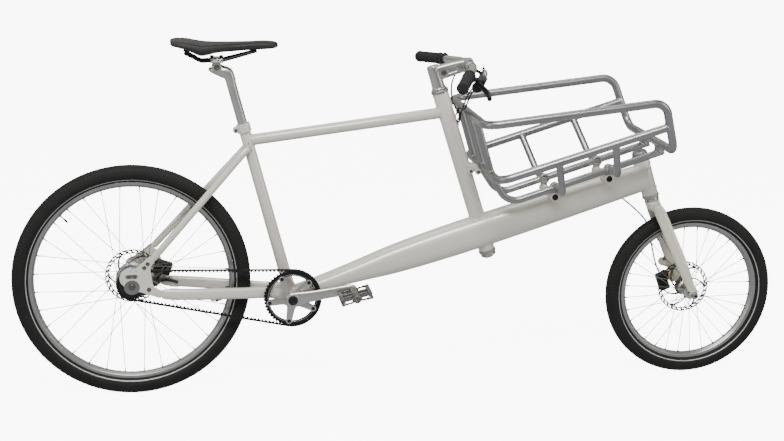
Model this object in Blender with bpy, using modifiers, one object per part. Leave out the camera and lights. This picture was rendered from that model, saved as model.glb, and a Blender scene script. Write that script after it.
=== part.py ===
# Front-loading cargo bike: 26 inch rear wheel, 20 inch front wheel, tubular basket over a
# hydroformed beam, steering by a drag link, toothed belt drive, two disc brakes.
# Metres, +Z up, +X forward, the drive side at -Y. The origin is on the ground, half way
# between the ends of the tyres. Lengths along the bike are measured from the rear axle.
import math

import bmesh
import bpy
from mathutils import Matrix, Vector

for old in list(bpy.data.objects):
    bpy.data.objects.remove(old, do_unlink=True)

# Driving dimensions: clearances between pieces
GAP = 0.0003

# Wheels
WHEELBASE = 1.620
REAR_TYRE_R = 0.329
REAR_TYRE_W = 0.049
REAR_RIM_R = REAR_TYRE_R - 0.0435
FRONT_TYRE_R = 0.2505
FRONT_TYRE_W = 0.047
FRONT_RIM_R = FRONT_TYRE_R - 0.0415
REAR_SIDES = 40
FRONT_SIDES = 36
RIM_WIDTH = 0.025
RIM_DEPTH = 0.0175
RIM_FLOOR_WIDTH = 0.012
SPOKES = 32
SPOKE_R = 0.001
SPOKE_CROSS_DEG = 50.0
SPOKE_STAGGER = 0.0023
REAR_HUB_R = 0.046
REAR_FLANGE_Y = 0.026
FRONT_HUB_R = 0.021
FRONT_FLANGE_Y = 0.027
ROTOR_R = 0.077
ROTOR_THICK = 0.002
LOBE_R = 0.0125
ROTOR_BORE_R = 0.020
HUB_COLLAR_R = 0.0189
ROTOR_ARMS = 6
ROTOR_HOLES = 12
REAR_ROTOR_Y = 0.050
FRONT_ROTOR_Y = 0.039
AXLE_R = 0.005
VALVE_ANGLE_DEG = 135.0
BEARING_CLEAR = 0.0005

# Frame: its heights are drawn over a rear axle that is this high, and rise with the tyre
DRAWN_AXLE_Z = 0.329
BB_X = 0.4425
BB_Z = 0.278
BB_SHELL_R = 0.022
BB_SHELL_HALF = 0.034
CUP_DEPTH = 0.0070
SPINDLE_R = 0.012
SEAT_ANGLE_DEG = 75.0
SEAT_TUBE_TOP = 0.503
SEAT_TUBE_R_LOW = 0.0172
SEAT_TUBE_R_TOP = 0.0158
SEATPOST_R = 0.0136
SEAT_BORE_DEPTH = 0.335
HEAD_ANGLE_DEG = 72.3
STEERING_FOOT_X = 1.0085
STEERING_FOOT_Z = 0.392
STEERING_TUBE_LEN = 0.479
HEAD_FOOT_X = 1.4899
HEAD_FOOT_Z = 0.5435
HEAD_TUBE_LEN = 0.114
HEAD_TUBE_R = 0.023
HEAD_BORE_R = 0.0173
HEADSET_R = 0.0250
HEADSET_HEIGHT = 0.009
TOP_TUBE_R = 0.0158
TOP_TUBE_REAR_Z = 0.7212
TOP_TUBE_REAR_X = 0.33
TOP_TUBE_DROP = 0.0584
SIDES = 16

# Rear end
DROPOUT_INNER_Y = 0.0675
DROPOUT_THICK = 0.006
CARRIER_THICK = 0.005
SEATSTAY_R = 0.0100
SEATSTAY_TOP_Z = 0.700
SEATSTAY_TOP_Y = 0.0205

# Belt drive
RING_TEETH = 48
SPROCKET_TEETH = 24
BELT_PITCH_NOMINAL = 0.0105
BELT_TOOTH = 0.0026
BELT_BACK = 0.0019
BELT_WIDTH = 0.012
BELT_Y = -0.048
TOOTH_BASE = 0.0050
TOOTH_TIP = 0.0034
BOLT_CIRCLE_R = 0.065

# Cranks and pedals
CRANK_LEN = 0.170
CRANK_ANGLE_DEG = 9.0
CRANK_OUTER_Y = 0.085
CRANK_THICK = 0.013
CRANK_BOSS_R = 0.0205
CRANK_END_R = 0.0130
PEDAL_AXLE_R = 0.006
PEDAL_LEN = 0.098
PEDAL_WIDTH = 0.088
PEDAL_THICK = 0.020
PEDAL_TILT_DEG = 14.0

# Fork
FORK_RAKE = 0.035
CROWN_DROP = 0.030
BLADE_Y = 0.0555
BLADE_TOP_Y = 0.036
BLADE_HALF = 0.0172
BLADE_TIP_HALF = 0.0125
BLADE_THICK = 0.0095
STEERER_R = 0.0143

# Handlebar
STEM_REACH = 0.0957
STEM_RISE = STEERING_TUBE_LEN + 0.051
STEM_TOP = STEERING_TUBE_LEN + 0.079
STEM_HALF = 0.0155
CLAMP_R = 0.0180
BAR_R = 0.0111
BAR_CLAMP_R = 0.0127
BAR_STRAIGHT = 0.085
BAR_HALF = 0.325
BAR_BACK = 0.078
BAR_DROP = 0.0180
GRIP_LEN = 0.132
GRIP_R = 0.0165
LEVER_FROM_END = 0.150
POD_REACH = (0.024, 0.030)
POD_DROP = (0.016, 0.020)

# Steering linkage on the left side
ARM_LEN = 0.066
ARM_THICK = 0.008
LINK_RISE = 0.016
LINK_R = 0.0055
LINK_PIN_R = 0.004

# Basket
RAIL_R = 0.0095
FLOOR_RAIL_R = 0.0080
HOOK_R = 0.0080
BAR_POST_R = 0.0090
BASKET_REAR_X = 0.943
BASKET_REAR_Z = 0.793
BASKET_FRONT_X = 1.437
BASKET_FRONT_Z = 0.852
BASKET_NOSE_X = 1.482
BASKET_NOSE_Z = 0.709
BASKET_HALF = 0.245
NOSE_HALF = 0.205
LOWER_REAR_X = 0.990
LOWER_REAR_Z = 0.635
LOWER_REAR_HALF = 0.216
FLOOR_HALF = 0.066
FLOOR_REAR_X = 1.052
FLOOR_REAR_Z = 0.5405
FLOOR_SLOPE = 0.3185
FLOOR_NOSE = 0.018
HOOK_STATIONS = (1.154, 1.310)
HOOK_RUN = 0.034
HOOK_HALF = 0.143
POST_SPACING = 0.117
BOSS_STATIONS = (1.187, 1.343)
BOSS_R = 0.0125
BEND_R = 0.042

# Hoses and cables
HOSE_R = 0.0025

# Saddle
SADDLE_REAR_X = 0.118
SADDLE_NOSE_X = 0.410
SADDLE_TOP_Z = 1.000
SADDLE_HALF = 0.076
TILT_X = 0.2425
TILT_Z = 0.9255
CRADLE_R = 0.0135
RAIL_WIRE_R = 0.0035
SADDLE_RAIL_Y = 0.022
SADDLE_RAIL_Z = 0.9455

# Worked out from the driving dimensions
CENTRE_X = (WHEELBASE + FRONT_TYRE_R - REAR_TYRE_R) / 2
SEAT_DIR = Vector((-math.cos(math.radians(SEAT_ANGLE_DEG)), 0, math.sin(math.radians(SEAT_ANGLE_DEG))))
HEAD_DIR = Vector((-math.cos(math.radians(HEAD_ANGLE_DEG)), 0, math.sin(math.radians(HEAD_ANGLE_DEG))))
HEAD_FWD = Vector((HEAD_DIR.z, 0, -HEAD_DIR.x))
Y = Vector((0, 1, 0))


def at(x, y, z):
    """A point of the frame: its length is measured from the rear axle, its height as drawn."""
    return Vector((x - CENTRE_X, y, z + REAR_TYRE_R - DRAWN_AXLE_Z))


REAR_AXLE = Vector((-CENTRE_X, 0, REAR_TYRE_R))
FRONT_AXLE = Vector((WHEELBASE - CENTRE_X, 0, FRONT_TYRE_R))
BB = at(BB_X, 0, BB_Z)
STEERING_FOOT = at(STEERING_FOOT_X, 0, STEERING_FOOT_Z)
HEAD_FOOT = at(HEAD_FOOT_X, 0, HEAD_FOOT_Z)
TILT_AXIS = at(TILT_X, 0, TILT_Z)

parts = bpy.data.collections.new("cargo_bike")
bpy.context.scene.collection.children.link(parts)


def material(name, colour, roughness, metallic=0.0):
    """The named material, made the first time it is asked for."""
    made = bpy.data.materials.get(name) or bpy.data.materials.new(name)
    made.use_nodes = True
    shader = made.node_tree.nodes["Principled BSDF"]
    shader.inputs["Base Color"].default_value = (*colour, 1)
    shader.inputs["Roughness"].default_value = roughness
    shader.inputs["Metallic"].default_value = metallic
    return made


def pearl():
    return material("pearl_paint", (0.78, 0.76, 0.70), 0.32)


def fork_paint():
    return material("cream_paint", (0.80, 0.78, 0.66), 0.32)


def silver():
    return material("satin_aluminium", (0.60, 0.61, 0.62), 0.35, 1.0)


def steel():
    return material("bright_steel", (0.66, 0.66, 0.65), 0.25, 1.0)


def grey():
    return material("cast_grey", (0.32, 0.33, 0.34), 0.45, 0.7)


def black():
    return material("black_plastic", (0.025, 0.025, 0.027), 0.45)


def rubber():
    return material("tyre_rubber", (0.03, 0.03, 0.032), 0.75)


def leather():
    return material("saddle_cover", (0.045, 0.038, 0.033), 0.5)


def solid(mesh, name="tool"):
    """A new object of this mesh with its faces turned outwards."""
    bm = bmesh.new()
    bm.from_mesh(mesh)
    bmesh.ops.remove_doubles(bm, verts=bm.verts, dist=0.00001)
    bmesh.ops.recalc_face_normals(bm, faces=bm.faces)
    bm.to_mesh(mesh)
    bm.free()
    made = bpy.data.objects.new(name, mesh)
    parts.objects.link(made)
    return made


def evaluated(thing):
    """The object's mesh after its modifiers, in world space; the object is removed."""
    bpy.context.view_layer.update()
    graph = bpy.context.evaluated_depsgraph_get()
    mesh = bpy.data.meshes.new_from_object(thing.evaluated_get(graph))
    mesh.transform(thing.matrix_world)
    bpy.data.objects.remove(thing, do_unlink=True)
    return mesh


def boolean(first, other, operation):
    step = first.modifiers.new(operation.lower(), "BOOLEAN")
    step.operation = operation
    step.solver = "EXACT"
    step.object = other
    made = solid(evaluated(first))
    bpy.data.objects.remove(other, do_unlink=True)
    return made


def join(first, *others):
    for other in others:
        first = boolean(first, other, "UNION")
    return first


def cut(first, *others):
    for other in others:
        first = boolean(first, other, "DIFFERENCE")
    return first


def loose(*things):
    """Several separate solids as one operand."""
    bm = bmesh.new()
    for thing in things:
        bm.from_mesh(thing.data)
        bpy.data.objects.remove(thing, do_unlink=True)
    mesh = bpy.data.meshes.new("loose")
    bm.to_mesh(mesh)
    bm.free()
    made = bpy.data.objects.new("tool", mesh)
    parts.objects.link(made)
    return made


def finish(thing, name, finish_material, origin=None):
    """Names the piece, gives it its material and sets its origin on its own axis."""
    thing.name = name
    thing.data.name = name
    thing.data.materials.clear()
    thing.data.materials.append(finish_material)
    place = origin or Vector((0, 0, 0))
    thing.data.transform(Matrix.Translation(-place))
    thing.location = place
    thing.data.shade_smooth()
    thing.data.set_sharp_from_angle(angle=math.radians(38))
    return thing


def basis(axis):
    """Two unit vectors square to the axis; the second is the nearest to world Z."""
    axis = axis.normalized()
    side = axis.cross(Vector((0, 0, 1)))
    if side.length < 0.001:
        side = Vector((1, 0, 0)).cross(axis).cross(axis)
    side.normalize()
    return side, side.cross(axis).normalized()


def rod(start, end, radius, end_radius=None, sides=SIDES):
    """A cylinder or cone between two points."""
    run = end - start
    bm = bmesh.new()
    bmesh.ops.create_cone(bm, cap_ends=True, segments=sides, radius1=radius,
                          radius2=radius if end_radius is None else end_radius, depth=run.length)
    turn = run.to_track_quat("Z", "Y").to_matrix().to_4x4()
    bm.transform(Matrix.Translation((start + end) / 2) @ turn)
    mesh = bpy.data.meshes.new("rod")
    bm.to_mesh(mesh)
    bm.free()
    return solid(mesh)


def cross_rod(centre, y_from, y_to, radius, sides=SIDES):
    """A cylinder across the bike, between two distances from its middle plane."""
    return rod(Vector((centre.x, y_from, centre.z)), Vector((centre.x, y_to, centre.z)), radius, sides=sides)


def block(centre, size, turn=None):
    bm = bmesh.new()
    bmesh.ops.create_cube(bm, size=1.0)
    bmesh.ops.scale(bm, vec=Vector(size), verts=bm.verts)
    if turn:
        bm.transform(turn.to_matrix().to_4x4() if hasattr(turn, "to_matrix") else turn.to_4x4())
    bmesh.ops.translate(bm, vec=centre, verts=bm.verts)
    mesh = bpy.data.meshes.new("block")
    bm.to_mesh(mesh)
    bm.free()
    return solid(mesh)


def turned(profile, foot, axis, sides):
    """A ring or body of revolution; the profile is (radius, height) round a closed loop."""
    mesh = bpy.data.meshes.new("turned")
    points = [(radius, 0, height) for radius, height in profile]
    on_axis = profile[0][0] == 0 and profile[-1][0] == 0
    edges = [(i, (i + 1) % len(points)) for i in range(len(points) - on_axis)]
    mesh.from_pydata(points, edges, [])
    thing = bpy.data.objects.new("turned", mesh)
    parts.objects.link(thing)
    screw = thing.modifiers.new("screw", "SCREW")
    screw.steps = sides
    screw.render_steps = sides
    screw.use_merge_vertices = True
    screw.merge_threshold = 0.00001
    thing.matrix_world = Matrix.Translation(foot) @ axis.to_track_quat("Z", "Y").to_matrix().to_4x4()
    return solid(evaluated(thing))


def fillet(corners, radius, steps=4, cyclic=False):
    """The corners of a bent tube with each bend drawn as an arc."""
    count = len(corners)
    path = []
    for i, corner in enumerate(corners):
        if not cyclic and i in (0, count - 1):
            path.append(corner)
            continue
        before = (corners[i - 1] - corner)
        after = (corners[(i + 1) % count] - corner)
        half = before.angle(after) / 2
        if half > math.radians(88):
            path.append(corner)
            continue
        back = min(radius / math.tan(half), before.length * 0.49, after.length * 0.49)
        bend = back * math.tan(half)
        before.normalize()
        after.normalize()
        middle = corner + (before + after).normalized() * bend / math.sin(half)
        start = corner + before * back - middle
        end = corner + after * back - middle
        sweep = start.angle(end)
        for k in range(steps + 1):
            share = k / steps
            path.append(middle + (start * math.sin((1 - share) * sweep) + end * math.sin(share * sweep))
                        / math.sin(sweep))
    return path


def tube(path, radius, resolution=2, cyclic=False):
    """A round tube along the path, its ends capped."""
    curve = bpy.data.curves.new("tube", "CURVE")
    curve.dimensions = "3D"
    curve.bevel_depth = radius
    curve.bevel_resolution = resolution
    curve.use_fill_caps = True
    line = curve.splines.new("POLY")
    line.points.add(len(path) - 1)
    for slot, place in zip(line.points, path):
        slot.co = (*place, 1)
    line.use_cyclic_u = cyclic
    thing = bpy.data.objects.new("tube", curve)
    parts.objects.link(thing)
    return solid(evaluated(thing))


def plate(loops, thickness, place):
    """A flat outline with its holes, drawn in the plane's own x and y and made thick."""
    curve = bpy.data.curves.new("plate", "CURVE")
    curve.dimensions = "2D"
    curve.fill_mode = "BOTH"
    curve.extrude = thickness / 2
    for loop in loops:
        line = curve.splines.new("POLY")
        line.points.add(len(loop) - 1)
        for slot, (x, y) in zip(line.points, loop):
            slot.co = (x, y, 0, 1)
        line.use_cyclic_u = True
    thing = bpy.data.objects.new("plate", curve)
    parts.objects.link(thing)
    thing.matrix_world = place
    return solid(evaluated(thing))


def side_plane(centre, y, turn=0.0):
    """Drawing plane seen from the drive side: x forward, y up."""
    place = Matrix.Rotation(math.radians(90), 4, "X")
    return Matrix.Translation(Vector((centre.x, y, centre.z))) @ Matrix.Rotation(-turn, 4, "Y") @ place


def circle(radius, sides, x=0.0, y=0.0, phase=0.0):
    return [(x + radius * math.cos(phase + 2 * math.pi * k / sides),
             y + radius * math.sin(phase + 2 * math.pi * k / sides)) for k in range(sides)]


def hull(*rounds, steps=6):
    """The outline of a belt drawn round circles, each (x, y, radius), in anticlockwise order."""
    outline = []
    count = len(rounds)
    for i, (x, y, radius) in enumerate(rounds):
        last = rounds[i - 1]
        following = rounds[(i + 1) % count]
        angles = []
        for (x0, y0, r0), (x1, y1, r1) in ((last, (x, y, radius)), ((x, y, radius), following)):
            gap = math.hypot(x1 - x0, y1 - y0)
            lean = math.asin(max(-1, min(1, (r0 - r1) / gap)))
            angles.append(math.atan2(y1 - y0, x1 - x0) - math.pi / 2 + lean)
        start, end = angles
        while end < start:
            end += 2 * math.pi
        for k in range(steps + 1):
            angle = start + (end - start) * k / steps
            outline.append((x + radius * math.cos(angle), y + radius * math.sin(angle)))
    return outline


def loft(stations, sides=16, square=2.0):
    """Skins superellipse sections; each station is centre, half-width vector, half-height vector."""
    bm = bmesh.new()
    rings = []
    for centre, across, upward in stations:
        ring = []
        for k in range(sides):
            angle = 2 * math.pi * (k + 0.5) / sides
            c, s = math.cos(angle), math.sin(angle)
            ring.append(bm.verts.new(centre + across * math.copysign(abs(c) ** (2 / square), c)
                                     + upward * math.copysign(abs(s) ** (2 / square), s)))
        rings.append(ring)
    for lower, upper in zip(rings, rings[1:]):
        for k in range(sides):
            following = (k + 1) % sides
            bm.faces.new((lower[k], lower[following], upper[following], upper[k]))
    bm.faces.new(list(reversed(rings[0])))
    bm.faces.new(rings[-1])
    mesh = bpy.data.meshes.new("loft")
    bm.to_mesh(mesh)
    bm.free()
    return solid(mesh)


def on_seat_tube(distance):
    return BB + SEAT_DIR * distance


def on_steering(distance, forward=0.0, y=0.0):
    return STEERING_FOOT + HEAD_DIR * distance + HEAD_FWD * forward + Y * y


def on_head(distance, forward=0.0, y=0.0):
    return HEAD_FOOT + HEAD_DIR * distance + HEAD_FWD * forward + Y * y


def steering_tube_shape(extra=0.0):
    return rod(on_steering(-extra), on_steering(STEERING_TUBE_LEN + extra), HEAD_TUBE_R + extra, sides=20)


def head_tube_shape(extra=0.0):
    return rod(on_head(-extra), on_head(HEAD_TUBE_LEN + extra), HEAD_TUBE_R + extra, sides=20)


def seat_tube_shape(extra=0.0):
    return rod(BB, on_seat_tube(SEAT_TUBE_TOP), SEAT_TUBE_R_LOW + extra, SEAT_TUBE_R_TOP + extra, sides=SIDES)


def bb_shape(extra=0.0, half=BB_SHELL_HALF):
    return cross_rod(BB, -half, half, BB_SHELL_R + extra, sides=24)


def make_seat_tube():
    bore = rod(on_seat_tube(SEAT_TUBE_TOP - SEAT_BORE_DEPTH), on_seat_tube(SEAT_TUBE_TOP + 0.01),
               SEATPOST_R + GAP)
    made = cut(seat_tube_shape(), bb_shape(GAP, 0.06), bore)
    return finish(made, "seat_tube", pearl())


def make_bottom_bracket():
    cups = cross_rod(BB, -BB_SHELL_HALF - CUP_DEPTH, BB_SHELL_HALF + CUP_DEPTH, BB_SHELL_R - 0.0015, sides=24)
    shell = cut(join(bb_shape(), cups), cross_rod(BB, -0.06, 0.06, SPINDLE_R + BEARING_CLEAR, sides=20))
    finish(shell, "bottom_bracket_shell", pearl())


def make_top_tube():
    rear = at(TOP_TUBE_REAR_X, 0, TOP_TUBE_REAR_Z)
    front = on_steering(STEERING_TUBE_LEN - TOP_TUBE_DROP)
    over = (front - rear).normalized() * 0.005
    body = rod(rear - over, front + over, TOP_TUBE_R)
    finish(cut(body, seat_tube_shape(GAP), steering_tube_shape(GAP)), "top_tube", pearl())


def make_steering_tube():
    bore = rod(on_steering(-0.01), on_steering(STEERING_TUBE_LEN + 0.01), HEAD_BORE_R, sides=20)
    lug_z = 0.2580
    lug = loft([(on_steering(lug_z - 0.014, 0.012 + share * 0.030), Y * (0.014 - 0.004 * share),
                 HEAD_DIR * (0.011 - 0.002 * share)) for share in (0, 1)], sides=12, square=3.0)
    body = join(steering_tube_shape(), lug)
    finish(cut(body, bore), "steering_tube", pearl())


def make_head_tube():
    bore = rod(on_head(-0.01), on_head(HEAD_TUBE_LEN + 0.01), HEAD_BORE_R, sides=20)
    finish(cut(head_tube_shape(), bore), "head_tube", pearl())


def make_headsets():
    for name, foot, length in (("rear", STEERING_FOOT, STEERING_TUBE_LEN),
                               ("front", HEAD_FOOT, HEAD_TUBE_LEN)):
        for level, start, sign in (("lower", foot - HEAD_DIR * GAP, -1),
                                   ("upper", foot + HEAD_DIR * (length + GAP), 1)):
            profile = [(STEERER_R + BEARING_CLEAR, 0), (HEADSET_R, 0), (HEADSET_R, HEADSET_HEIGHT - 0.002),
                       (HEADSET_R - 0.003, HEADSET_HEIGHT), (STEERER_R + BEARING_CLEAR, HEADSET_HEIGHT)]
            ring = turned(profile, start, HEAD_DIR * sign, 18)
            finish(ring, "headset_%s_%s" % (name, level), silver())


# The beam's stations: length along the bike, half-height and half-width
BEAM_STATIONS = ((0.452, 0.0190, 0.0300), (0.500, 0.0195, 0.0310), (0.560, 0.0235, 0.0330),
                 (0.640, 0.0310, 0.0350), (0.740, 0.0410, 0.0370), (0.860, 0.0460, 0.0385),
                 (1.000, 0.0475, 0.0390), (1.180, 0.0455, 0.0380), (1.340, 0.0425, 0.0340),
                 (1.475, 0.0395, 0.0265))
BEAM_RISE = 0.3085


def beam_centre(x):
    return at(x, 0, BB_Z + 0.001 + BEAM_RISE * (x - BB_X))


def make_beam():
    along = Vector((1, 0, BEAM_RISE)).normalized()
    upward = Vector((-along.z, 0, along.x))
    body = loft([(beam_centre(x), Y * wide, upward * high) for x, high, wide in BEAM_STATIONS],
                sides=16, square=2.35)
    for station in BOSS_STATIONS:
        centre = boss_centre(station)
        body = join(body, cross_rod(centre, -FLOOR_HALF - 0.004, FLOOR_HALF + 0.004, BOSS_R, sides=12))
    body = cut(body, bb_shape(GAP, 0.06), seat_tube_shape(GAP), steering_tube_shape(GAP),
               head_tube_shape(GAP))
    finish(body, "main_beam", pearl())


def boss_centre(x):
    return at(x, 0, floor_z(x) - 0.0275)


def floor_z(x):
    return FLOOR_REAR_Z + FLOOR_SLOPE * (x - FLOOR_REAR_X)


def chainstay_z(x):
    return 0.3046 - 0.0555 * (x - 0.117)


def make_chainstays():
    run = ((0.080, 0.0705, 0.0050, 0.0115), (0.100, 0.0700, 0.0085, 0.0150), (0.170, 0.0640, 0.0100, 0.0160),
           (0.300, 0.0420, 0.0095, 0.0160), (0.360, 0.0315, 0.0090, 0.0160), (0.436, 0.0290, 0.0090, 0.0160))
    for name, sign in (("right", -1), ("left", 1)):
        body = loft([(at(x, sign * y, chainstay_z(x)), Y * wide, Vector((0, 0, high)))
                     for x, y, wide, high in run],
                    sides=12, square=2.6)
        finish(cut(body, bb_shape(GAP, 0.06)), "chainstay_" + name, pearl())


def seatstay_foot(sign):
    return at(0.060, sign * (DROPOUT_INNER_Y + DROPOUT_THICK / 2), DRAWN_AXLE_Z + 0.080)


def make_seatstays():
    for name, sign in (("right", -1), ("left", 1)):
        foot = seatstay_foot(sign)
        top = at(0.322, sign * SEATSTAY_TOP_Y, SEATSTAY_TOP_Z)
        run = (top - foot)
        side, upward = basis(run)
        middle = foot + run * 0.12
        body = loft([(foot, side * 0.0035, upward * 0.0095),
                     (middle, side * SEATSTAY_R * 0.85, upward * SEATSTAY_R),
                     (top, side * SEATSTAY_R, upward * SEATSTAY_R)], sides=12)
        finish(cut(body, seat_tube_shape(GAP)), "seatstay_" + name, pearl())


def make_seat_clamp():
    top = SEAT_TUBE_TOP + 0.004
    foot = on_seat_tube(top - 0.024)
    profile = [(SEAT_TUBE_R_TOP + GAP * 2, 0), (SEAT_TUBE_R_TOP + 0.0040, 0),
               (SEAT_TUBE_R_TOP + 0.0035, 0.024), (SEATPOST_R + GAP * 2, 0.024),
               (SEATPOST_R + GAP * 2, 0.0205), (SEAT_TUBE_R_TOP + GAP * 2, 0.0205)]
    ring = turned(profile, foot, SEAT_DIR, 20)
    back = SEAT_DIR.cross(Y).normalized()
    ear_at = foot + SEAT_DIR * 0.012 + back * (SEAT_TUBE_R_TOP + 0.0085)
    ear = rod(ear_at - Y * 0.011, ear_at + Y * 0.011, 0.0085, sides=14)
    bolt = rod(ear_at - Y * 0.0135, ear_at + Y * 0.0135, 0.0042, sides=10)
    bore = rod(foot - SEAT_DIR * 0.01, foot + SEAT_DIR * 0.0205, SEAT_TUBE_R_TOP + GAP * 2, sides=20)
    finish(join(cut(join(ring, ear), bore), bolt), "seat_clamp", pearl())


def dropout_plate(rounds, branches, y):
    """A lobe with arms, each arm drawn as a hull and kept a hair thinner than the last."""
    made = plate([hull(*rounds)], DROPOUT_THICK, side_plane(REAR_AXLE, y))
    for k, branch in enumerate(branches):
        made = join(made, plate([hull(*branch)], DROPOUT_THICK - 0.0001 * (k + 1), side_plane(REAR_AXLE, y)))
    return made


def make_dropouts():
    middle = DROPOUT_INNER_Y + DROPOUT_THICK / 2
    lobe = (-0.006, 0.026, 0.0290)
    stay = (0.053, 0.076, 0.0105)
    low = (0.074, -0.021, 0.0115)
    right = dropout_plate((lobe, (0.004, 0.012, 0.026)),
                          (((0.010, 0.030, 0.020), stay), ((0.010, 0.006, 0.016), low)),
                          -middle)
    slot = plate([hull((-0.012, 0.031, 0.0045), (0.010, 0.031, 0.0045))], 0.02,
                 side_plane(REAR_AXLE, -middle))
    right = cut(right, slot, seatstay_end_cutter(-1), chainstay_end_cutter(-1),
                cross_rod(REAR_AXLE, -0.08, -0.06, 0.0108, 12))
    bolts = [cross_rod(REAR_AXLE + Vector((x, 0, z)), -middle, -DROPOUT_INNER_Y - DROPOUT_THICK - 0.0025,
                       0.0046, 10)
             for x, z in ((0.0345, 0.0545), (0.0440, 0.0655), (0.046, -0.0075))]
    finish(join(right, *bolts), "dropout_right", pearl())
    left = dropout_plate(((-0.004, 0.004, 0.023), (0.002, 0.028, 0.022)),
                         (((0.004, 0.028, 0.018), stay), ((0.004, 0.0, 0.018), low),
                          ((0.066, 0.060, 0.010), (0.086, -0.012, 0.010))), middle)
    left = cut(left, seatstay_end_cutter(1), chainstay_end_cutter(1),
               cross_rod(REAR_AXLE, 0.06, 0.08, AXLE_R + GAP, 12))
    finish(left, "dropout_left", pearl())


def seatstay_end_cutter(sign):
    """Trims the plate square to the stay, a gap before its foot."""
    foot = seatstay_foot(sign)
    run = (at(0.322, sign * SEATSTAY_TOP_Y, SEATSTAY_TOP_Z) - foot).normalized()
    return rod(foot - run * GAP, foot + run * 0.03, 0.02, sides=8)


def chainstay_end_cutter(sign):
    start = at(0.080 - GAP, sign * 0.0705, chainstay_z(0.080))
    return rod(start, start + Vector((0.03, 0, 0)), 0.02, sides=8)


def make_rear_axle():
    """The axle with its nuts and the grey plate inside the right dropout that carries it."""
    outer = DROPOUT_INNER_Y + DROPOUT_THICK
    middle = DROPOUT_INNER_Y - GAP - CARRIER_THICK / 2
    carrier = plate([hull((0, 0, 0.0215), (0.030, 0.0, 0.010), (0.009, 0.031, 0.010),
                          (-0.009, 0.031, 0.010))],
                    CARRIER_THICK, side_plane(REAR_AXLE, -middle))
    bolts = [cross_rod(REAR_AXLE + Vector((x, 0, 0.031)), -outer - 0.0005, -middle, 0.0036, 8)
             for x in (-0.0075, 0.0075)]
    body = cross_rod(REAR_AXLE, -outer - 0.006, outer + 0.009, AXLE_R, 12)
    right_nut = cross_rod(REAR_AXLE, -outer - 0.003, -middle, 0.0085, 6)
    left_nut = cross_rod(REAR_AXLE, outer + GAP, outer + 0.0075, 0.0085, 6)
    finish(join(carrier, body, right_nut, left_nut, *bolts), "rear_axle", grey())


def tyre(axle, outer, width, rim_r, sides):
    """A solid ring of round section that stands on the rim."""
    half = width / 2
    centre = outer - half
    inner = rim_r + GAP
    start = math.acos((inner - centre) / half)
    profile = []
    steps = 5
    for k in range(steps + 1):
        angle = start - 2 * start * k / steps
        profile.append((centre + half * math.cos(angle), half * math.sin(angle)))
    return turned(profile, axle, Y, sides)


def rim(axle, rim_r, sides):
    half, floor = RIM_WIDTH / 2, RIM_FLOOR_WIDTH / 2
    profile = [(rim_r, -half), (rim_r, half), (rim_r - RIM_DEPTH, floor), (rim_r - RIM_DEPTH, -floor)]
    return turned(profile, axle, Y, sides)


def spokes(axle, flange_r, flange_y, rim_r, sides):
    """Crossed wire spokes from both flanges, as separate solids."""
    end_r = (rim_r - RIM_DEPTH) * math.cos(math.pi / sides) - GAP * 1.7
    cross = math.radians(SPOKE_CROSS_DEG)
    made = []
    for k in range(SPOKES):
        side = -1 if k % 2 else 1
        lean = 1 if (k // 2) % 2 else -1
        at_rim = 2 * math.pi * (k + 0.5) / SPOKES
        at_hub = at_rim - lean * cross
        hub_y = side * (flange_y + lean * SPOKE_STAGGER)
        start = axle + Vector((math.cos(at_hub) * flange_r, hub_y, math.sin(at_hub) * flange_r))
        end = axle + Vector((math.cos(at_rim) * end_r, side * 0.002, math.sin(at_rim) * end_r))
        made.append(rod(start, end, SPOKE_R, sides=3))
    return loose(*made)


def make_rear_wheel():
    finish(tyre(REAR_AXLE, REAR_TYRE_R, REAR_TYRE_W, REAR_RIM_R, REAR_SIDES), "rear_tyre", rubber(),
           REAR_AXLE)
    valve_angle = math.radians(VALVE_ANGLE_DEG)
    outward = Vector((math.cos(valve_angle), 0, math.sin(valve_angle)))
    valve = rod(REAR_AXLE + outward * (REAR_RIM_R - RIM_DEPTH - 0.026),
                REAR_AXLE + outward * (REAR_RIM_R - 0.006),
                0.0030, sides=8)
    finish(join(rim(REAR_AXLE, REAR_RIM_R, REAR_SIDES), valve), "rear_rim", silver(), REAR_AXLE)
    bore = AXLE_R + BEARING_CLEAR
    flange = REAR_FLANGE_Y
    driver_end = BELT_Y - BELT_WIDTH / 2 - 0.001
    profile = [(bore, driver_end), (0.0175, driver_end), (0.0175, -flange - 0.009),
               (REAR_HUB_R, -flange - 0.004), (REAR_HUB_R, -flange + 0.004),
               (REAR_HUB_R - 0.006, -flange + 0.007),
               (REAR_HUB_R - 0.006, flange - 0.007), (REAR_HUB_R, flange - 0.004),
               (REAR_HUB_R, flange + 0.004),
               (HUB_COLLAR_R, REAR_ROTOR_Y - 0.009), (HUB_COLLAR_R, REAR_ROTOR_Y + 0.004),
               (bore, REAR_ROTOR_Y + 0.004)]
    hub = turned(profile, REAR_AXLE, Y, 18)
    hub = join(hub, spokes(REAR_AXLE, REAR_HUB_R - 0.003, REAR_FLANGE_Y, REAR_RIM_R, REAR_SIDES))
    finish(hub, "rear_hub", grey(), REAR_AXLE)
    finish(rotor(REAR_AXLE, REAR_ROTOR_Y), "rear_rotor", steel(), REAR_AXLE)


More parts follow.
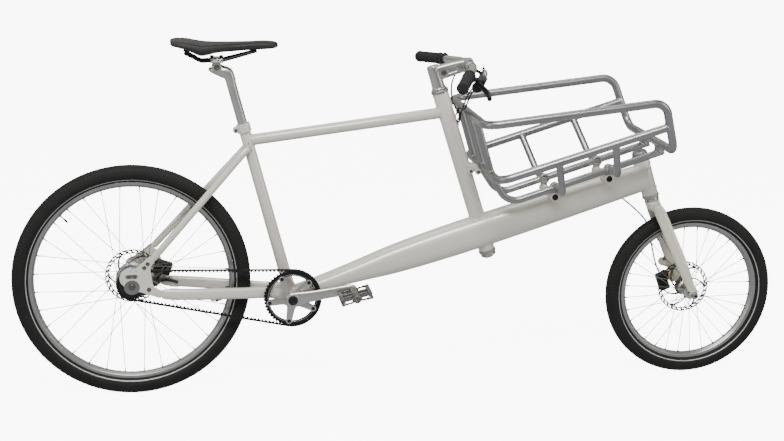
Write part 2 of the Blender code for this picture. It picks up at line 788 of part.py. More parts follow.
def rotor(axle, y):
    """Brake disc: drilled track, leaning arms and the mounting ring."""
    track_in = ROTOR_R - 0.015
    ring_out = ROTOR_BORE_R + 0.009
    loops = [circle(ROTOR_R, 32), circle(ROTOR_BORE_R, 12)]
    for k in range(ROTOR_ARMS):
        start = 2 * math.pi * k / ROTOR_ARMS
        step = 2 * math.pi / ROTOR_ARMS
        window = [(track_in * math.cos(start + step * share), track_in * math.sin(start + step * share))
                  for share in (0.12, 0.38, 0.62, 0.88)]
        window += [(ring_out * math.cos(start + step * share), ring_out * math.sin(start + step * share))
                   for share in (0.42, -0.08)]
        loops.append(window)
    for k in range(ROTOR_HOLES):
        angle = 2 * math.pi * (k + 0.5) / ROTOR_HOLES
        radius = track_in + (0.0045 if k % 2 else 0.0105)
        loops.append(circle(0.0022, 4, radius * math.cos(angle), radius * math.sin(angle)))
    return plate(loops, ROTOR_THICK, side_plane(axle, y))


def make_front_wheel():
    finish(tyre(FRONT_AXLE, FRONT_TYRE_R, FRONT_TYRE_W, FRONT_RIM_R, FRONT_SIDES), "front_tyre", rubber(),
           FRONT_AXLE)
    finish(rim(FRONT_AXLE, FRONT_RIM_R, FRONT_SIDES), "front_rim", silver(), FRONT_AXLE)
    bore = AXLE_R + BEARING_CLEAR
    flange = FRONT_FLANGE_Y
    body_r = FRONT_HUB_R - 0.007
    profile = [(bore, -flange - 0.014), (0.010, -flange - 0.014), (0.012, -flange - 0.0035),
               (FRONT_HUB_R, -flange - 0.0035), (FRONT_HUB_R, -flange + 0.0035), (body_r, -flange + 0.006),
               (body_r, flange - 0.006), (FRONT_HUB_R, flange - 0.0035), (HUB_COLLAR_R, flange + 0.0045),
               (HUB_COLLAR_R, FRONT_ROTOR_Y + 0.003), (bore, FRONT_ROTOR_Y + 0.003)]
    hub = turned(profile, FRONT_AXLE, Y, 16)
    hub = join(hub, spokes(FRONT_AXLE, FRONT_HUB_R - 0.003, FRONT_FLANGE_Y, FRONT_RIM_R, FRONT_SIDES))
    finish(hub, "front_hub", grey(), FRONT_AXLE)
    finish(rotor(FRONT_AXLE, FRONT_ROTOR_Y), "front_rotor", steel(), FRONT_AXLE)


def belt_layout():
    """Pitch, the two pitch radii and the wrap angle, from a whole number of teeth."""
    span = (REAR_AXLE - BB).length
    pitch = BELT_PITCH_NOMINAL
    teeth = 0
    for _ in range(30):
        ring_r = RING_TEETH * pitch / (2 * math.pi)
        sprocket_r = SPROCKET_TEETH * pitch / (2 * math.pi)
        lean = math.asin((ring_r - sprocket_r) / span)
        length = (2 * span * math.cos(lean) + math.pi * (ring_r + sprocket_r)
                  + 2 * lean * (ring_r - sprocket_r))
        teeth = teeth or round(length / pitch)
        pitch = length / teeth
    return pitch, teeth, ring_r, sprocket_r, lean


def belt_point(distance, offset):
    """A point that far along the pitch line from the ring's top tangent, set out by the offset."""
    pitch, teeth, ring_r, sprocket_r, lean = belt_layout()
    centre_line = (REAR_AXLE - BB)
    heading = math.atan2(centre_line.z, centre_line.x)
    straight = centre_line.length * math.cos(lean)
    distance %= pitch * teeth
    top = heading - math.pi / 2 + lean
    bottom = heading + math.pi / 2 - lean
    lengths = (straight, sprocket_r * (math.pi - 2 * lean), straight)

    def around(centre, radius, angle):
        return Vector((centre.x + (radius + offset) * math.cos(angle),
                       (radius + offset) * math.sin(angle) + centre.z))

    if distance < lengths[0]:
        start = around(BB, ring_r, top)
        end = around(REAR_AXLE, sprocket_r, top)
        return start.lerp(end, distance / straight)
    distance -= lengths[0]
    if distance < lengths[1]:
        return around(REAR_AXLE, sprocket_r, top + distance / sprocket_r)
    distance -= lengths[1]
    if distance < lengths[2]:
        start = around(REAR_AXLE, sprocket_r, bottom)
        end = around(BB, ring_r, bottom)
        return start.lerp(end, distance / straight)
    distance -= lengths[2]
    return around(BB, ring_r, bottom + distance / ring_r)


def belt_phases():
    """Angles of one tooth space on the ring and on the sprocket, so that both are in mesh."""
    pitch, teeth, ring_r, sprocket_r, lean = belt_layout()
    centre_line = (REAR_AXLE - BB)
    heading = math.atan2(centre_line.z, centre_line.x)
    straight = centre_line.length * math.cos(lean)
    top = heading - math.pi / 2 + lean
    bottom = heading + math.pi / 2 - lean
    ring_phase = bottom - (2 * straight + sprocket_r * (math.pi - 2 * lean)) / ring_r
    return ring_phase, top - straight / sprocket_r


def make_belt():
    pitch, teeth, ring_r, sprocket_r, lean = belt_layout()
    inner = []
    for k in range(teeth):
        middle = k * pitch
        for shift, depth in ((-TOOTH_BASE / 2, 0), (-TOOTH_TIP / 2, -BELT_TOOTH),
                             (TOOTH_TIP / 2, -BELT_TOOTH),
                             (TOOTH_BASE / 2, 0)):
            inner.append(tuple(belt_point(middle + shift, depth)))
    span = (REAR_AXLE - BB).length * math.cos(lean)
    back = []
    wrap_small = sprocket_r * (math.pi - 2 * lean)
    wrap_large = pitch * teeth - 2 * span - wrap_small
    for start, length, steps in ((span, wrap_small, 14), (2 * span + wrap_small, wrap_large, 28)):
        for k in range(steps + 1):
            back.append(tuple(belt_point(start + length * k / steps * 0.99999, BELT_BACK)))
    body = plate([[(x - BB.x, z - BB.z) for x, z in back], [(x - BB.x, z - BB.z) for x, z in inner]],
                 BELT_WIDTH, side_plane(BB, BELT_Y))
    finish(body, "belt", rubber())


def toothed_outline(teeth, radius, phase):
    """Spaces for the belt's teeth, with running clearance on every side."""
    outline = []
    crest = radius - GAP
    root = radius - BELT_TOOTH - GAP
    for k in range(teeth):
        middle = phase + 2 * math.pi * k / teeth
        for shift, r in ((-(TOOTH_BASE / 2 + GAP), crest), (-(TOOTH_TIP / 2 + GAP), root),
                         (TOOTH_TIP / 2 + GAP, root), (TOOTH_BASE / 2 + GAP, crest)):
            angle = middle + shift / radius
            outline.append((r * math.cos(angle), r * math.sin(angle)))
    return outline


def make_sprockets():
    pitch, teeth, ring_r, sprocket_r, lean = belt_layout()
    ring_phase, sprocket_phase = belt_phases()
    thick = BELT_WIDTH - 0.001
    inner_r = ring_r - 0.0125
    ring = plate([toothed_outline(RING_TEETH, ring_r, ring_phase), circle(inner_r, 30)], thick,
                 side_plane(BB, BELT_Y))
    tabs = []
    for k in range(5):
        angle = spider_angle(k)
        outward = Vector((math.cos(angle), 0, math.sin(angle)))
        tabs.append(cross_rod(BB + outward * BOLT_CIRCLE_R, BELT_Y - thick / 2 + 0.0002,
                              BELT_Y - thick / 2 + 0.004,
                              0.0085, 12))
    finish(join(ring, loose(*tabs)), "belt_ring", black(), BB)
    sprocket = plate([toothed_outline(SPROCKET_TEETH, sprocket_r, sprocket_phase), circle(0.0178, 24)], thick,
                     side_plane(REAR_AXLE, BELT_Y))
    finish(sprocket, "rear_sprocket", black(), REAR_AXLE)


def spider_angle(k):
    return math.radians(CRANK_ANGLE_DEG + 36 + 72 * k)


def crank_arm(sign):
    """Forged arm, broad at the boss and narrow at the pedal eye, with its pedal's axle."""
    turn = math.radians(CRANK_ANGLE_DEG) + (math.pi if sign > 0 else 0)
    outline = hull((0, 0, CRANK_BOSS_R), (CRANK_LEN, 0, CRANK_END_R), steps=7)
    arm = plate([outline], CRANK_THICK, side_plane(BB, sign * (CRANK_OUTER_Y - CRANK_THICK / 2), turn))
    near, far = sorted((sign * (BB_SHELL_HALF + CUP_DEPTH + 0.001), sign * (CRANK_OUTER_Y - 0.004)))
    boss = cross_rod(BB, near, far, CRANK_BOSS_R - 0.002, 20)
    return join(arm, boss), BB + Vector((math.cos(turn), 0, math.sin(turn))) * CRANK_LEN


def make_cranks():
    for name, sign in (("right", -1), ("left", 1)):
        arm, eye = crank_arm(sign)
        if sign < 0:
            inner = BELT_Y - (BELT_WIDTH - 0.001) / 2 - GAP
            thick = 0.006
            for k in range(5):
                angle = spider_angle(k)
                outline = hull((0.010 * math.cos(angle), 0.010 * math.sin(angle), 0.0130),
                               (BOLT_CIRCLE_R * math.cos(angle), BOLT_CIRCLE_R * math.sin(angle), 0.0085),
                               steps=4)
                arm = join(arm, plate([outline], thick, side_plane(BB, inner - thick / 2 - 0.0001 * k)))
            arm = cut(arm, cross_rod(BB, -0.10, -0.03, SPINDLE_R + GAP, 20))
        else:
            arm = join(arm, cross_rod(BB, -CRANK_OUTER_Y + 0.003, CRANK_OUTER_Y - 0.006, SPINDLE_R, 20))
        near, far = sorted((sign * (CRANK_OUTER_Y - 0.006), sign * (CRANK_OUTER_Y + PEDAL_LEN - 0.016)))
        finish(join(arm, cross_rod(eye, near, far, PEDAL_AXLE_R, 12)), "crank_" + name, silver(), BB)
        make_pedal(name, sign, eye)


def make_pedal(name, sign, eye):
    """Platform pedal: end bars and side bars round the barrel, tilted as in the photograph."""
    inner = CRANK_OUTER_Y + 0.004
    outer = inner + PEDAL_LEN - 0.010
    middle = (inner + outer) / 2
    tilt = Matrix.Rotation(math.radians(-PEDAL_TILT_DEG), 3, "Y")
    centre = Vector((eye.x, sign * middle, eye.z))

    def bar(x, y, size):
        return block(centre + tilt @ Vector((x, y, 0)), size, tilt)

    near, far = sorted((sign * inner, sign * outer))
    body = cross_rod(eye, near, far, 0.0105, 14)
    reach = (outer - inner) / 2 - 0.0055
    bars = [bar(x * (PEDAL_WIDTH / 2 - 0.004), 0, (0.008, outer - inner - 0.003, PEDAL_THICK))
            for x in (-1, 1)]
    bars += [bar(0, y * reach, (PEDAL_WIDTH - 0.006, 0.008, PEDAL_THICK - 0.004)) for y in (-1, 1)]
    near, far = sorted((sign * (inner - 0.002), sign * (outer - 0.008)))
    body = cut(join(body, *bars), cross_rod(eye, near, far, PEDAL_AXLE_R + BEARING_CLEAR, 12))
    finish(body, "pedal_" + name, grey(), eye)


def fork_blade(sign):
    """From the crown, out and down to the axle: a straight tapering blade."""
    foot = FRONT_AXLE + Y * sign * BLADE_Y
    crown = on_head(-HEADSET_HEIGHT - CROWN_DROP, 0.004, sign * BLADE_TOP_Y)
    run = foot - crown
    fore = Vector((run.z, 0, -run.x)).normalized() * -1
    stations = []
    for share, half, thick in ((-0.02, BLADE_HALF * 0.98, BLADE_THICK * 1.15),
                               (0.12, BLADE_HALF, BLADE_THICK),
                               (0.60, BLADE_HALF * 0.98, BLADE_THICK * 0.95),
                               (0.93, BLADE_TIP_HALF, BLADE_THICK * 0.55),
                               (1.04, BLADE_TIP_HALF * 0.8, 0.0035)):
        y = sign * (BLADE_TOP_Y + (BLADE_Y - BLADE_TOP_Y) * min(1.0, max(-0.15, share * 1.6)))
        centre = crown + run * share
        stations.append((Vector((centre.x, y, centre.z)), Y * thick, fore * half))
    return loft(stations, sides=12, square=2.3)


def make_fork():
    """Steerer, crown, two blades, the disc brake's mount, the axle with its nuts and the top nut."""
    top = HEAD_TUBE_LEN + HEADSET_HEIGHT
    steerer = rod(on_head(-HEADSET_HEIGHT - 0.022), on_head(top + 0.006), STEERER_R, sides=SIDES)
    cap = rod(on_head(top + GAP * 2), on_head(top + 0.012), 0.0225, 0.0205, sides=20)
    crown_top = -HEADSET_HEIGHT - GAP * 4 - ARM_THICK
    crown = loft([(on_head(crown_top), Y * 0.0215, HEAD_FWD * 0.0215),
                  (on_head(crown_top - 0.008), Y * 0.028, HEAD_FWD * 0.0205),
                  (on_head(crown_top - 0.020, 0.002), Y * 0.045, HEAD_FWD * 0.0185),
                  (on_head(crown_top - 0.028, 0.003), Y * 0.045, HEAD_FWD * 0.0165)], sides=16, square=2.3)
    fork = join(crown, fork_blade(-1), fork_blade(1), steerer, cap)
    tab_at = FRONT_AXLE + Vector((-0.058, 0, 0.052))
    mount = plate([hull((0.022, -0.030, 0.008), (0.030, 0.038, 0.008), (0.0, 0.018, 0.012))], 0.006,
                  side_plane(tab_at, BLADE_Y + 0.0015))
    outer = BLADE_Y + 0.013
    axle = cross_rod(FRONT_AXLE, -outer, outer, AXLE_R, 12)
    nuts = [cross_rod(FRONT_AXLE, near, far, 0.0085, 6) for near,
            far in ((-outer + 0.002, -BLADE_Y), (BLADE_Y, outer - 0.002))]
    finish(join(fork, mount, axle, *nuts), "fork", fork_paint(), HEAD_FOOT)


def steering_arm(point_on, foot):
    """A plate round the steerer just under the headset with the link's stud on its end."""
    low = -HEADSET_HEIGHT - GAP * 2 - ARM_THICK
    frame = Matrix((HEAD_FWD, Y, HEAD_DIR)).transposed().to_4x4()
    arm = plate([hull((0, 0, 0.0215), (0, ARM_LEN, 0.008), steps=7)], ARM_THICK,
                Matrix.Translation(point_on(low + ARM_THICK / 2)) @ frame)
    arm = cut(arm, rod(point_on(-0.05), point_on(0.0), STEERER_R + GAP))
    stud = rod(point_on(low + 0.002, 0, ARM_LEN), point_on(low + ARM_THICK + LINK_RISE + 0.007, 0, ARM_LEN),
               LINK_PIN_R,
               sides=10)
    collar = rod(point_on(low + 0.003, 0, ARM_LEN),
                 point_on(low + ARM_THICK + LINK_RISE - 0.0055, 0, ARM_LEN), 0.0065,
                 sides=10)
    return join(arm, collar, stud)


def make_steering_arms():
    finish(steering_arm(on_steering, STEERING_FOOT), "steering_arm_rear", silver(), STEERING_FOOT)
    finish(steering_arm(on_head, HEAD_FOOT), "steering_arm_front", silver(), HEAD_FOOT)


def link_ends():
    """Centres of the drag link's two eyes, above the arms."""
    rise = -HEADSET_HEIGHT - GAP * 2 + LINK_RISE
    return on_steering(rise, 0, ARM_LEN), on_head(rise, 0, ARM_LEN)


def make_drag_link():
    """The rod on the left side that turns the fork with the handlebar."""
    rear, front = link_ends()
    run = (front - rear).normalized()
    body = rod(rear + run * 0.006, front - run * 0.006, LINK_R, sides=10)
    eyes = [rod(eye - HEAD_DIR * 0.0050, eye + HEAD_DIR * 0.0050, 0.0098, sides=14) for eye in (rear, front)]
    body = join(body, *eyes)
    body = cut(body, rod(rear - HEAD_DIR * 0.02, rear + HEAD_DIR * 0.02, LINK_PIN_R + BEARING_CLEAR,
                         sides=12),
               rod(front - HEAD_DIR * 0.02, front + HEAD_DIR * 0.02, LINK_PIN_R + 0.0010, sides=12))
    finish(body, "drag_link", steel(), rear)


def caliper(name, centre, size, rotor_axle, rotor_y, lean, lobe, reach, origin):
    """Two-piston caliper body over the disc, with the slot that the disc runs in and its foot."""
    turn = Matrix.Rotation(math.radians(-lean), 3, "Y")
    body = block(centre, size, turn)
    soft = body.modifiers.new("bevel", "BEVEL")
    soft.width = 0.005
    soft.segments = 2
    body = solid(evaluated(body))
    boss = cross_rod(centre, centre.y - size[1] / 2 - 0.003, centre.y + size[1] / 2 - 0.002, 0.011, 14)
    body = join(body, boss)
    foot = centre + Vector(lobe)
    outer = centre.y + size[1] / 2 - 0.001
    body = join(body, cross_rod(foot, rotor_y + 0.003, reach or outer, LOBE_R, 12),
                rod(Vector((foot.x, outer - 0.0065, foot.z)), Vector((centre.x, outer - 0.0065, centre.z)),
                    0.006, sides=8))
    slot = cross_rod(rotor_axle, rotor_y - 0.0022, rotor_y + 0.0022, ROTOR_R + 0.0025, 32)
    finish(cut(body, slot), name, black(), origin)


def make_calipers():
    rear = Vector((REAR_AXLE.x + 0.086, REAR_ROTOR_Y + 0.001, REAR_AXLE.z + 0.023))
    caliper("rear_caliper", rear, (0.048, 0.0290, 0.036), REAR_AXLE, REAR_ROTOR_Y, -20, (-0.022, 0, -0.043),
            None, None)
    front = Vector((FRONT_AXLE.x - 0.0645, FRONT_ROTOR_Y + 0.0005, FRONT_AXLE.z + 0.018))
    caliper("front_caliper", front, (0.032, 0.0230, 0.054), FRONT_AXLE, FRONT_ROTOR_Y, 20,
            (0.0065, 0, 0.0190),
            BLADE_Y - 0.0015 - GAP, HEAD_FOOT)


def make_handlebar():
    clamp = on_steering(STEM_RISE, STEM_REACH)
    steerer = rod(on_steering(-HEADSET_HEIGHT - ARM_THICK - 0.006), on_steering(STEM_TOP - 0.006), STEERER_R)
    collar_foot = STEERING_TUBE_LEN + HEADSET_HEIGHT + GAP * 2
    collar = rod(on_steering(collar_foot), on_steering(STEM_TOP), 0.0185, 0.0172, sides=20)
    body = loft([(on_steering(STEM_RISE + 0.0035, 0.004), Y * STEM_HALF, HEAD_DIR * 0.0205),
                 (on_steering(STEM_RISE + 0.0025, 0.060), Y * STEM_HALF, HEAD_DIR * 0.0185),
                 (on_steering(STEM_RISE, STEM_REACH), Y * STEM_HALF, HEAD_DIR * 0.0165)], sides=16,
                 square=5.0)
    barrel = rod(clamp - Y * 0.021, clamp + Y * 0.021, CLAMP_R, sides=20)
    stem = join(collar, body, barrel)
    pockets = [block(on_steering(STEM_RISE + 0.0020, 0.0490, side * (STEM_HALF + 0.001)),
                     (0.030, 0.010, 0.018),
                     Matrix((HEAD_FWD, Y, HEAD_DIR)).transposed()) for side in (-1, 1)]
    stem = cut(stem, *pockets)
    stem = cut(join(stem, steerer), rod(clamp - Y * 0.03, clamp + Y * 0.03, BAR_CLAMP_R + GAP, sides=20))
    bolt = rod(on_steering(STEM_RISE + 0.0011, 0.0235, -STEM_HALF - 0.002),
               on_steering(STEM_RISE + 0.0011, 0.0235, -STEM_HALF + 0.004),
               0.0075, sides=12)
    finish(join(stem, bolt), "stem", silver(), STEERING_FOOT)
    bar = tube(bar_path(), BAR_R, 3)
    middle = rod(clamp - Y * 0.030, clamp + Y * 0.030, BAR_CLAMP_R, sides=20)
    finish(join(bar, middle), "handlebar", silver(), STEERING_FOOT)
    for name, sign in (("right", -1), ("left", 1)):
        make_bar_end(name, sign)


def bar_points():
    clamp = on_steering(STEM_RISE, STEM_REACH)
    end = clamp + Vector((-BAR_BACK, BAR_HALF, -BAR_DROP))
    bend = clamp + Y * BAR_STRAIGHT
    return clamp, bend, end


def bar_path():
    clamp, bend, end = bar_points()
    mirror = Vector((1, -1, 1))
    right = [end * 1.0, bend * 1.0]
    corners = [Vector(p) * 1 for p in right] + [bend * mirror, end * mirror]
    return fillet(corners, 0.10, steps=5)


def bar_axis(sign):
    """End of the bar and the unit vector inwards along its grip."""
    clamp, bend, end = bar_points()
    mirror = Vector((1, sign, 1))
    tip = end * mirror
    inward = ((bend - end) * mirror).normalized()
    return tip, inward


def make_bar_end(name, sign):
    tip, inward = bar_axis(sign)
    profile = [(0, -0.004), (GRIP_R * 0.80, -0.004), (GRIP_R * 1.02, 0.0), (GRIP_R * 0.97, 0.012),
               (GRIP_R * 0.95, 0.10),
               (GRIP_R * 1.08, GRIP_LEN - 0.004), (GRIP_R, GRIP_LEN), (BAR_R + GAP * 2, GRIP_LEN),
               (BAR_R + GAP * 2, -GAP),
               (0, -GAP)]
    grip = turned(profile, tip, inward, 14)
    finish(grip, "grip_" + name, black(), STEERING_FOOT)
    where, inward, fore = lever_frame(sign)
    ring = turned([(BAR_R + GAP * 2, -0.007), (BAR_R + 0.006, -0.007), (BAR_R + 0.006, 0.007),
                   (BAR_R + GAP * 2, 0.007)],
                  where, inward, 16)
    neck = rod(where + fore * 0.0145, where + fore * 0.030, 0.0068, sides=10)
    pump = rod(where + fore * 0.030 - inward * 0.020, where + fore * 0.034 + inward * 0.040, 0.0105, 0.0095,
               sides=12)
    body = join(ring, neck, pump)
    if sign < 0:
        ends = [where + fore * reach - Vector((0, 0, drop)) + inward * run
                for reach, drop, run in zip(POD_REACH, POD_DROP, (-0.010, 0.032))]
        body = join(body, rod(ends[0], ends[1], 0.0115, 0.0100, sides=12))
    finish(body, "brake_master_" + name, black(), STEERING_FOOT)
    pivot = where + fore * 0.034 - inward * 0.027
    make_brake_lever(name, pivot, inward, fore, tip)


def make_brake_lever(name, pivot, inward, fore, tip):
    """A two-finger blade that swings about an axis square to the bar."""
    upward = fore.cross(inward).normalized()
    hub = rod(pivot - upward * 0.0055, pivot + upward * 0.0055, 0.0062, sides=12)
    path = [pivot, pivot - inward * 0.020 + fore * 0.016, pivot - inward * 0.055 + fore * 0.033,
            pivot - inward * 0.088 + fore * 0.041]
    blade = loft([(p, fore * wide, upward * high) for p, wide, high in
                  zip(path, (0.0042, 0.0040, 0.0036, 0.0046), (0.0048, 0.0058, 0.0058, 0.0050))], sides=10)
    finish(join(hub, blade), "brake_lever_" + name, black(), pivot)


def make_bell():
    """Bell on the straight part of the bar, its dome ahead of the bar and a little lower."""
    clamp, bend, end = bar_points()
    where = clamp - Y * 0.058
    ring = turned([(BAR_R + GAP * 2, -0.005), (BAR_R + 0.0035, -0.005), (BAR_R + 0.0035, 0.005),
                   (BAR_R + GAP * 2, 0.005)],
                  where, Y, 14)
    lean = Vector((0.842, 0, -0.539))
    post = rod(where + lean * 0.0125, where + lean * 0.036, 0.0045, sides=8)
    dome = turned([(0, 0), (0.0150, 0), (0.0160, 0.004), (0.0135, 0.011), (0.0080, 0.0155), (0, 0.017)],
                  where + lean * 0.034, lean, 16)
    finish(join(ring, post, dome), "bell", steel(), STEERING_FOOT)


def make_seatpost():
    low = SEAT_TUBE_TOP - SEAT_BORE_DEPTH + 0.175
    knee = on_seat_tube(SEAT_TUBE_TOP + 0.149)
    head = TILT_AXIS + Vector((0.004, 0, -0.004))
    path = fillet([on_seat_tube(low), knee, head], 0.030, steps=4)
    body = tube(path, SEATPOST_R, 3)
    cradle = cross_rod(TILT_AXIS, -0.018, 0.018, CRADLE_R, 20)
    finish(join(body, cradle), "seatpost", silver(), on_seat_tube(SEAT_TUBE_TOP))


def saddle_rail(sign):
    y = sign * SADDLE_RAIL_Y
    z = SADDLE_RAIL_Z
    corners = [at(0.155, sign * 0.034, z + 0.022), at(0.200, y, z - 0.003), at(0.262, y, z),
               at(0.312, sign * 0.017, z + 0.013),
               at(0.352, sign * 0.010, z + 0.0235)]
    return fillet(corners, 0.020, steps=3)


def make_saddle():
    clamp_centre = at(TILT_X, 0, SADDLE_RAIL_Z - 0.0005)
    body = block(clamp_centre, (0.034, 0.058, 0.0125))
    body = cut(body, cross_rod(TILT_AXIS, -0.04, 0.04, CRADLE_R + GAP * 2, 20))
    body = join(body, *[tube(saddle_rail(sign), RAIL_WIRE_R, 2) for sign in (-1, 1)])
    finish(body, "saddle_rails", steel(), TILT_AXIS)
    sockets = [tube(saddle_rail(sign), RAIL_WIRE_R + GAP, 2) for sign in (-1, 1)]
    finish(cut(saddle_shape(), *sockets), "saddle", leather(), TILT_AXIS)


# The saddle's stations: length along the bike, half-width, top, underside
SADDLE_STATIONS = ((0.118, 0.034, 0.9950, 0.9870), (0.124, 0.056, 1.0000, 0.9800),
                   (0.140, 0.070, 1.0030, 0.9745),
                   (0.165, 0.0760, 1.0025, 0.9700), (0.195, 0.0715, 0.9975, 0.9645),
                   (0.225, 0.0560, 0.9935, 0.9620),
                   (0.255, 0.0400, 0.9920, 0.9625), (0.290, 0.0285, 0.9930, 0.9650),
                   (0.330, 0.0225, 0.9955, 0.9670),
                   (0.370, 0.0195, 0.9965, 0.9665), (0.395, 0.0170, 0.9955, 0.9690),
                   (0.406, 0.0120, 0.9910, 0.9740),
                   (0.410, 0.0060, 0.9860, 0.9790))


def saddle_shape():
    stations = []
    for x, half, top, low in SADDLE_STATIONS:
        centre = at(x, 0, (top + low) / 2)
        stations.append((centre, Y * half, Vector((0, 0, (top - low) / 2))))
    return loft(stations, sides=20, square=2.2)


def basket_corner(x, y, z):
    return at(x, y, z)


def make_basket():
    half, nose = BASKET_HALF, NOSE_HALF
    corners = [at(BASKET_REAR_X, half, BASKET_REAR_Z), at(BASKET_REAR_X, -half, BASKET_REAR_Z),
               at(BASKET_FRONT_X, -half, BASKET_FRONT_Z), at(BASKET_NOSE_X, -nose, BASKET_NOSE_Z),
               at(BASKET_NOSE_X, nose, BASKET_NOSE_Z), at(BASKET_FRONT_X, half, BASKET_FRONT_Z)]
    top = tube(fillet(corners, BEND_R, steps=4, cyclic=True), RAIL_R, 2, cyclic=True)
    finish(top, "basket_top_rail", silver())
    share = 0.50
    join_x = BASKET_FRONT_X + (BASKET_NOSE_X - BASKET_FRONT_X) * share
    join_z = BASKET_FRONT_Z + (BASKET_NOSE_Z - BASKET_FRONT_Z) * share
    join_y = half + (nose - half) * share
    rear = [at(LOWER_REAR_X, sign * LOWER_REAR_HALF, LOWER_REAR_Z) for sign in (-1, 1)]
    front = [at(join_x - 0.002, sign * (join_y - 0.001), join_z) for sign in (-1, 1)]
    lower = tube(fillet([front[0], rear[0], rear[1], front[1]], BEND_R, steps=4), RAIL_R, 2)
    posts = []
    for y in (-POST_SPACING, 0.0, POST_SPACING):
        posts.append(rod(at(LOWER_REAR_X, y, LOWER_REAR_Z), at(BASKET_REAR_X, y, BASKET_REAR_Z), BAR_POST_R,
                         sides=8))
    lower = join(lower, loose(*posts))
    lower = cut(lower, tube(fillet(corners, BEND_R, steps=4, cyclic=True), RAIL_R + GAP, 2, cyclic=True))
    finish(lower, "basket_lower_rail", silver())
    for name, sign in (("right", -1), ("left", 1)):
        finish(floor_rail(sign, rear, front, corners), "basket_floor_" + name, silver())


def floor_rail(sign, rear, front, corners):
    """A floor rail with its two hooks up to the lower rail."""
    y = sign * FLOOR_HALF
    path = [at(LOWER_REAR_X + 0.001, y, LOWER_REAR_Z - 0.002), at(FLOOR_REAR_X, y, FLOOR_REAR_Z),
            at(BASKET_NOSE_X + FLOOR_NOSE, y, floor_z(BASKET_NOSE_X + FLOOR_NOSE))]
    rail = tube(fillet(path, 0.050, steps=4), FLOOR_RAIL_R, 2)
    rail = join(rail, rod(at(BASKET_NOSE_X + 0.001, y, floor_z(BASKET_NOSE_X)),
                          at(BASKET_NOSE_X, y, BASKET_NOSE_Z),
                          FLOOR_RAIL_R - 0.0004, sides=8))
    hooks = []
    for station in HOOK_STATIONS:
        share = (station - LOWER_REAR_X) / (front[0] - rear[0]).x
        top = rear[0].lerp(front[0], share)
        foot_x = station + HOOK_RUN
        corner = at(foot_x, sign * HOOK_HALF, floor_z(foot_x) - 0.001)
        hooks.append(tube(fillet([Vector((top.x, sign * abs(top.y), top.z)), corner,
                                  at(foot_x, y, floor_z(foot_x))],
                                 0.030, steps=3), HOOK_R, 2))
    rail = join(rail, *hooks, *[basket_clamp(station, sign) for station in BOSS_STATIONS])
    rail = cut(rail, tube(fillet([front[0], rear[0], rear[1], front[1]], BEND_R, steps=4), RAIL_R + GAP, 2),
               tube(fillet(corners, BEND_R, steps=4, cyclic=True), RAIL_R + GAP, 2, cyclic=True))
    for station in BOSS_STATIONS:
        rail = cut(rail, cross_rod(boss_centre(station), -0.1, 0.1, BOSS_R + GAP, 12))
    return rail


def basket_clamp(station, sign):
    """The clamp that holds a floor rail on the end of a boss."""
    y = sign * (FLOOR_HALF - 0.0045)
    boss_at = boss_centre(station)
    collar = cross_rod(at(station, 0, floor_z(station)), y - 0.0085, y + 0.0085, 0.0130, 12)
    foot = block(Vector((boss_at.x, y, boss_at.z + 0.013)), (0.018, 0.0145, 0.018))
    return join(collar, foot)


def lever_frame(sign):
    """The bar's point under the lever clamp, the way inwards and the way the lever reaches."""
    tip, inward = bar_axis(sign)
    forward = (Vector((1, 0, 0)) - inward * inward.x).normalized()
    fore = (forward * 0.90 + Vector((0, 0, -0.43))).normalized()
    return tip + inward * LEVER_FROM_END, inward, fore


def make_hoses():
    """Hoses and cable from the handlebar into the steering tube, and the front brake's hose."""
    for name, sign, lift, side in (("brake_hose_right", -1, 0.0, -0.0085),
                                   ("shift_cable", -1, -0.0110, 0.0005),
                                   ("brake_hose_left", 1, 0.0110, 0.0085)):
        where, inward, fore = lever_frame(sign)
        start = where + fore * 0.0345 + inward * 0.0424
        if name == "shift_cable":
            start = where + fore * POD_REACH[1] - Vector((0, 0, POD_DROP[1])) + inward * 0.0365
        shift = Vector((-lift * 0.7, 0, 0))
        way = [start, on_steering(STEERING_TUBE_LEN - 0.0073, 0.0613, sign * 0.100) + shift,
               on_steering(STEERING_TUBE_LEN - 0.0509, 0.0401, sign * 0.054) + shift]
        station = STEERING_TUBE_LEN - 0.0885 + lift
        way += [on_steering(station + 0.032, HEAD_TUBE_R + 0.0125, side) + shift,
                on_steering(station + 0.008, HEAD_TUBE_R + 0.0085, side),
                on_steering(station, HEAD_TUBE_R + 0.0026, side)]
        finish(tube(smooth(way, 5), HOSE_R, 2), name, black(), STEERING_FOOT)
    outlet = at(1.3986, 0.016, 0.5326)
    way = [outlet, at(1.4160, 0.024, 0.5262), at(1.4954, 0.050, 0.4548)]
    way += [FRONT_AXLE + Vector(step) for step in ((-0.1003, 0.0560, 0.1330), (-0.0865, 0.0510, 0.0745),
                                                   (-0.0746, 0.0440, 0.0441))]
    finish(tube(smooth(way, 5), HOSE_R, 2), "brake_hose_front", black(), HEAD_FOOT)


def smooth(points, steps):
    """Points along a smooth curve through the route's own points."""
    ends = [points[0] * 2 - points[1]] + points + [points[-1] * 2 - points[-2]]
    path = []
    for a, b, c, d in zip(ends, ends[1:], ends[2:], ends[3:]):
        for k in range(steps):
            t = k / steps
            path.append(0.5 * ((b * 2) + (c - a) * t + (a * 2 - b * 5 + c * 4 - d) * t * t
                               + (b * 3 - a - c * 3 + d) * t * t * t))
    path.append(points[-1])
    return path


def make_rear_hose():
    """Boot and hose from the rear caliper's foot into the left chainstay."""
    way = [at(0.0771, 0.0580, 0.3095), at(0.0920, 0.0575, 0.3118), at(0.1100, 0.0560, 0.3100),
           at(0.1270, 0.0530, 0.3050)]
    finish(tube(smooth(way, 5), 0.0042, 2), "brake_hose_rear", black())


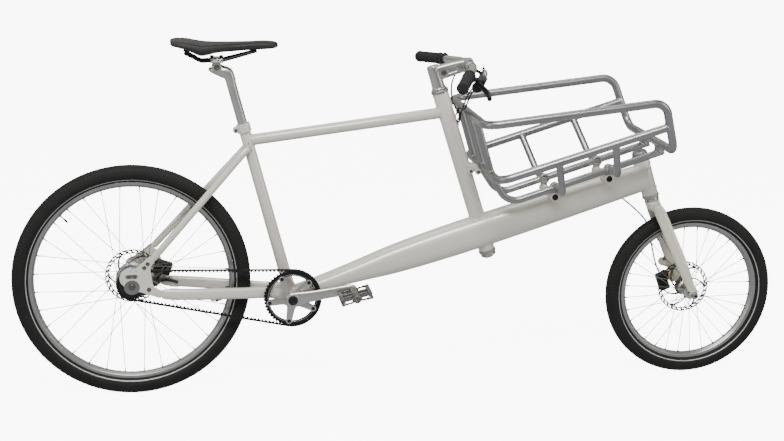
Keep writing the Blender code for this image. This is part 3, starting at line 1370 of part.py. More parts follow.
make_seat_tube()
make_bottom_bracket()
make_top_tube()
make_steering_tube()
make_head_tube()
make_headsets()
make_beam()
make_chainstays()
make_seatstays()
make_seat_clamp()
make_dropouts()
make_rear_axle()
make_rear_wheel()
make_front_wheel()
make_belt()
make_sprockets()
make_cranks()
make_fork()
make_calipers()
make_steering_arms()
make_drag_link()
make_handlebar()
make_bell()
make_seatpost()
make_saddle()
make_basket()
make_hoses()
make_rear_hose()
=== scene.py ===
import math
import random

import bmesh
import bpy
from mathutils import Matrix, Vector


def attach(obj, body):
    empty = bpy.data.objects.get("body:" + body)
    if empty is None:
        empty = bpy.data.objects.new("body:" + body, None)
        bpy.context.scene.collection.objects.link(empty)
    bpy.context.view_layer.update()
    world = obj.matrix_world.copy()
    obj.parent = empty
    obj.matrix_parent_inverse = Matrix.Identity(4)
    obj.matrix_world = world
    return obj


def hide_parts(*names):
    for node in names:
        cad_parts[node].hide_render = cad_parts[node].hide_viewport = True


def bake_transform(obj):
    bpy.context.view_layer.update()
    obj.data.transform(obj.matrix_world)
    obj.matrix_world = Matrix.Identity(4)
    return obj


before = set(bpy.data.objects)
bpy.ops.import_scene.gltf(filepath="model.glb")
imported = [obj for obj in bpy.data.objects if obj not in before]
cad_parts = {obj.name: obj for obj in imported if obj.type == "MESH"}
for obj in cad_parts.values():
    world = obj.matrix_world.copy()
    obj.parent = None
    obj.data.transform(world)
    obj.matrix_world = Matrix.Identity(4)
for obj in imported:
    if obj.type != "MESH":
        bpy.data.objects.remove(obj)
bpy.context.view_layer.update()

# Dimensions shared with the CAD source, in metres, lengths from the rear axle
CENTRE_X = 0.77075
GAP = 0.0003
REAR_TYRE_R = 0.329
REAR_TYRE_W = 0.049
REAR_RIM_R = 0.2855
FRONT_TYRE_R = 0.2505
FRONT_TYRE_W = 0.047
FRONT_RIM_R = 0.209
RIM_WIDTH = 0.025
RIM_DEPTH = 0.0175
RIM_FLOOR = 0.012
RIM_LIP = 0.0022
SPOKES = 32
SPOKE_R = 0.00105
SPOKE_CROSS_DEG = 50.0
SPOKE_STAGGER = 0.0023
VALVE_ANGLE_DEG = 135.0
REAR_HUB_R = 0.046
REAR_FLANGE_Y = 0.026
FRONT_HUB_R = 0.021
FRONT_FLANGE_Y = 0.027
ROTOR_R = 0.077
ROTOR_BORE_R = 0.020
ROTOR_THICK = 0.002
ROTOR_SLOTS = 28
REAR_ROTOR_Y = 0.050
FRONT_ROTOR_Y = 0.039
AXLE_R = 0.005
BB_X = 0.4425
BB_Z = 0.278
BB_SHELL_R = 0.022
BB_SHELL_HALF = 0.034
SPINDLE_R = 0.012
SEAT_TUBE_TOP = 0.503
SEAT_TUBE_R_LOW = 0.0172
SEAT_TUBE_R_TOP = 0.0158
SEATPOST_R = 0.0136
STEERING_TUBE_LEN = 0.479
HEAD_TUBE_LEN = 0.114
HEAD_TUBE_R = 0.023
HEADSET_R = 0.0250
HEADSET_HEIGHT = 0.009
TOP_TUBE_R = 0.0158
DROPOUT_INNER_Y = 0.0675
DROPOUT_THICK = 0.006
SEATSTAY_R = 0.0100
RING_TEETH = 48
SPROCKET_TEETH = 24
BELT_PITCH_NOMINAL = 0.0105
BELT_TOOTH = 0.0036
BELT_BACK = 0.0027
BELT_WIDTH = 0.012
BELT_Y = -0.048
TOOTH_BASE = 0.0064
TOOTH_TIP = 0.0046
BOLT_CIRCLE_R = 0.065
CRANK_LEN = 0.170
CRANK_ANGLE_DEG = 9.0
CRANK_OUTER_Y = 0.085
CRANK_THICK = 0.013
CRANK_BOSS_R = 0.0205
CRANK_END_R = 0.0130
PEDAL_LEN = 0.098
PEDAL_WIDTH = 0.088
PEDAL_THICK = 0.020
PEDAL_TILT_DEG = 14.0
CROWN_DROP = 0.030
BLADE_Y = 0.0555
BLADE_TOP_Y = 0.036
BLADE_HALF = 0.0172
BLADE_TIP_HALF = 0.0125
BLADE_THICK = 0.0095
STEERER_R = 0.0143
STEM_REACH = 0.0957
STEM_RISE = 0.530
STEM_TOP = 0.558
STEM_HALF = 0.0155
CLAMP_R = 0.0180
BAR_R = 0.0111
BAR_STRAIGHT = 0.085
BAR_HALF = 0.325
BAR_BACK = 0.078
BAR_DROP = 0.0180
GRIP_LEN = 0.132
GRIP_R = 0.0165
LEVER_FROM_END = 0.150
ARM_LEN = 0.066
ARM_THICK = 0.008
LINK_RISE = 0.016
LINK_R = 0.0055
RAIL_R = 0.0117
FLOOR_RAIL_R = 0.0104
HOOK_R = 0.0102
BAR_POST_R = 0.0100
BASKET_REAR = (0.943, 0.245, 0.793)
BASKET_FRONT = (1.437, 0.245, 0.852)
BASKET_NOSE = (1.482, 0.205, 0.709)
LOWER_REAR = (0.990, 0.216, 0.635)
FLOOR_HALF = 0.066
FLOOR_REAR_X = 1.052
FLOOR_REAR_Z = 0.5405
FLOOR_SLOPE = 0.3185
FLOOR_NOSE = 0.018
HOOK_STATIONS = (1.154, 1.310)
HOOK_RUN = 0.034
HOOK_HALF = 0.143
POST_SPACING = 0.117
BOSS_STATIONS = (1.187, 1.343)
BOSS_R = 0.0125
BEND_R = 0.042
HOSE_R = 0.0025
CRADLE_R = 0.0135
SADDLE_RAIL_Z = 0.9455

Y = Vector((0, 1, 0))
Z = Vector((0, 0, 1))
SEAT_DIR = Vector((-math.cos(math.radians(75.0)), 0, math.sin(math.radians(75.0))))
HEAD_DIR = Vector((-math.cos(math.radians(72.3)), 0, math.sin(math.radians(72.3))))
HEAD_FWD = Vector((HEAD_DIR.z, 0, -HEAD_DIR.x))
HEAD_FRAME = Matrix((HEAD_FWD, Y, HEAD_DIR)).transposed()


def at(x, y, z):
    return Vector((x - CENTRE_X, y, z))


REAR_AXLE = at(0, 0, REAR_TYRE_R)
FRONT_AXLE = at(1.620, 0, FRONT_TYRE_R)
BB = at(BB_X, 0, BB_Z)
STEERING_FOOT = at(1.0085, 0, 0.392)
HEAD_FOOT = at(1.4899, 0, 0.5435)
TILT_AXIS = at(0.2425, 0, 0.9255)


def on_seat_tube(distance):
    return BB + SEAT_DIR * distance


def on_steering(distance, forward=0.0, y=0.0):
    return STEERING_FOOT + HEAD_DIR * distance + HEAD_FWD * forward + Y * y


def on_head(distance, forward=0.0, y=0.0):
    return HEAD_FOOT + HEAD_DIR * distance + HEAD_FWD * forward + Y * y


# Procedural materials
def tree_of(name):
    made = bpy.data.materials.new(name)
    made.use_nodes = True
    return made, made.node_tree, made.node_tree.nodes["Principled BSDF"]


def add(tree, kind, **values):
    """A node with its properties and the default values of its inputs."""
    node = tree.nodes.new(kind)
    for key, value in values.items():
        if key in node.inputs:
            node.inputs[key].default_value = value
        else:
            setattr(node, key, value)
    return node


def place_of(tree, scale=(1, 1, 1), offset=(0, 0, 0)):
    """Object coordinates, moved and stretched."""
    where = add(tree, "ShaderNodeTexCoord")
    mapping = add(tree, "ShaderNodeMapping")
    mapping.inputs["Scale"].default_value = scale
    mapping.inputs["Location"].default_value = offset
    tree.links.new(where.outputs["Object"], mapping.inputs["Vector"])
    return mapping.outputs["Vector"]


def noise(tree, where, scale, detail=3.0, rough=0.5):
    made = add(tree, "ShaderNodeTexNoise", Scale=scale, Detail=detail, Roughness=rough)
    tree.links.new(where, made.inputs["Vector"])
    return made.outputs["Fac"]


def ramp(tree, source, stops):
    made = add(tree, "ShaderNodeValToRGB")
    ends = made.color_ramp.elements
    while len(ends) < len(stops):
        ends.new(0.5)
    for element, (position, colour) in zip(ends, stops):
        element.position = position
        element.color = (*colour, 1) if len(colour) == 3 else colour
    tree.links.new(source, made.inputs["Fac"])
    return made.outputs["Color"]


def spread(tree, source, low, high, start=0.3, end=0.7):
    """A value between low and high as the source goes from start to end."""
    made = add(tree, "ShaderNodeMapRange")
    for key, value in (("From Min", start), ("From Max", end), ("To Min", low), ("To Max", high)):
        made.inputs[key].default_value = value
    tree.links.new(source, made.inputs["Value"])
    return made.outputs["Result"]


def math_node(tree, operation, first, second=None):
    made = add(tree, "ShaderNodeMath", operation=operation)
    for slot, value in zip(made.inputs, (first, second)):
        if isinstance(value, (int, float)):
            slot.default_value = value
        elif value is not None:
            tree.links.new(value, slot)
    return made.outputs[0]


def mix(tree, factor, first, second):
    made = add(tree, "ShaderNodeMix", data_type="RGBA")
    for slot, value in ((made.inputs["Factor"], factor), (made.inputs[6], first), (made.inputs[7], second)):
        if isinstance(value, (int, float)):
            slot.default_value = value
        elif isinstance(value, tuple):
            slot.default_value = (*value, 1)
        else:
            tree.links.new(value, slot)
    return made.outputs[2]


def bump(tree, height, distance, strength=1.0, under=None):
    made = add(tree, "ShaderNodeBump", Strength=strength, Distance=distance)
    tree.links.new(height, made.inputs["Height"])
    if under:
        tree.links.new(under, made.inputs["Normal"])
    return made.outputs["Normal"]


def surface(name, light, dark, rough, metallic=0.0, blotch=9.0, grain=900.0, grain_height=0.00002,
            coat=0.0, coat_rough=0.08, sheen=0.0, specular=0.5, wear=None):
    """Two tones that drift over the piece, a fine grain in the relief, and roughness that follows it."""
    made, tree, shader = tree_of(name)
    where = place_of(tree)
    drift = noise(tree, where, blotch, 4.0, 0.55)
    fine = noise(tree, where, grain, 2.0, 0.6)
    tone = ramp(tree, drift, [(0.32, dark), (0.68, light)])
    if wear:
        rub = noise(tree, where, wear[0], 6.0, 0.7)
        tone = mix(tree, spread(tree, rub, 0.0, 1.0, wear[1], wear[1] + 0.08), tone, wear[2])
    tree.links.new(tone, shader.inputs["Base Color"])
    tree.links.new(spread(tree, math_node(tree, "ADD", math_node(tree, "MULTIPLY", drift, 0.5),
                                          math_node(tree, "MULTIPLY", fine, 0.5)), rough[0], rough[1]),
                   shader.inputs["Roughness"])
    tree.links.new(bump(tree, fine, grain_height), shader.inputs["Normal"])
    shader.inputs["Metallic"].default_value = metallic
    shader.inputs["Coat Weight"].default_value = coat
    shader.inputs["Coat Roughness"].default_value = coat_rough
    shader.inputs["Sheen Weight"].default_value = sheen
    shader.inputs["Specular IOR Level"].default_value = specular
    return made


def paint(name, light, dark, flake):
    """Pearl paint: flakes of another tint under a clear coat with a faint orange peel."""
    made, tree, shader = tree_of(name)
    where = place_of(tree)
    drift = noise(tree, where, 3.5, 3.0, 0.5)
    cells = add(tree, "ShaderNodeTexVoronoi", Scale=2600.0)
    tree.links.new(where, cells.inputs["Vector"])
    tone = ramp(tree, drift, [(0.3, dark), (0.7, light)])
    tone = mix(tree, spread(tree, cells.outputs["Color"], 0.0, 0.30, 0.62, 0.95), tone, flake)
    tree.links.new(tone, shader.inputs["Base Color"])
    peel = noise(tree, where, 260.0, 2.0, 0.5)
    tree.links.new(spread(tree, drift, 0.30, 0.38), shader.inputs["Roughness"])
    tree.links.new(bump(tree, peel, 0.00005), shader.inputs["Normal"])
    shader.inputs["Metallic"].default_value = 0.12
    shader.inputs["Coat Weight"].default_value = 0.85
    shader.inputs["Coat Roughness"].default_value = 0.07
    return made


def machined(name, centre, light, dark, rough, pitch, depth, metallic=1.0, tint=None):
    """Turned metal: fine rings round a wheel's axle in the relief, with colour that drifts over the piece."""
    made, tree, shader = tree_of(name)
    where = place_of(tree, offset=(-centre.x, 0, -centre.z))
    flat = add(tree, "ShaderNodeVectorMath", operation="MULTIPLY")
    flat.inputs[1].default_value = (1, 0, 1)
    tree.links.new(where, flat.inputs[0])
    length = add(tree, "ShaderNodeVectorMath", operation="LENGTH")
    tree.links.new(flat.outputs[0], length.inputs[0])
    radius = length.outputs["Value"]
    rings = math_node(tree, "SINE", math_node(tree, "MULTIPLY", radius, 2 * math.pi / pitch))
    drift = noise(tree, where, 14.0, 4.0, 0.6)
    fine = noise(tree, where, 1400.0, 2.0, 0.6)
    tone = ramp(tree, drift, [(0.30, dark), (0.70, light)])
    if tint:
        tone = mix(tree, spread(tree, noise(tree, where, 40.0, 3.0, 0.5), 0.0, 0.6, 0.45, 0.70), tone, tint)
    tree.links.new(tone, shader.inputs["Base Color"])
    tree.links.new(spread(tree, fine, rough[0], rough[1]), shader.inputs["Roughness"])
    relief = math_node(tree, "ADD", rings, math_node(tree, "MULTIPLY", fine, 0.8))
    tree.links.new(bump(tree, relief, depth), shader.inputs["Normal"])
    shader.inputs["Metallic"].default_value = metallic
    return made


def leather(name):
    """Moulded saddle cover: pebbled cells with creases in the relief, and painted shade that darkens the colour between
    the cells and lightens their tops.
    """
    made, tree, shader = tree_of(name)
    where = place_of(tree)
    cells = add(tree, "ShaderNodeTexVoronoi", Scale=620.0, feature="DISTANCE_TO_EDGE")
    tree.links.new(where, cells.inputs["Vector"])
    pebble_relief_and_shade = spread(tree, cells.outputs["Distance"], 0.0, 1.0, 0.0, 0.12)
    drift = noise(tree, where, 18.0, 5.0, 0.6)
    crease = noise(tree, where, 120.0, 4.0, 0.7)
    tone = ramp(tree, drift, [(0.30, (0.0060, 0.0054, 0.0048)), (0.72, (0.0150, 0.0132, 0.0112))])
    # painted shade: the pebble mask that shapes the relief also makes the colour darker between the cells and lighter
    # on their tops
    tone = mix(tree, math_node(tree, "MULTIPLY", pebble_relief_and_shade, 0.35), tone, (0.0240, 0.0210, 0.0180))
    tree.links.new(tone, shader.inputs["Base Color"])
    tree.links.new(spread(tree, drift, 0.38, 0.55), shader.inputs["Roughness"])
    lower = bump(tree, crease, 0.00022)
    tree.links.new(bump(tree, pebble_relief_and_shade, 0.00010, 0.8, lower), shader.inputs["Normal"])
    shader.inputs["Sheen Weight"].default_value = 0.02
    shader.inputs["Specular IOR Level"].default_value = 0.38
    return made


pearl = paint("pearl_paint", (0.730, 0.695, 0.615), (0.670, 0.635, 0.560), (0.86, 0.84, 0.77))
cream = paint("cream_paint", (0.740, 0.725, 0.590), (0.700, 0.680, 0.545), (0.84, 0.83, 0.71))
satin = surface("satin_aluminium", (0.37, 0.372, 0.37), (0.31, 0.312, 0.312), (0.27, 0.36), 1.0, 7.0, 1500.0, 0.00001)
bead = surface("weld_bead", (0.52, 0.52, 0.51), (0.36, 0.36, 0.355), (0.24, 0.38), 1.0, 160.0, 1200.0, 0.00002)
silver = surface("polished_alloy", (0.62, 0.61, 0.58), (0.53, 0.52, 0.49), (0.24, 0.36), 1.0, 16.0, 1100.0, 0.00001)
cast_alloy = surface("cast_alloy", (0.46, 0.455, 0.43), (0.36, 0.355, 0.335), (0.32, 0.46), 1.0, 24.0, 800.0, 0.00003)
hub_grey = surface("hub_grey", (0.34, 0.345, 0.345), (0.26, 0.265, 0.27), (0.30, 0.44), 1.0, 20.0, 900.0, 0.00002)
pedal_grey = surface("pedal_grey", (0.190, 0.185, 0.170), (0.120, 0.116, 0.106), (0.36, 0.54), 0.80, 40.0, 700.0, 0.00005,
                     wear=(90.0, 0.60, (0.34, 0.335, 0.31)))
steel = surface("stainless_wire", (0.30, 0.285, 0.255), (0.21, 0.20, 0.18), (0.24, 0.36), 1.0, 30.0, 900.0, 0.00001)
dark_steel = surface("dark_steel", (0.050, 0.047, 0.043), (0.026, 0.025, 0.023), (0.30, 0.44), 0.9, 60.0, 900.0, 0.00002)
bolt_steel = surface("bolt_steel", (0.22, 0.21, 0.19), (0.12, 0.115, 0.10), (0.26, 0.42), 1.0, 120.0, 900.0, 0.00002)
black = surface("black_plastic", (0.0105, 0.0105, 0.0108), (0.0050, 0.0050, 0.0054), (0.38, 0.54), 0.0, 30.0, 700.0, 0.00005,
                specular=0.35)
anodised = surface("black_anodised", (0.0150, 0.0148, 0.0145), (0.0070, 0.0070, 0.0070), (0.32, 0.46), 0.45, 40.0, 1000.0,
                   0.00002, specular=0.35, wear=(140.0, 0.64, (0.045, 0.044, 0.042)))
tread = surface("tyre_rubber", (0.0120, 0.0118, 0.0110), (0.0060, 0.0060, 0.0056), (0.58, 0.80), 0.0, 22.0, 500.0, 0.00010,
                specular=0.28)
belt_rubber = surface("belt_rubber", (0.0110, 0.0100, 0.0090), (0.0050, 0.0046, 0.0044), (0.50, 0.70), 0.0, 60.0, 800.0, 0.00006,
                      specular=0.30)
grip_rubber = surface("grip_rubber", (0.0190, 0.0188, 0.0180), (0.0090, 0.0090, 0.0088), (0.58, 0.80), 0.0, 40.0, 420.0, 0.00012,
                      specular=0.30)
reflective = surface("reflective_band", (0.46, 0.46, 0.44), (0.38, 0.38, 0.365), (0.38, 0.52), 0.2, 30.0, 1800.0, 0.00004)
hose_black = surface("hose_sleeve", (0.0090, 0.0090, 0.0092), (0.0045, 0.0045, 0.0048), (0.32, 0.44), 0.0, 50.0, 1600.0, 0.00004)
orange = surface("orange_plastic", (0.62, 0.26, 0.04), (0.50, 0.19, 0.03), (0.38, 0.52), 0.0, 60.0, 900.0, 0.00004)
saddle_cover = leather("saddle_cover")
rear_rim_metal = machined("rear_rim_alloy", REAR_AXLE, (0.43, 0.435, 0.42), (0.36, 0.365, 0.35), (0.28, 0.40), 0.0009, 0.000012)
front_rim_metal = machined("front_rim_alloy", FRONT_AXLE, (0.43, 0.435, 0.42), (0.36, 0.365, 0.35), (0.28, 0.40), 0.0009,
                           0.000012)
rear_disc = machined("rear_disc_steel", REAR_AXLE, (0.165, 0.150, 0.130), (0.095, 0.086, 0.074), (0.26, 0.40), 0.0007, 0.00002,
                     tint=(0.085, 0.070, 0.052))
front_disc = machined("front_disc_steel", FRONT_AXLE, (0.165, 0.150, 0.130), (0.095, 0.086, 0.074), (0.26, 0.40), 0.0007,
                      0.00002, tint=(0.085, 0.070, 0.052))
floor_matte = surface("studio_floor", (0.90, 0.90, 0.895), (0.87, 0.87, 0.865), (0.80, 0.92), 0.0, 0.8, 60.0, 0.0002)
floor_glow = floor_matte.node_tree.nodes["Principled BSDF"]
floor_glow.inputs["Emission Color"].default_value = (1, 1, 1, 1)
floor_glow.inputs["Emission Strength"].default_value = 8.5


# Mesh helpers
def new_object(name, mesh):
    made = bpy.data.objects.new(name, mesh)
    bpy.context.scene.collection.objects.link(made)
    return made


def from_bm(name, bm, weld=0.0):
    if weld:
        bmesh.ops.remove_doubles(bm, verts=bm.verts, dist=weld)
    bmesh.ops.recalc_face_normals(bm, faces=bm.faces)
    mesh = bpy.data.meshes.new(name)
    bm.to_mesh(mesh)
    bm.free()
    return new_object(name, mesh)


def baked(thing):
    """The object with its modifiers applied."""
    bpy.context.view_layer.update()
    graph = bpy.context.evaluated_depsgraph_get()
    mesh = bpy.data.meshes.new_from_object(thing.evaluated_get(graph))
    mesh.transform(thing.matrix_world)
    name = thing.name
    bpy.data.objects.remove(thing, do_unlink=True)
    return new_object(name, mesh)


def basis(axis):
    axis = axis.normalized()
    side = axis.cross(Z)
    if side.length < 0.001:
        side = Vector((1, 0, 0)).cross(axis).cross(axis)
    side.normalize()
    return side, side.cross(axis).normalized()


def frames_along(path, cyclic):
    """Two unit vectors across the path at each point, carried along without twist."""
    count = len(path)
    tangents = []
    for i in range(count):
        before = path[i - 1] if cyclic or i else path[i]
        after = path[(i + 1) % count] if cyclic or i < count - 1 else path[i]
        tangents.append((after - before).normalized())
    side = basis(tangents[0])[0]
    made = []
    for tangent in tangents:
        side = (side - tangent * side.dot(tangent)).normalized()
        made.append((side.copy(), tangent.cross(side)))
    if cyclic:
        last = (side - tangents[0] * side.dot(tangents[0])).normalized()
        slip = math.atan2(last.dot(made[0][1]), last.dot(made[0][0]))
        for i, (a, b) in enumerate(made):
            turn = -slip * i / count
            made[i] = (a * math.cos(turn) + b * math.sin(turn), b * math.cos(turn) - a * math.sin(turn))
    return made


def skin(name, rings, cyclic=False, caps=True):
    """Quads between closed rings of points."""
    bm = bmesh.new()
    made = [[bm.verts.new(p) for p in ring] for ring in rings]
    pairs = list(zip(made, made[1:])) + ([(made[-1], made[0])] if cyclic else [])
    for lower, upper in pairs:
        count = len(lower)
        for k in range(count):
            following = (k + 1) % count
            bm.faces.new((lower[k], lower[following], upper[following], upper[k]))
    if caps and not cyclic:
        bm.faces.new(list(reversed(made[0])))
        bm.faces.new(made[-1])
    return from_bm(name, bm)


def sweep(name, path, radius, sides=24, cyclic=False, ease=0.0):
    """A round tube along a path, with its ends eased."""
    path = list(path)
    radii = list(radius) if hasattr(radius, "__len__") else [radius] * len(path)
    if ease and not cyclic:
        head = (path[1] - path[0]).normalized()
        tail = (path[-2] - path[-1]).normalized()
        path = ([path[0], path[0] + head * ease * 0.3, path[0] + head * ease] + path[1:-1]
                + [path[-1] + tail * ease, path[-1] + tail * ease * 0.3, path[-1]])
        radii = ([radii[0] - ease, radii[0] - ease * 0.3, radii[0]] + radii[1:-1]
                 + [radii[-1], radii[-1] - ease * 0.3, radii[-1] - ease])
    rings = []
    for point, size, (a, b) in zip(path, radii, frames_along(path, cyclic)):
        rings.append([point + (a * math.cos(2 * math.pi * k / sides) + b * math.sin(2 * math.pi * k / sides)) * size
                      for k in range(sides)])
    return skin(name, rings, cyclic)


def rod(name, start, end, radius, end_radius=None, sides=32, ease=0.0006):
    radii = [radius, radius if end_radius is None else end_radius]
    return sweep(name, [start, end], radii, sides, ease=min(ease, (end - start).length * 0.3))


def cross_rod(name, centre, y_from, y_to, radius, sides=32, ease=0.0006):
    return rod(name, Vector((centre.x, y_from, centre.z)), Vector((centre.x, y_to, centre.z)), radius, None, sides, ease)


def loft(name, stations, sides=40, square=2.0, steps=1, ease=0.0):
    """Superellipse sections; each station is centre, half-width vector, half-height vector."""
    if steps > 1:
        parts = [smooth([s[k] for s in stations], steps) for k in range(3)]
        stations = list(zip(*parts))
    stations = list(stations)
    if ease:
        for index, other in ((0, 1), (-1, -2)):
            centre, across, upward = stations[index]
            inner = (stations[other][0] - centre).normalized()
            size = min(across.length, upward.length)
            small = 1 - min(0.6, ease / size)
            near = (centre + inner * ease, across, upward)
            ring = (centre + inner * ease * 0.3, across * (1 - (1 - small) * 0.35), upward * (1 - (1 - small) * 0.35))
            edge = (centre, across * small, upward * small)
            if index == 0:
                stations[0:1] = [edge, ring, near]
            else:
                stations[-1:] = [near, ring, edge]
    rings = []
    for centre, across, upward in stations:
        ring = []
        for k in range(sides):
            angle = 2 * math.pi * (k + 0.5) / sides
            c, s = math.cos(angle), math.sin(angle)
            ring.append(centre + across * math.copysign(abs(c) ** (2 / square), c)
                        + upward * math.copysign(abs(s) ** (2 / square), s))
        rings.append(ring)
    return skin(name, rings)


def ease_corners(points, radius, closed):
    """Rounds each corner of a flat outline by a small arc."""
    made = []
    count = len(points)
    for i, p in enumerate(points):
        if not closed and i in (0, count - 1):
            made.append(tuple(p))
            continue
        here = Vector(p[:2])
        before = Vector(points[i - 1][:2]) - here
        after = Vector(points[(i + 1) % count][:2]) - here
        back = min(radius, before.length * 0.4, after.length * 0.4)
        if back < 0.00003 or before.angle(after) > math.radians(170):
            made.append(tuple(p))
            continue
        a = here + before.normalized() * back
        b = here + after.normalized() * back
        extra = tuple(p[2:])
        for t in (0.0, 0.33, 0.67, 1.0):
            q = a * (1 - t) ** 2 + here * 2 * t * (1 - t) + b * t * t
            made.append((q.x, q.y) + extra)
    return made


def lathe(name, profile, foot, axis, steps=64, ease=0.0004, phase=0.0):
    """Turned body; profile is (radius, height[, sides]), where sides makes that ring a polygon."""
    open_axis = profile[0][0] == 0 and profile[-1][0] == 0
    if ease:
        profile = ease_corners(profile, ease, not open_axis)
    turn = Matrix.Translation(foot) @ axis.to_track_quat("Z", "Y").to_matrix().to_4x4()
    bm = bmesh.new()
    rings = []
    for point in profile:
        radius, height = point[:2]
        sides = point[2] if len(point) > 2 else 0
        if radius < 1e-7:
            rings.append([bm.verts.new(turn @ Vector((0, 0, height)))])
            continue
        ring = []
        for k in range(steps):
            angle = 2 * math.pi * k / steps
            r = radius
            if sides:
                wedge = math.pi / sides
                r = radius * math.cos(wedge) / math.cos((angle % (2 * wedge)) - wedge)
            ring.append(bm.verts.new(turn @ Vector((r * math.cos(angle + phase), r * math.sin(angle + phase), height))))
        rings.append(ring)
    pairs = list(zip(rings, rings[1:])) + ([] if open_axis else [(rings[-1], rings[0])])
    for a, b in pairs:
        if len(a) == 1 and len(b) == 1:
            continue
        for k in range(steps):
            following = (k + 1) % steps
            corners = []
            for ring, order in ((a, (k, following)), (b, (following, k))):
                corners += [ring[0]] if len(ring) == 1 else [ring[i] for i in order]
            bm.faces.new(corners)
    return from_bm(name, bm)


def plate(name, loops, thickness, place, edge=0.0006):
    """A flat outline with its holes, made thick, with eased edges."""
    curve = bpy.data.curves.new(name, "CURVE")
    curve.dimensions = "2D"
    curve.fill_mode = "BOTH"
    curve.extrude = thickness / 2
    for loop in loops:
        line = curve.splines.new("POLY")
        line.points.add(len(loop) - 1)
        for slot, (x, y) in zip(line.points, loop):
            slot.co = (x, y, 0, 1)
        line.use_cyclic_u = True
    made = new_object(name, curve)
    made.matrix_world = place
    made = baked(made)
    bm = bmesh.new()
    bm.from_mesh(made.data)
    bpy.data.objects.remove(made, do_unlink=True)
    made = from_bm(name, bm, 0.00001)
    if edge:
        soften(made, edge)
        made = baked(made)
    return made


def soften(thing, width, segments=2, angle=40):
    step = thing.modifiers.new("edge", "BEVEL")
    step.width = width
    step.segments = segments
    step.limit_method = "ANGLE"
    step.angle_limit = math.radians(angle)
    return thing


def block(name, centre, size, turn=None, edge=0.001, segments=3):
    bm = bmesh.new()
    bmesh.ops.create_cube(bm, size=1.0)
    bmesh.ops.scale(bm, vec=Vector(size), verts=bm.verts)
    if turn:
        bm.transform(turn.to_4x4())
    bmesh.ops.translate(bm, vec=centre, verts=bm.verts)
    return baked(soften(from_bm(name, bm), edge, segments))


def merge(name, *things):
    """Several meshes as one object; each keeps its own material."""
    bm = bmesh.new()
    materials = []
    for thing in things:
        shift = []
        for item in thing.data.materials:
            if item not in materials:
                materials.append(item)
            shift.append(materials.index(item))
        before = len(bm.faces)
        bm.from_mesh(thing.data)
        bm.faces.ensure_lookup_table()
        if shift:
            for face in bm.faces[before:]:
                face.material_index = shift[min(face.material_index, len(shift) - 1)]
        bpy.data.objects.remove(thing, do_unlink=True)
    mesh = bpy.data.meshes.new(name)
    bm.to_mesh(mesh)
    bm.free()
    for item in materials:
        mesh.materials.append(item)
    return new_object(name, mesh)


def melt(name, things, voxel, rounds=4, keep=0.5):
    """Overlapping solids melted into one casting with soft inner corners."""
    body = merge(name, *things)
    step = body.modifiers.new("melt", "REMESH")
    step.mode = "VOXEL"
    step.voxel_size = voxel
    ease = body.modifiers.new("ease", "SMOOTH")
    ease.factor = 0.5
    ease.iterations = rounds
    if keep < 1:
        less = body.modifiers.new("less", "DECIMATE")
        less.ratio = keep
    return baked(body)


def carve(thing, *tools):
    for tool in tools:
        step = thing.modifiers.new("cut", "BOOLEAN")
        step.operation = "DIFFERENCE"
        step.solver = "EXACT"
        step.object = tool
        thing = baked(thing)
        bpy.data.objects.remove(tool, do_unlink=True)
    return thing


def coat(thing, *materials):
    thing.data.materials.clear()
    for item in materials:
        thing.data.materials.append(item)
    return thing


def put(thing, body, *nodes, angle=38):
    """Smooth shading, the body that the piece rides on, and the CAD nodes that it stands for."""
    thing.data.shade_smooth()
    thing.data.set_sharp_from_angle(angle=math.radians(angle))
    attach(thing, body)
    if nodes:
        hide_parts(*nodes)
    return thing


def smooth(points, steps):
    points = list(points)
    ends = [points[0] * 2 - points[1]] + points + [points[-1] * 2 - points[-2]]
    path = []
    for a, b, c, d in zip(ends, ends[1:], ends[2:], ends[3:]):
        for k in range(steps):
            t = k / steps
            path.append(0.5 * ((b * 2) + (c - a) * t + (a * 2 - b * 5 + c * 4 - d) * t * t
                               + (b * 3 - a - c * 3 + d) * t * t * t))
    path.append(points[-1])
    return path


def fillet(corners, radius, steps=12, cyclic=False):
    count = len(corners)
    path = []
    for i, corner in enumerate(corners):
        if not cyclic and i in (0, count - 1):
            path.append(corner)
            continue
        before = corners[i - 1] - corner
        after = corners[(i + 1) % count] - corner
        half = before.angle(after) / 2
        if half > math.radians(88):
            path.append(corner)
            continue
        back = min(radius / math.tan(half), before.length * 0.49, after.length * 0.49)
        bend = back * math.tan(half)
        before.normalize()
        after.normalize()
        middle = corner + (before + after).normalized() * bend / math.sin(half)
        start = corner + before * back - middle
        end = corner + after * back - middle
        turn = start.angle(end)
        for k in range(steps + 1):
            share = k / steps
            path.append(middle + (start * math.sin((1 - share) * turn) + end * math.sin(share * turn)) / math.sin(turn))
    return path


def side_plane(centre, y, turn=0.0):
    place = Matrix.Rotation(math.radians(90), 4, "X")
    return Matrix.Translation(Vector((centre.x, y, centre.z))) @ Matrix.Rotation(-turn, 4, "Y") @ place


def circle(radius, sides, x=0.0, y=0.0, phase=0.0):
    return [(x + radius * math.cos(phase + 2 * math.pi * k / sides),
             y + radius * math.sin(phase + 2 * math.pi * k / sides)) for k in range(sides)]


def hull(*rounds, steps=14):
    outline = []
    count = len(rounds)
    for i, (x, y, radius) in enumerate(rounds):
        last = rounds[i - 1]
        following = rounds[(i + 1) % count]
        angles = []
        for (x0, y0, r0), (x1, y1, r1) in ((last, (x, y, radius)), ((x, y, radius), following)):
            gap = math.hypot(x1 - x0, y1 - y0)
            lean = math.asin(max(-1, min(1, (r0 - r1) / gap)))
            angles.append(math.atan2(y1 - y0, x1 - x0) - math.pi / 2 + lean)
        start, end = angles
        while end < start:
            end += 2 * math.pi
        for k in range(steps + 1):
            angle = start + (end - start) * k / steps
            outline.append((x + radius * math.cos(angle), y + radius * math.sin(angle)))
    return outline


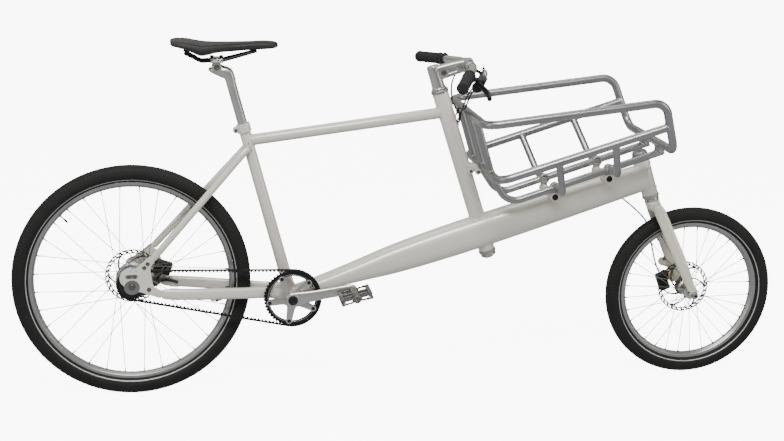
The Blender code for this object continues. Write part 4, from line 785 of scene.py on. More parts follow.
def weld(name, start, run, radius, foot, axis, target, size=0.0017, count=56):
    """A rippled bead where a round tube that runs from start meets a round tube of radius target."""
    run = run.normalized()
    axis = axis.normalized()
    a, b = basis(run)
    path = []
    for k in range(count):
        angle = 2 * math.pi * k / count
        p = start + (a * math.cos(angle) + b * math.sin(angle)) * radius - foot
        q = p - axis * p.dot(axis)
        d = run - axis * run.dot(axis)
        lead, half, rest = d.dot(d), q.dot(d), q.dot(q) - target * target
        root = half * half - lead * rest
        t = (-half - math.sqrt(max(root, 0.0))) / lead
        path.append(foot + p + run * t)
    sizes = [size * (1 + 0.16 * math.cos(math.pi * k)) for k in range(count)]
    return sweep(name, path, sizes, 10, True)


def bolt(name, where, axis, radius, height, socket=0.5, base=None):
    """Cap screw: eased head with a hexagon socket, on a washer when base is given."""
    inner = radius * socket
    profile = [(0, -height * 0.6), (radius, -height * 0.6), (radius, height), (inner * 1.12, height), (inner, height - 0.0003, 6),
               (inner, height * 0.35, 6), (0, height * 0.30)]
    made = lathe(name, profile, where, axis, 48, min(0.0005, radius * 0.16))
    if base:
        washer = lathe(name + "_washer", [(0, -0.0006), (base, -0.0006), (base, 0.0006), (0, 0.0006)], where, axis, 40, 0.0003)
        made = merge(name, made, washer)
    return made


def blob(shapes, soft, cell=0.0010):
    """The outline of rounded wedges (x0, y0, r0, x1, y1, r1) that flow into each other."""
    reach = 0.03
    low = [min(min(s[k], s[k + 3]) for s in shapes) - reach for k in (0, 1)]
    high = [max(max(s[k], s[k + 3]) for s in shapes) + reach for k in (0, 1)]
    across, up = (int((high[k] - low[k]) / cell) + 2 for k in (0, 1))

    def distance(x, y):
        total = 0.0
        for x0, y0, r0, x1, y1, r1 in shapes:
            dx, dy = x1 - x0, y1 - y0
            t = max(0.0, min(1.0, ((x - x0) * dx + (y - y0) * dy) / (dx * dx + dy * dy + 1e-12)))
            d = math.hypot(x - x0 - dx * t, y - y0 - dy * t) - (r0 + (r1 - r0) * t)
            total += math.exp(min(60.0, -d / soft))
        return -soft * math.log(total + 1e-30)

    grid = [[distance(low[0] + i * cell, low[1] + j * cell) for i in range(across)] for j in range(up)]
    follows = {}

    def crossing(i0, j0, i1, j1):
        a, b = grid[j0][i0], grid[j1][i1]
        t = a / (a - b)
        return (low[0] + (i0 + (i1 - i0) * t) * cell, low[1] + (j0 + (j1 - j0) * t) * cell)

    places = {}
    for j in range(up - 1):
        for i in range(across - 1):
            corners = ((i, j), (i + 1, j), (i + 1, j + 1), (i, j + 1))
            inside = [grid[y][x] < 0 for x, y in corners]
            if all(inside) or not any(inside):
                continue
            starts, ends = [], []
            for k in range(4):
                following = (k + 1) % 4
                if inside[k] != inside[following]:
                    key = tuple(sorted((corners[k], corners[following])))
                    places[key] = crossing(*key[0], *key[1])
                    (starts if inside[k] else ends).append(key)
            for a, b in zip(starts, ends):
                follows[a] = b
    outline = []
    key = next(iter(follows))
    while key in follows:
        outline.append(places[key])
        key = follows.pop(key)
    return outline


# Frame
BEAM_STATIONS = ((0.452, 0.0190, 0.0300), (0.500, 0.0195, 0.0310), (0.560, 0.0235, 0.0330),
                 (0.640, 0.0310, 0.0350), (0.740, 0.0410, 0.0370), (0.860, 0.0460, 0.0385),
                 (1.000, 0.0475, 0.0390), (1.180, 0.0455, 0.0380), (1.340, 0.0425, 0.0340),
                 (1.475, 0.0395, 0.0265))
BEAM_RISE = 0.3085
BEAM_SQUARE = 2.35
ALONG = Vector((1, 0, BEAM_RISE)).normalized()
BEAM_UP = Vector((-ALONG.z, 0, ALONG.x))


def beam_centre(x):
    return at(x, 0, BB_Z + 0.001 + BEAM_RISE * (x - BB_X))


def floor_z(x):
    return FLOOR_REAR_Z + FLOOR_SLOPE * (x - FLOOR_REAR_X)


def boss_centre(x):
    return at(x, 0, floor_z(x) - 0.0275)


def inside_beam(p):
    foot = beam_centre(BB_X)
    x = BB_X + (p - foot).dot(ALONG) * ALONG.x
    rows = BEAM_STATIONS
    for low, high in zip(rows, rows[1:]):
        if x <= high[0] or high is rows[-1]:
            t = (x - low[0]) / (high[0] - low[0])
            half = low[1] + (high[1] - low[1]) * t
            wide = low[2] + (high[2] - low[2]) * t
            break
    v = (p - beam_centre(x)).dot(BEAM_UP)
    return (abs(p.y) / wide) ** BEAM_SQUARE + (abs(v) / half) ** BEAM_SQUARE < 1


def beam_weld(name, point_on, radius, middle, reach, size=0.0022, count=64):
    """The bead round a tube where it comes out of the beam."""
    path = []
    for k in range(count):
        angle = 2 * math.pi * k / count
        near, far = middle, middle + reach
        for _ in range(18):
            half = (near + far) / 2
            if inside_beam(point_on(half, radius * math.cos(angle), radius * math.sin(angle))):
                near = half
            else:
                far = half
        path.append(point_on(near, radius * math.cos(angle), radius * math.sin(angle)))
    sizes = [size * (1 + 0.10 * math.cos(math.pi * k)) for k in range(count)]
    return sweep(name, path, sizes, 10, True)


def make_frame():
    body = loft("main_beam_shell", [(beam_centre(x), Y * wide, BEAM_UP * high) for x, high, wide in BEAM_STATIONS],
                72, BEAM_SQUARE, 8)
    put(coat(body, pearl), "frame", "main_beam")
    bosses = []
    for k, station in enumerate(BOSS_STATIONS):
        centre = boss_centre(station)
        for sign in (-1, 1):
            near, far = sorted((sign * 0.010, sign * (FLOOR_HALF + 0.004)))
            bosses.append(coat(cross_rod("boss", centre, near, far, BOSS_R, 40, 0.0015), pearl))
            face = Vector((centre.x, sign * (FLOOR_HALF + 0.004), centre.z))
            bosses.append(coat(bolt("boss_bolt", face, Y * sign, 0.0062, 0.0042, 0.5, 0.0090), dark_steel))
    put(merge("beam_bosses", *bosses), "frame")
    seat = rod("seat_tube_shell", BB, on_seat_tube(SEAT_TUBE_TOP), SEAT_TUBE_R_LOW, SEAT_TUBE_R_TOP, 48)
    put(coat(seat, pearl), "frame", "seat_tube")
    rear, front = at(0.325, 0, 0.7212 + 0.1298 * -0.005), at(0.885, 0, 0.7212 + 0.1298 * 0.555)
    put(coat(rod("top_tube_shell", rear, front, TOP_TUBE_R, None, 48), pearl), "frame", "top_tube")
    lug = loft("lug", [(on_steering(0.254 - 0.014 * share, 0.010 + share * 0.030), Y * (0.026 - 0.003 * share),
                        HEAD_DIR * (0.0135 - 0.002 * share)) for share in (0, 0.5, 1)], 40, 3.4, 3, 0.0022)
    tube = rod("shell", on_steering(0), on_steering(STEERING_TUBE_LEN), HEAD_TUBE_R, None, 64, 0.0008)
    pieces = [coat(tube, pearl), coat(lug, pearl)]
    for forward, y in ((0.016, -0.0235), (0.036, -0.0215)):
        ear = on_steering(0.250 - 0.014 * forward / 0.030, forward, y)
        pieces.append(coat(rod("ear", ear + Y * 0.006, ear - Y * 0.0085, 0.0088, None, 36, 0.0016), pearl))
        pieces.append(coat(bolt("lug_bolt", ear - Y * 0.0085, -Y, 0.0042, 0.0016), bolt_steel))
    put(merge("steering_tube_shell", *pieces), "frame", "steering_tube")
    put(coat(rod("head_tube_shell", on_head(0), on_head(HEAD_TUBE_LEN), HEAD_TUBE_R, None, 64, 0.0008), pearl), "frame",
        "head_tube")
    shell = merge("bottom_bracket", coat(cross_rod("shell", BB, -BB_SHELL_HALF, BB_SHELL_HALF, BB_SHELL_R, 64, 0.0008), pearl),
                  coat(cross_rod("cups", BB, -BB_SHELL_HALF - 0.007, BB_SHELL_HALF + 0.007, BB_SHELL_R - 0.0015, 64, 0.001),
                       silver))
    put(shell, "frame", "bottom_bracket_shell")
    top_run = (front - rear).normalized()
    beads = [weld("a", front - top_run * 0.2, top_run, TOP_TUBE_R, STEERING_FOOT, HEAD_DIR, HEAD_TUBE_R, 0.0020),
             weld("b", rear + top_run * 0.2, top_run * -1, TOP_TUBE_R - 0.0003, BB, SEAT_DIR, SEAT_TUBE_R_TOP + 0.0004, 0.0020),
             weld("c", on_seat_tube(0.2), SEAT_DIR * -1, SEAT_TUBE_R_LOW, BB, Y, BB_SHELL_R, 0.0022),
             beam_weld("d", on_steering, HEAD_TUBE_R, 0.060, 0.10),
             beam_weld("e", on_steering, HEAD_TUBE_R, 0.060, -0.10),
             beam_weld("f", on_head, HEAD_TUBE_R, 0.060, 0.09),
             beam_weld("g", on_head, HEAD_TUBE_R, 0.060, -0.09)]
    for sign in (-1, 1):
        foot = Vector((seatstay_foot(sign)))
        top = at(0.322, sign * 0.0205, 0.700)
        beads.append(weld("s", foot, top - foot, SEATSTAY_R, BB, SEAT_DIR, SEAT_TUBE_R_TOP + 0.0002, 0.0018, 40))
    put(coat(merge("frame_welds", *beads), pearl), "frame")


def seatstay_foot(sign):
    return at(0.060, sign * (DROPOUT_INNER_Y + DROPOUT_THICK / 2), REAR_TYRE_R + 0.080)


def chainstay_z(x):
    return 0.3046 - 0.0555 * (x - 0.117)


def make_stays():
    run = ((0.080, 0.0705, 0.0050, 0.0115), (0.100, 0.0700, 0.0085, 0.0150), (0.170, 0.0640, 0.0100, 0.0160),
           (0.300, 0.0420, 0.0095, 0.0160), (0.360, 0.0315, 0.0090, 0.0160), (0.436, 0.0290, 0.0090, 0.0160))
    for name, sign in (("right", -1), ("left", 1)):
        body = loft("chainstay_" + name + "_shell", [(at(x, sign * y, chainstay_z(x)), Y * wide, Z * high)
                                                    for x, y, wide, high in run], 44, 2.6, 8, 0.001)
        collar = loft("collar", [(at(x, sign * 0.0672, chainstay_z(x)), Y * 0.0101, Z * 0.0166) for x in (0.103, 0.130)],
                      44, 2.6, 1, 0.0006)
        boss = cross_rod("boss", at(0.2208, 0, 0.2860), sign * 0.0480, sign * 0.0610, 0.0085, 36, 0.0012)
        parts = [body, collar] + ([boss] if sign < 0 else [])
        if sign > 0:
            bpy.data.objects.remove(boss, do_unlink=True)
        put(coat(merge("chainstay_" + name + "_tube", *parts), pearl), "frame", "chainstay_" + name)
        foot = seatstay_foot(sign)
        top = at(0.322, sign * 0.0205, 0.700)
        reach = top - foot
        side, upward = basis(reach)
        stations = [(foot, side * 0.0035, upward * 0.0095), (foot + reach * 0.05, side * 0.0060, upward * 0.0098),
                    (foot + reach * 0.12, side * SEATSTAY_R * 0.85, upward * SEATSTAY_R),
                    (foot + reach * 0.5, side * SEATSTAY_R, upward * SEATSTAY_R), (top, side * SEATSTAY_R, upward * SEATSTAY_R)]
        put(coat(loft("seatstay_" + name + "_tube", stations, 40, 2.0, 6, 0.0008), pearl), "frame", "seatstay_" + name)


def make_dropouts():
    middle = DROPOUT_INNER_Y + DROPOUT_THICK / 2
    right = blob(((-0.006, 0.026, 0.0270, 0.004, 0.014, 0.0245), (0.010, 0.028, 0.018, 0.053, 0.076, 0.0100),
                  (0.012, 0.006, 0.015, 0.074, -0.021, 0.0110), (0.040, 0.050, 0.010, 0.050, 0.000, 0.008)), 0.0028)
    right = [(x, z) for x, z in right if z > -0.2]
    slot = hull((-0.011, 0.030, 0.0062), (0.0105, 0.030, 0.0062))
    notch = hull((0.016, 0.0305, 0.0026), (0.0285, 0.0305, 0.0026), steps=5)
    body = plate("dropout_right_plate", [right, slot], DROPOUT_THICK, side_plane(REAR_AXLE, -middle), 0.0009)
    axle_cut = cross_rod("cut", REAR_AXLE + Vector((0.000, 0, -0.001)), -0.09, -0.05, 0.0215, 48)
    pieces = [coat(carve(body, axle_cut), pearl)]
    insert_y = -middle + 0.0016
    pieces.append(coat(plate("slot_block", [hull((-0.0110, 0.030, 0.0058), (0.0105, 0.030, 0.0058))], 0.0050,
                             side_plane(REAR_AXLE, insert_y), 0.0005), hub_grey))
    outer = -DROPOUT_INNER_Y - DROPOUT_THICK
    for x in (-0.0085, 0.0085):
        pieces.append(coat(bolt("slot_bolt", REAR_AXLE + Vector((x, outer + 0.0006, 0.030)), -Y, 0.0042, 0.0012), bolt_steel))
    for x, z, r in ((0.0345, 0.0545, 0.0058), (0.0440, 0.0655, 0.0058), (0.0462, -0.0075, 0.0064)):
        where = REAR_AXLE + Vector((x, outer, z))
        pieces.append(coat(bolt("dropout_bolt", where, -Y, r * 0.82, 0.0020, 0.52, r), bolt_steel))
    # painted shade: flush dark discs on the dropout's outer face stand in for two small drain holes
    for x in (-0.004, 0.012):
        pieces.append(coat(cross_rod("painted_hole_shade", REAR_AXLE + Vector((x, 0, 0.0465)), outer - 0.0002, outer + 0.001, 0.0014, 16, 0.0),
                           dark_steel))
    put(merge("dropout_right_assembly", *pieces), "frame", "dropout_right")
    left = blob(((-0.004, 0.004, 0.0225, 0.002, 0.028, 0.0215), (0.004, 0.028, 0.017, 0.053, 0.076, 0.0100),
                 (0.004, 0.0, 0.017, 0.074, -0.021, 0.0110), (0.066, 0.060, 0.010, 0.086, -0.012, 0.010)), 0.0028)
    body = plate("dropout_left_plate", [left], DROPOUT_THICK, side_plane(REAR_AXLE, middle), 0.0009)
    window = plate("w", [blob(((0.030, 0.020, 0.008, 0.052, 0.034, 0.008),), 0.001)], 0.03, side_plane(REAR_AXLE, middle), 0)
    put(coat(carve(body, window), pearl), "frame", "dropout_left")


def make_rear_axle():
    outer = DROPOUT_INNER_Y + DROPOUT_THICK
    middle = DROPOUT_INNER_Y - GAP - 0.0025
    carrier = plate("axle_carrier", [hull((0, 0, 0.0225), (0.030, 0.0, 0.010), (0.009, 0.031, 0.010), (-0.009, 0.031, 0.010))],
                    0.005, side_plane(REAR_AXLE, -middle), 0.0006)
    pieces = [coat(carrier, hub_grey), coat(cross_rod("axle", REAR_AXLE, -outer - 0.006, outer + 0.009, AXLE_R, 32), bolt_steel)]
    for sign in (-1, 1):
        start = -middle if sign < 0 else outer + GAP
        face = REAR_AXLE + Y * start
        nut = lathe("nut", [(AXLE_R - 0.0002, 0), (0.0098, 0), (0.0098, 0.0016), (0.0086, 0.0018, 6), (0.0086, 0.0080, 6),
                            (AXLE_R - 0.0002, 0.0088)], face + Y * sign * 0.0022, Y * sign, 60)
        pieces.append(coat(nut, bolt_steel))
        washer = lathe("washer", [(AXLE_R, -0.001), (0.0115, -0.001), (0.0115, 0.0022), (AXLE_R, 0.0022)], face, Y * sign, 48)
        pieces.append(coat(washer, silver))
    put(merge("rear_axle_assembly", *pieces), "frame", "rear_axle")


def make_seat_clamp():
    top = SEAT_TUBE_TOP + 0.004
    foot = on_seat_tube(top - 0.024)
    r = SEAT_TUBE_R_TOP
    ring = lathe("ring", [(r + 0.0003, 0), (r + 0.0036, 0), (r + 0.0040, 0.004), (r + 0.0040, 0.017), (r + 0.0032, 0.024),
                          (SEATPOST_R + 0.0004, 0.024), (SEATPOST_R + 0.0004, 0.0205), (r + 0.0003, 0.0205)], foot, SEAT_DIR)
    back = SEAT_DIR.cross(Y).normalized()
    ear_at = foot + SEAT_DIR * 0.012 + back * (r + 0.0070)
    pieces = [coat(ring, pearl)]
    for sign in (-1, 1):
        pieces.append(coat(rod("ear", ear_at + Y * sign * 0.0012, ear_at + Y * sign * 0.0105, 0.0080, None, 32, 0.0012), pearl))
        pieces.append(coat(bolt("clamp_bolt", ear_at + Y * sign * 0.0105, Y * sign, 0.0046, 0.0026), bolt_steel))
    put(merge("seat_clamp_assembly", *pieces), "frame", "seat_clamp")


def make_headsets():
    for name, foot, length in (("rear", STEERING_FOOT, STEERING_TUBE_LEN), ("front", HEAD_FOOT, HEAD_TUBE_LEN)):
        for level, start, sign in (("lower", foot - HEAD_DIR * GAP, -1), ("upper", foot + HEAD_DIR * (length + GAP), 1)):
            r, h = HEADSET_R, HEADSET_HEIGHT
            profile = [(STEERER_R + 0.0005, 0), (r, 0), (r, h * 0.42), (r - 0.0009, h * 0.48), (r - 0.0009, h * 0.56),
                       (r, h * 0.62), (r - 0.0006, h * 0.80), (r - 0.003, h), (STEERER_R + 0.0005, h)]
            ring = coat(lathe("headset", profile, start, HEAD_DIR * sign, 72, 0.0003), cast_alloy)
            ring.name = "headset_%s_%s_cup" % (name, level)
            put(ring, "frame", "headset_%s_%s" % (name, level))


# Wheels
def tyre_point(axle, r, phi, angle):
    return axle + Vector((r * math.cos(angle), 0, r * math.sin(angle)))


def make_tyre(name, axle, outer, width, rim_r, pairs, band, body):
    """A round section with a blocked tread: paired notches along the shoulders, a fine centre rib."""
    half = width / 2
    middle = outer - half
    start = math.acos((rim_r - 0.0006 - middle) / half)
    steps = 44
    around = pairs * 8
    bm = bmesh.new()
    rings = []
    for k in range(around):
        angle = 2 * math.pi * k / around
        beat = k % 8
        ring = []
        for j in range(steps + 1):
            phi = start - 2 * start * j / steps
            lean = abs(math.degrees(phi))
            height = 0.0
            if lean < 66:
                side = 1 if phi > 0 else -1
                wave = (beat + (4 if side > 0 else 0)) % 8
                edge = 66 - (7 if wave in (1, 2) else 0) - (4 if wave in (5, 6) else 0)
                height = -0.0012 if lean > edge else 0.0
                if 40 < lean < edge and wave in (1, 5):
                    height = -0.0011
                if 14 < lean < 30 and wave in (3, 4):
                    height = -0.0009
                if abs(lean - 35) < 2.2 or abs(lean - 10) < 1.6:
                    height = -0.0010
            else:
                height = -0.0012
                if 100 < lean < 103:
                    height = -0.0008
            r = middle + (half + height) * math.cos(phi)
            ring.append(bm.verts.new(axle + Vector((r * math.cos(angle), (half + height) * math.sin(phi),
                                                    r * math.sin(angle)))))
        rings.append(ring)
    for a, b in zip(rings, rings[1:] + rings[:1]):
        for j in range(steps):
            bm.faces.new((a[j], a[j + 1], b[j + 1], b[j]))
        bm.faces.new((a[steps], a[0], b[0], b[steps]))
    rubber = coat(from_bm(name + "_rubber", bm), tread)
    bands = []
    side = RIM_WIDTH / 2
    for sign in (-1, 1):
        bead_ring = [(rim_r - RIM_LIP + 0.0001, sign * (side - 0.0030)), (rim_r - RIM_LIP + 0.0001, sign * (side + 0.0008)),
                     (rim_r + 0.0002, sign * (side + 0.0022)), (rim_r + 0.0030, sign * (side + 0.0030)),
                     (rim_r + 0.0030, sign * (side - 0.0030))]
        bands.append(coat(lathe("bead_ring", bead_ring, axle, Y, 180, 0.0004), tread))
        points = []
        for reach in band:
            phi = math.acos((reach - middle) / (half - 0.0006))
            points.append((middle + (half - 0.0006) * math.cos(phi), sign * (half - 0.0006) * math.sin(phi)))
        (r0, y0), (r1, y1) = points
        profile = [(r0, y0), (r1, y1), (r1 + 0.0006, y1 - sign * 0.0014), (r0 - 0.0006, y0 - sign * 0.0014)]
        bands.append(coat(lathe("band", profile, axle, Y, 180, 0.0002), reflective))
    put(merge(name + "_cover", rubber, *bands), body, name)


def make_rim(name, axle, rim_r, metal, body):
    half, floor = RIM_WIDTH / 2, RIM_FLOOR / 2
    lip = rim_r - RIM_LIP
    profile = [(lip - 0.0030, -half + 0.0022), (lip, -half + 0.0014), (lip, -half + 0.0002), (lip - 0.0010, -half - 0.0003),
               (rim_r - 0.0100, -half - 0.0001), (rim_r - 0.0112, -half + 0.0006), (rim_r - RIM_DEPTH + 0.002, -floor - 0.0010),
               (rim_r - RIM_DEPTH, -floor + 0.0012)]
    profile += [(r, -y) for r, y in reversed(profile)]
    ring = coat(lathe("ring", profile, axle, Y, 180, 0.0005), metal)
    pieces = [ring]
    if name == "rear_rim":
        angle = math.radians(VALVE_ANGLE_DEG)
        out = Vector((math.cos(angle), 0, math.sin(angle)))
        foot = axle + out * (rim_r - RIM_DEPTH - 0.026)
        valve = lathe("valve", [(0, 0), (0.0026, 0), (0.0030, 0.0012), (0.0030, 0.011), (0.0021, 0.012), (0.0021, 0.0235),
                                (0.0038, 0.024), (0.0038, 0.027), (0, 0.027)], foot, out, 24)
        pieces.append(coat(valve, black))
    put(merge(name + "_hoop", *pieces), body, name)


def make_spokes(name, axle, flange_r, flange_y, rim_r, body):
    wires, nipples = [], []
    cross = math.radians(SPOKE_CROSS_DEG)
    for k in range(SPOKES):
        side = -1 if k % 2 else 1
        lean = 1 if (k // 2) % 2 else -1
        at_rim = 2 * math.pi * (k + 0.5) / SPOKES
        at_hub = at_rim - lean * cross
        hub_y = side * (flange_y + lean * SPOKE_STAGGER)
        start = axle + Vector((math.cos(at_hub) * flange_r, hub_y, math.sin(at_hub) * flange_r))
        end_r = rim_r - RIM_DEPTH + 0.0004
        end = axle + Vector((math.cos(at_rim) * end_r, side * 0.002, math.sin(at_rim) * end_r))
        run = (end - start).normalized()
        elbow = start - Y * side * lean * 0.0045
        wires.append(sweep("wire", [elbow, start - Y * side * lean * 0.0010 + run * 0.0002, start + run * 0.0022, end],
                           [SPOKE_R] * 4, 8))
        wires.append(lathe("head", [(0, -0.0004), (SPOKE_R * 1.9, -0.0002), (SPOKE_R * 1.9, 0.0006), (0, 0.0012)], elbow,
                           -Y * side * lean, 12, 0))
        nipples.append(lathe("nipple", [(0, 0), (0.0024, 0.0), (0.0024, 0.0018), (0.0019, 0.0024, 4), (0.0019, 0.0085, 4),
                                        (0.0016, 0.0115), (0, 0.0118)], end + run * 0.0012, run * -1, 16, 0.0002))
    return [coat(merge(name + "_wires", *wires), steel), coat(merge(name + "_nipples", *nipples), dark_steel)]


def make_hubs():
    flange = REAR_FLANGE_Y
    end = BELT_Y - BELT_WIDTH / 2 - 0.001
    profile = [(AXLE_R + 0.0005, end), (0.0175, end), (0.0175, -flange - 0.012), (0.030, -flange - 0.010),
               (0.034, -flange - 0.0045), (REAR_HUB_R - 0.002, -flange - 0.0035), (REAR_HUB_R, -flange - 0.001),
               (REAR_HUB_R, -flange + 0.0022), (REAR_HUB_R - 0.006, -flange + 0.0048), (REAR_HUB_R - 0.0085, -flange + 0.010),
               (REAR_HUB_R - 0.0085, flange - 0.010), (REAR_HUB_R - 0.006, flange - 0.0048), (REAR_HUB_R, flange - 0.0022),
               (REAR_HUB_R, flange + 0.001), (REAR_HUB_R - 0.002, flange + 0.0035), (0.034, flange + 0.0045),
               (0.0189, REAR_ROTOR_Y - 0.009), (0.0189, REAR_ROTOR_Y + 0.004), (AXLE_R + 0.0005, REAR_ROTOR_Y + 0.004)]
    shell = coat(lathe("shell", profile, REAR_AXLE, Y, 96, 0.0012), hub_grey)
    pieces = [shell, *make_spokes("rear", REAR_AXLE, REAR_HUB_R - 0.003, REAR_FLANGE_Y, REAR_RIM_R, "rear_wheel")]
    lock = lathe("lockring", [(0.0120, REAR_ROTOR_Y + 0.0011), (0.0185, REAR_ROTOR_Y + 0.0011), (0.0185, REAR_ROTOR_Y + 0.0030),
                              (0.0120, REAR_ROTOR_Y + 0.0044)], REAR_AXLE, Y, 60)
    put(merge("rear_hub_assembly", *pieces, coat(lock, dark_steel)), "rear_wheel", "rear_hub")
    flange = FRONT_FLANGE_Y
    r = FRONT_HUB_R - 0.007
    profile = [(AXLE_R + 0.0005, -flange - 0.014), (0.010, -flange - 0.014), (0.012, -flange - 0.0035),
               (FRONT_HUB_R - 0.001, -flange - 0.0030), (FRONT_HUB_R, -flange), (FRONT_HUB_R, -flange + 0.0025),
               (r + 0.003, -flange + 0.005), (r, -flange + 0.009), (r - 0.001, 0), (r, flange - 0.009), (r + 0.003, flange - 0.005),
               (FRONT_HUB_R, flange - 0.0025), (FRONT_HUB_R, flange), (0.0189, flange + 0.0045),
               (0.0189, FRONT_ROTOR_Y + 0.003), (AXLE_R + 0.0005, FRONT_ROTOR_Y + 0.003)]
    shell = coat(lathe("shell", profile, FRONT_AXLE, Y, 72, 0.0010), silver)
    pieces = [shell, *make_spokes("front", FRONT_AXLE, FRONT_HUB_R - 0.003, FRONT_FLANGE_Y, FRONT_RIM_R, "front_wheel")]
    put(merge("front_hub_assembly", *pieces), "front_wheel", "front_hub")


def make_rotor(name, axle, y, metal, body):
    """Slotted track with a scalloped edge, thin swirled arms and a riveted carrier."""
    track_in = ROTOR_R - 0.0118
    hub_r = ROTOR_BORE_R + 0.0060
    outer = []
    for k in range(336):
        angle = 2 * math.pi * k / 336
        r = ROTOR_R - 0.0013 * (0.5 + 0.5 * math.cos(angle * ROTOR_SLOTS)) ** 2
        outer.append((r * math.cos(angle), r * math.sin(angle)))
    loops = [outer, circle(ROTOR_BORE_R - 0.0006, 48)]
    arms = 6
    step = 2 * math.pi / arms
    twist = 0.95

    def arm_angle(k, r, side):
        share = (track_in - r) / (track_in - hub_r)
        slope = r * twist / (track_in - hub_r)
        wide = (0.0019 + 0.0012 * abs(2 * share - 1) ** 3) * math.hypot(1, slope)
        return k * step + twist * share + side * wide / r

    for k in range(arms):
        window = []
        radii = [hub_r + (track_in - hub_r) * i / 12 for i in range(13)]
        low, high = arm_angle(k, track_in, 1), arm_angle(k + 1, track_in, -1)
        for i in range(13):
            a = low + (high - low) * i / 12
            window.append((track_in * math.cos(a), track_in * math.sin(a)))
        for r in reversed(radii[1:-1]):
            a = arm_angle(k + 1, r, -1)
            window.append((r * math.cos(a), r * math.sin(a)))
        low, high = arm_angle(k, hub_r, 1), arm_angle(k + 1, hub_r, -1)
        for i in range(6):
            a = high + (low - high) * i / 5
            window.append((hub_r * math.cos(a), hub_r * math.sin(a)))
        for r in radii[1:-1]:
            a = arm_angle(k, r, 1)
            window.append((r * math.cos(a), r * math.sin(a)))
        loops.append(window)
    for k in range(ROTOR_SLOTS):
        angle = 2 * math.pi * (k + 0.5) / ROTOR_SLOTS
        (r0, a0), (r1, a1) = (track_in + 0.0040, angle - 0.060), (ROTOR_R - 0.0046, angle + 0.052)
        loops.append(hull((r0 * math.cos(a0), r0 * math.sin(a0), 0.0021), (r1 * math.cos(a1), r1 * math.sin(a1), 0.0021), steps=6))
    disc = coat(plate("disc", loops, ROTOR_THICK, side_plane(axle, y), 0.00025), metal)
    rivets = []
    for k in range(arms):
        angle = 2 * math.pi * (k - 0.03) / arms
        r = ROTOR_BORE_R + 0.0045
        where = axle + Vector((r * math.cos(angle), y, r * math.sin(angle)))
        rivets.append(coat(lathe("rivet", [(0, -0.0018), (0.0026, -0.0016), (0.0026, 0.0016), (0, 0.0018)], where, Y, 20, 0.0003),
                           bolt_steel))
    put(merge(name + "_disc", disc, *rivets), body, name)


# Belt drive
def belt_layout():
    span = (REAR_AXLE - BB).length
    pitch = BELT_PITCH_NOMINAL
    teeth = 0
    for _ in range(30):
        ring_r = RING_TEETH * pitch / (2 * math.pi)
        sprocket_r = SPROCKET_TEETH * pitch / (2 * math.pi)
        lean = math.asin((ring_r - sprocket_r) / span)
        length = 2 * span * math.cos(lean) + math.pi * (ring_r + sprocket_r) + 2 * lean * (ring_r - sprocket_r)
        teeth = teeth or round(length / pitch)
        pitch = length / teeth
    return pitch, teeth, ring_r, sprocket_r, lean


PITCH, BELT_TEETH, RING_R, SPROCKET_R, BELT_LEAN = belt_layout()
HEADING = math.atan2((REAR_AXLE - BB).z, (REAR_AXLE - BB).x)
BELT_SPAN = (REAR_AXLE - BB).length * math.cos(BELT_LEAN)
TOP_ANGLE = HEADING - math.pi / 2 + BELT_LEAN
BOTTOM_ANGLE = HEADING + math.pi / 2 - BELT_LEAN


def belt_point(distance, offset):
    distance %= PITCH * BELT_TEETH
    wrap = SPROCKET_R * (math.pi - 2 * BELT_LEAN)

    def around(centre, radius, angle):
        return Vector((centre.x + (radius + offset) * math.cos(angle), (radius + offset) * math.sin(angle) + centre.z))

    if distance < BELT_SPAN:
        return around(BB, RING_R, TOP_ANGLE).lerp(around(REAR_AXLE, SPROCKET_R, TOP_ANGLE), distance / BELT_SPAN)
    distance -= BELT_SPAN
    if distance < wrap:
        return around(REAR_AXLE, SPROCKET_R, TOP_ANGLE + distance / SPROCKET_R)
    distance -= wrap
    if distance < BELT_SPAN:
        return around(REAR_AXLE, SPROCKET_R, BOTTOM_ANGLE).lerp(around(BB, RING_R, BOTTOM_ANGLE), distance / BELT_SPAN)
    distance -= BELT_SPAN
    return around(BB, RING_R, BOTTOM_ANGLE + distance / RING_R)


def toothed_outline(teeth, radius, phase, crest_cut=0.0):
    outline = []
    crest = radius - GAP - crest_cut
    root = radius - BELT_TOOTH - GAP
    for k in range(teeth):
        middle = phase + 2 * math.pi * k / teeth
        for shift, r in ((-(TOOTH_BASE / 2 + GAP), crest), (-(TOOTH_BASE * 0.43 + GAP), crest - 0.0007),
                         (-(TOOTH_TIP / 2 + GAP), root + 0.0003), (-(TOOTH_TIP * 0.3), root), (TOOTH_TIP * 0.3, root),
                         (TOOTH_TIP / 2 + GAP, root + 0.0003), (TOOTH_BASE * 0.43 + GAP, crest - 0.0007),
                         (TOOTH_BASE / 2 + GAP, crest)):
            angle = middle + shift / radius
            outline.append((r * math.cos(angle), r * math.sin(angle)))
    return outline


def spider_angle(k):
    return math.radians(CRANK_ANGLE_DEG + 36 + 72 * k)


def make_belt():
    inner = []
    for k in range(BELT_TEETH):
        middle = k * PITCH
        for shift, depth in ((-TOOTH_BASE / 2, 0), (-TOOTH_BASE * 0.44, -0.0006), (-TOOTH_TIP / 2, -BELT_TOOTH + 0.0004),
                             (-TOOTH_TIP * 0.36, -BELT_TOOTH), (TOOTH_TIP * 0.36, -BELT_TOOTH),
                             (TOOTH_TIP / 2, -BELT_TOOTH + 0.0004), (TOOTH_BASE * 0.44, -0.0006), (TOOTH_BASE / 2, 0)):
            p = belt_point(middle + shift, depth)
            inner.append((p.x - BB.x, p.y - BB.z))
    back = []
    length = PITCH * BELT_TEETH
    for k in range(420):
        p = belt_point(length * k / 420, BELT_BACK)
        back.append((p.x - BB.x, p.y - BB.z))
    body = plate("belt_loop", [back, inner], BELT_WIDTH, side_plane(BB, BELT_Y), 0.00035)
    put(coat(body, belt_rubber), "frame", "belt")


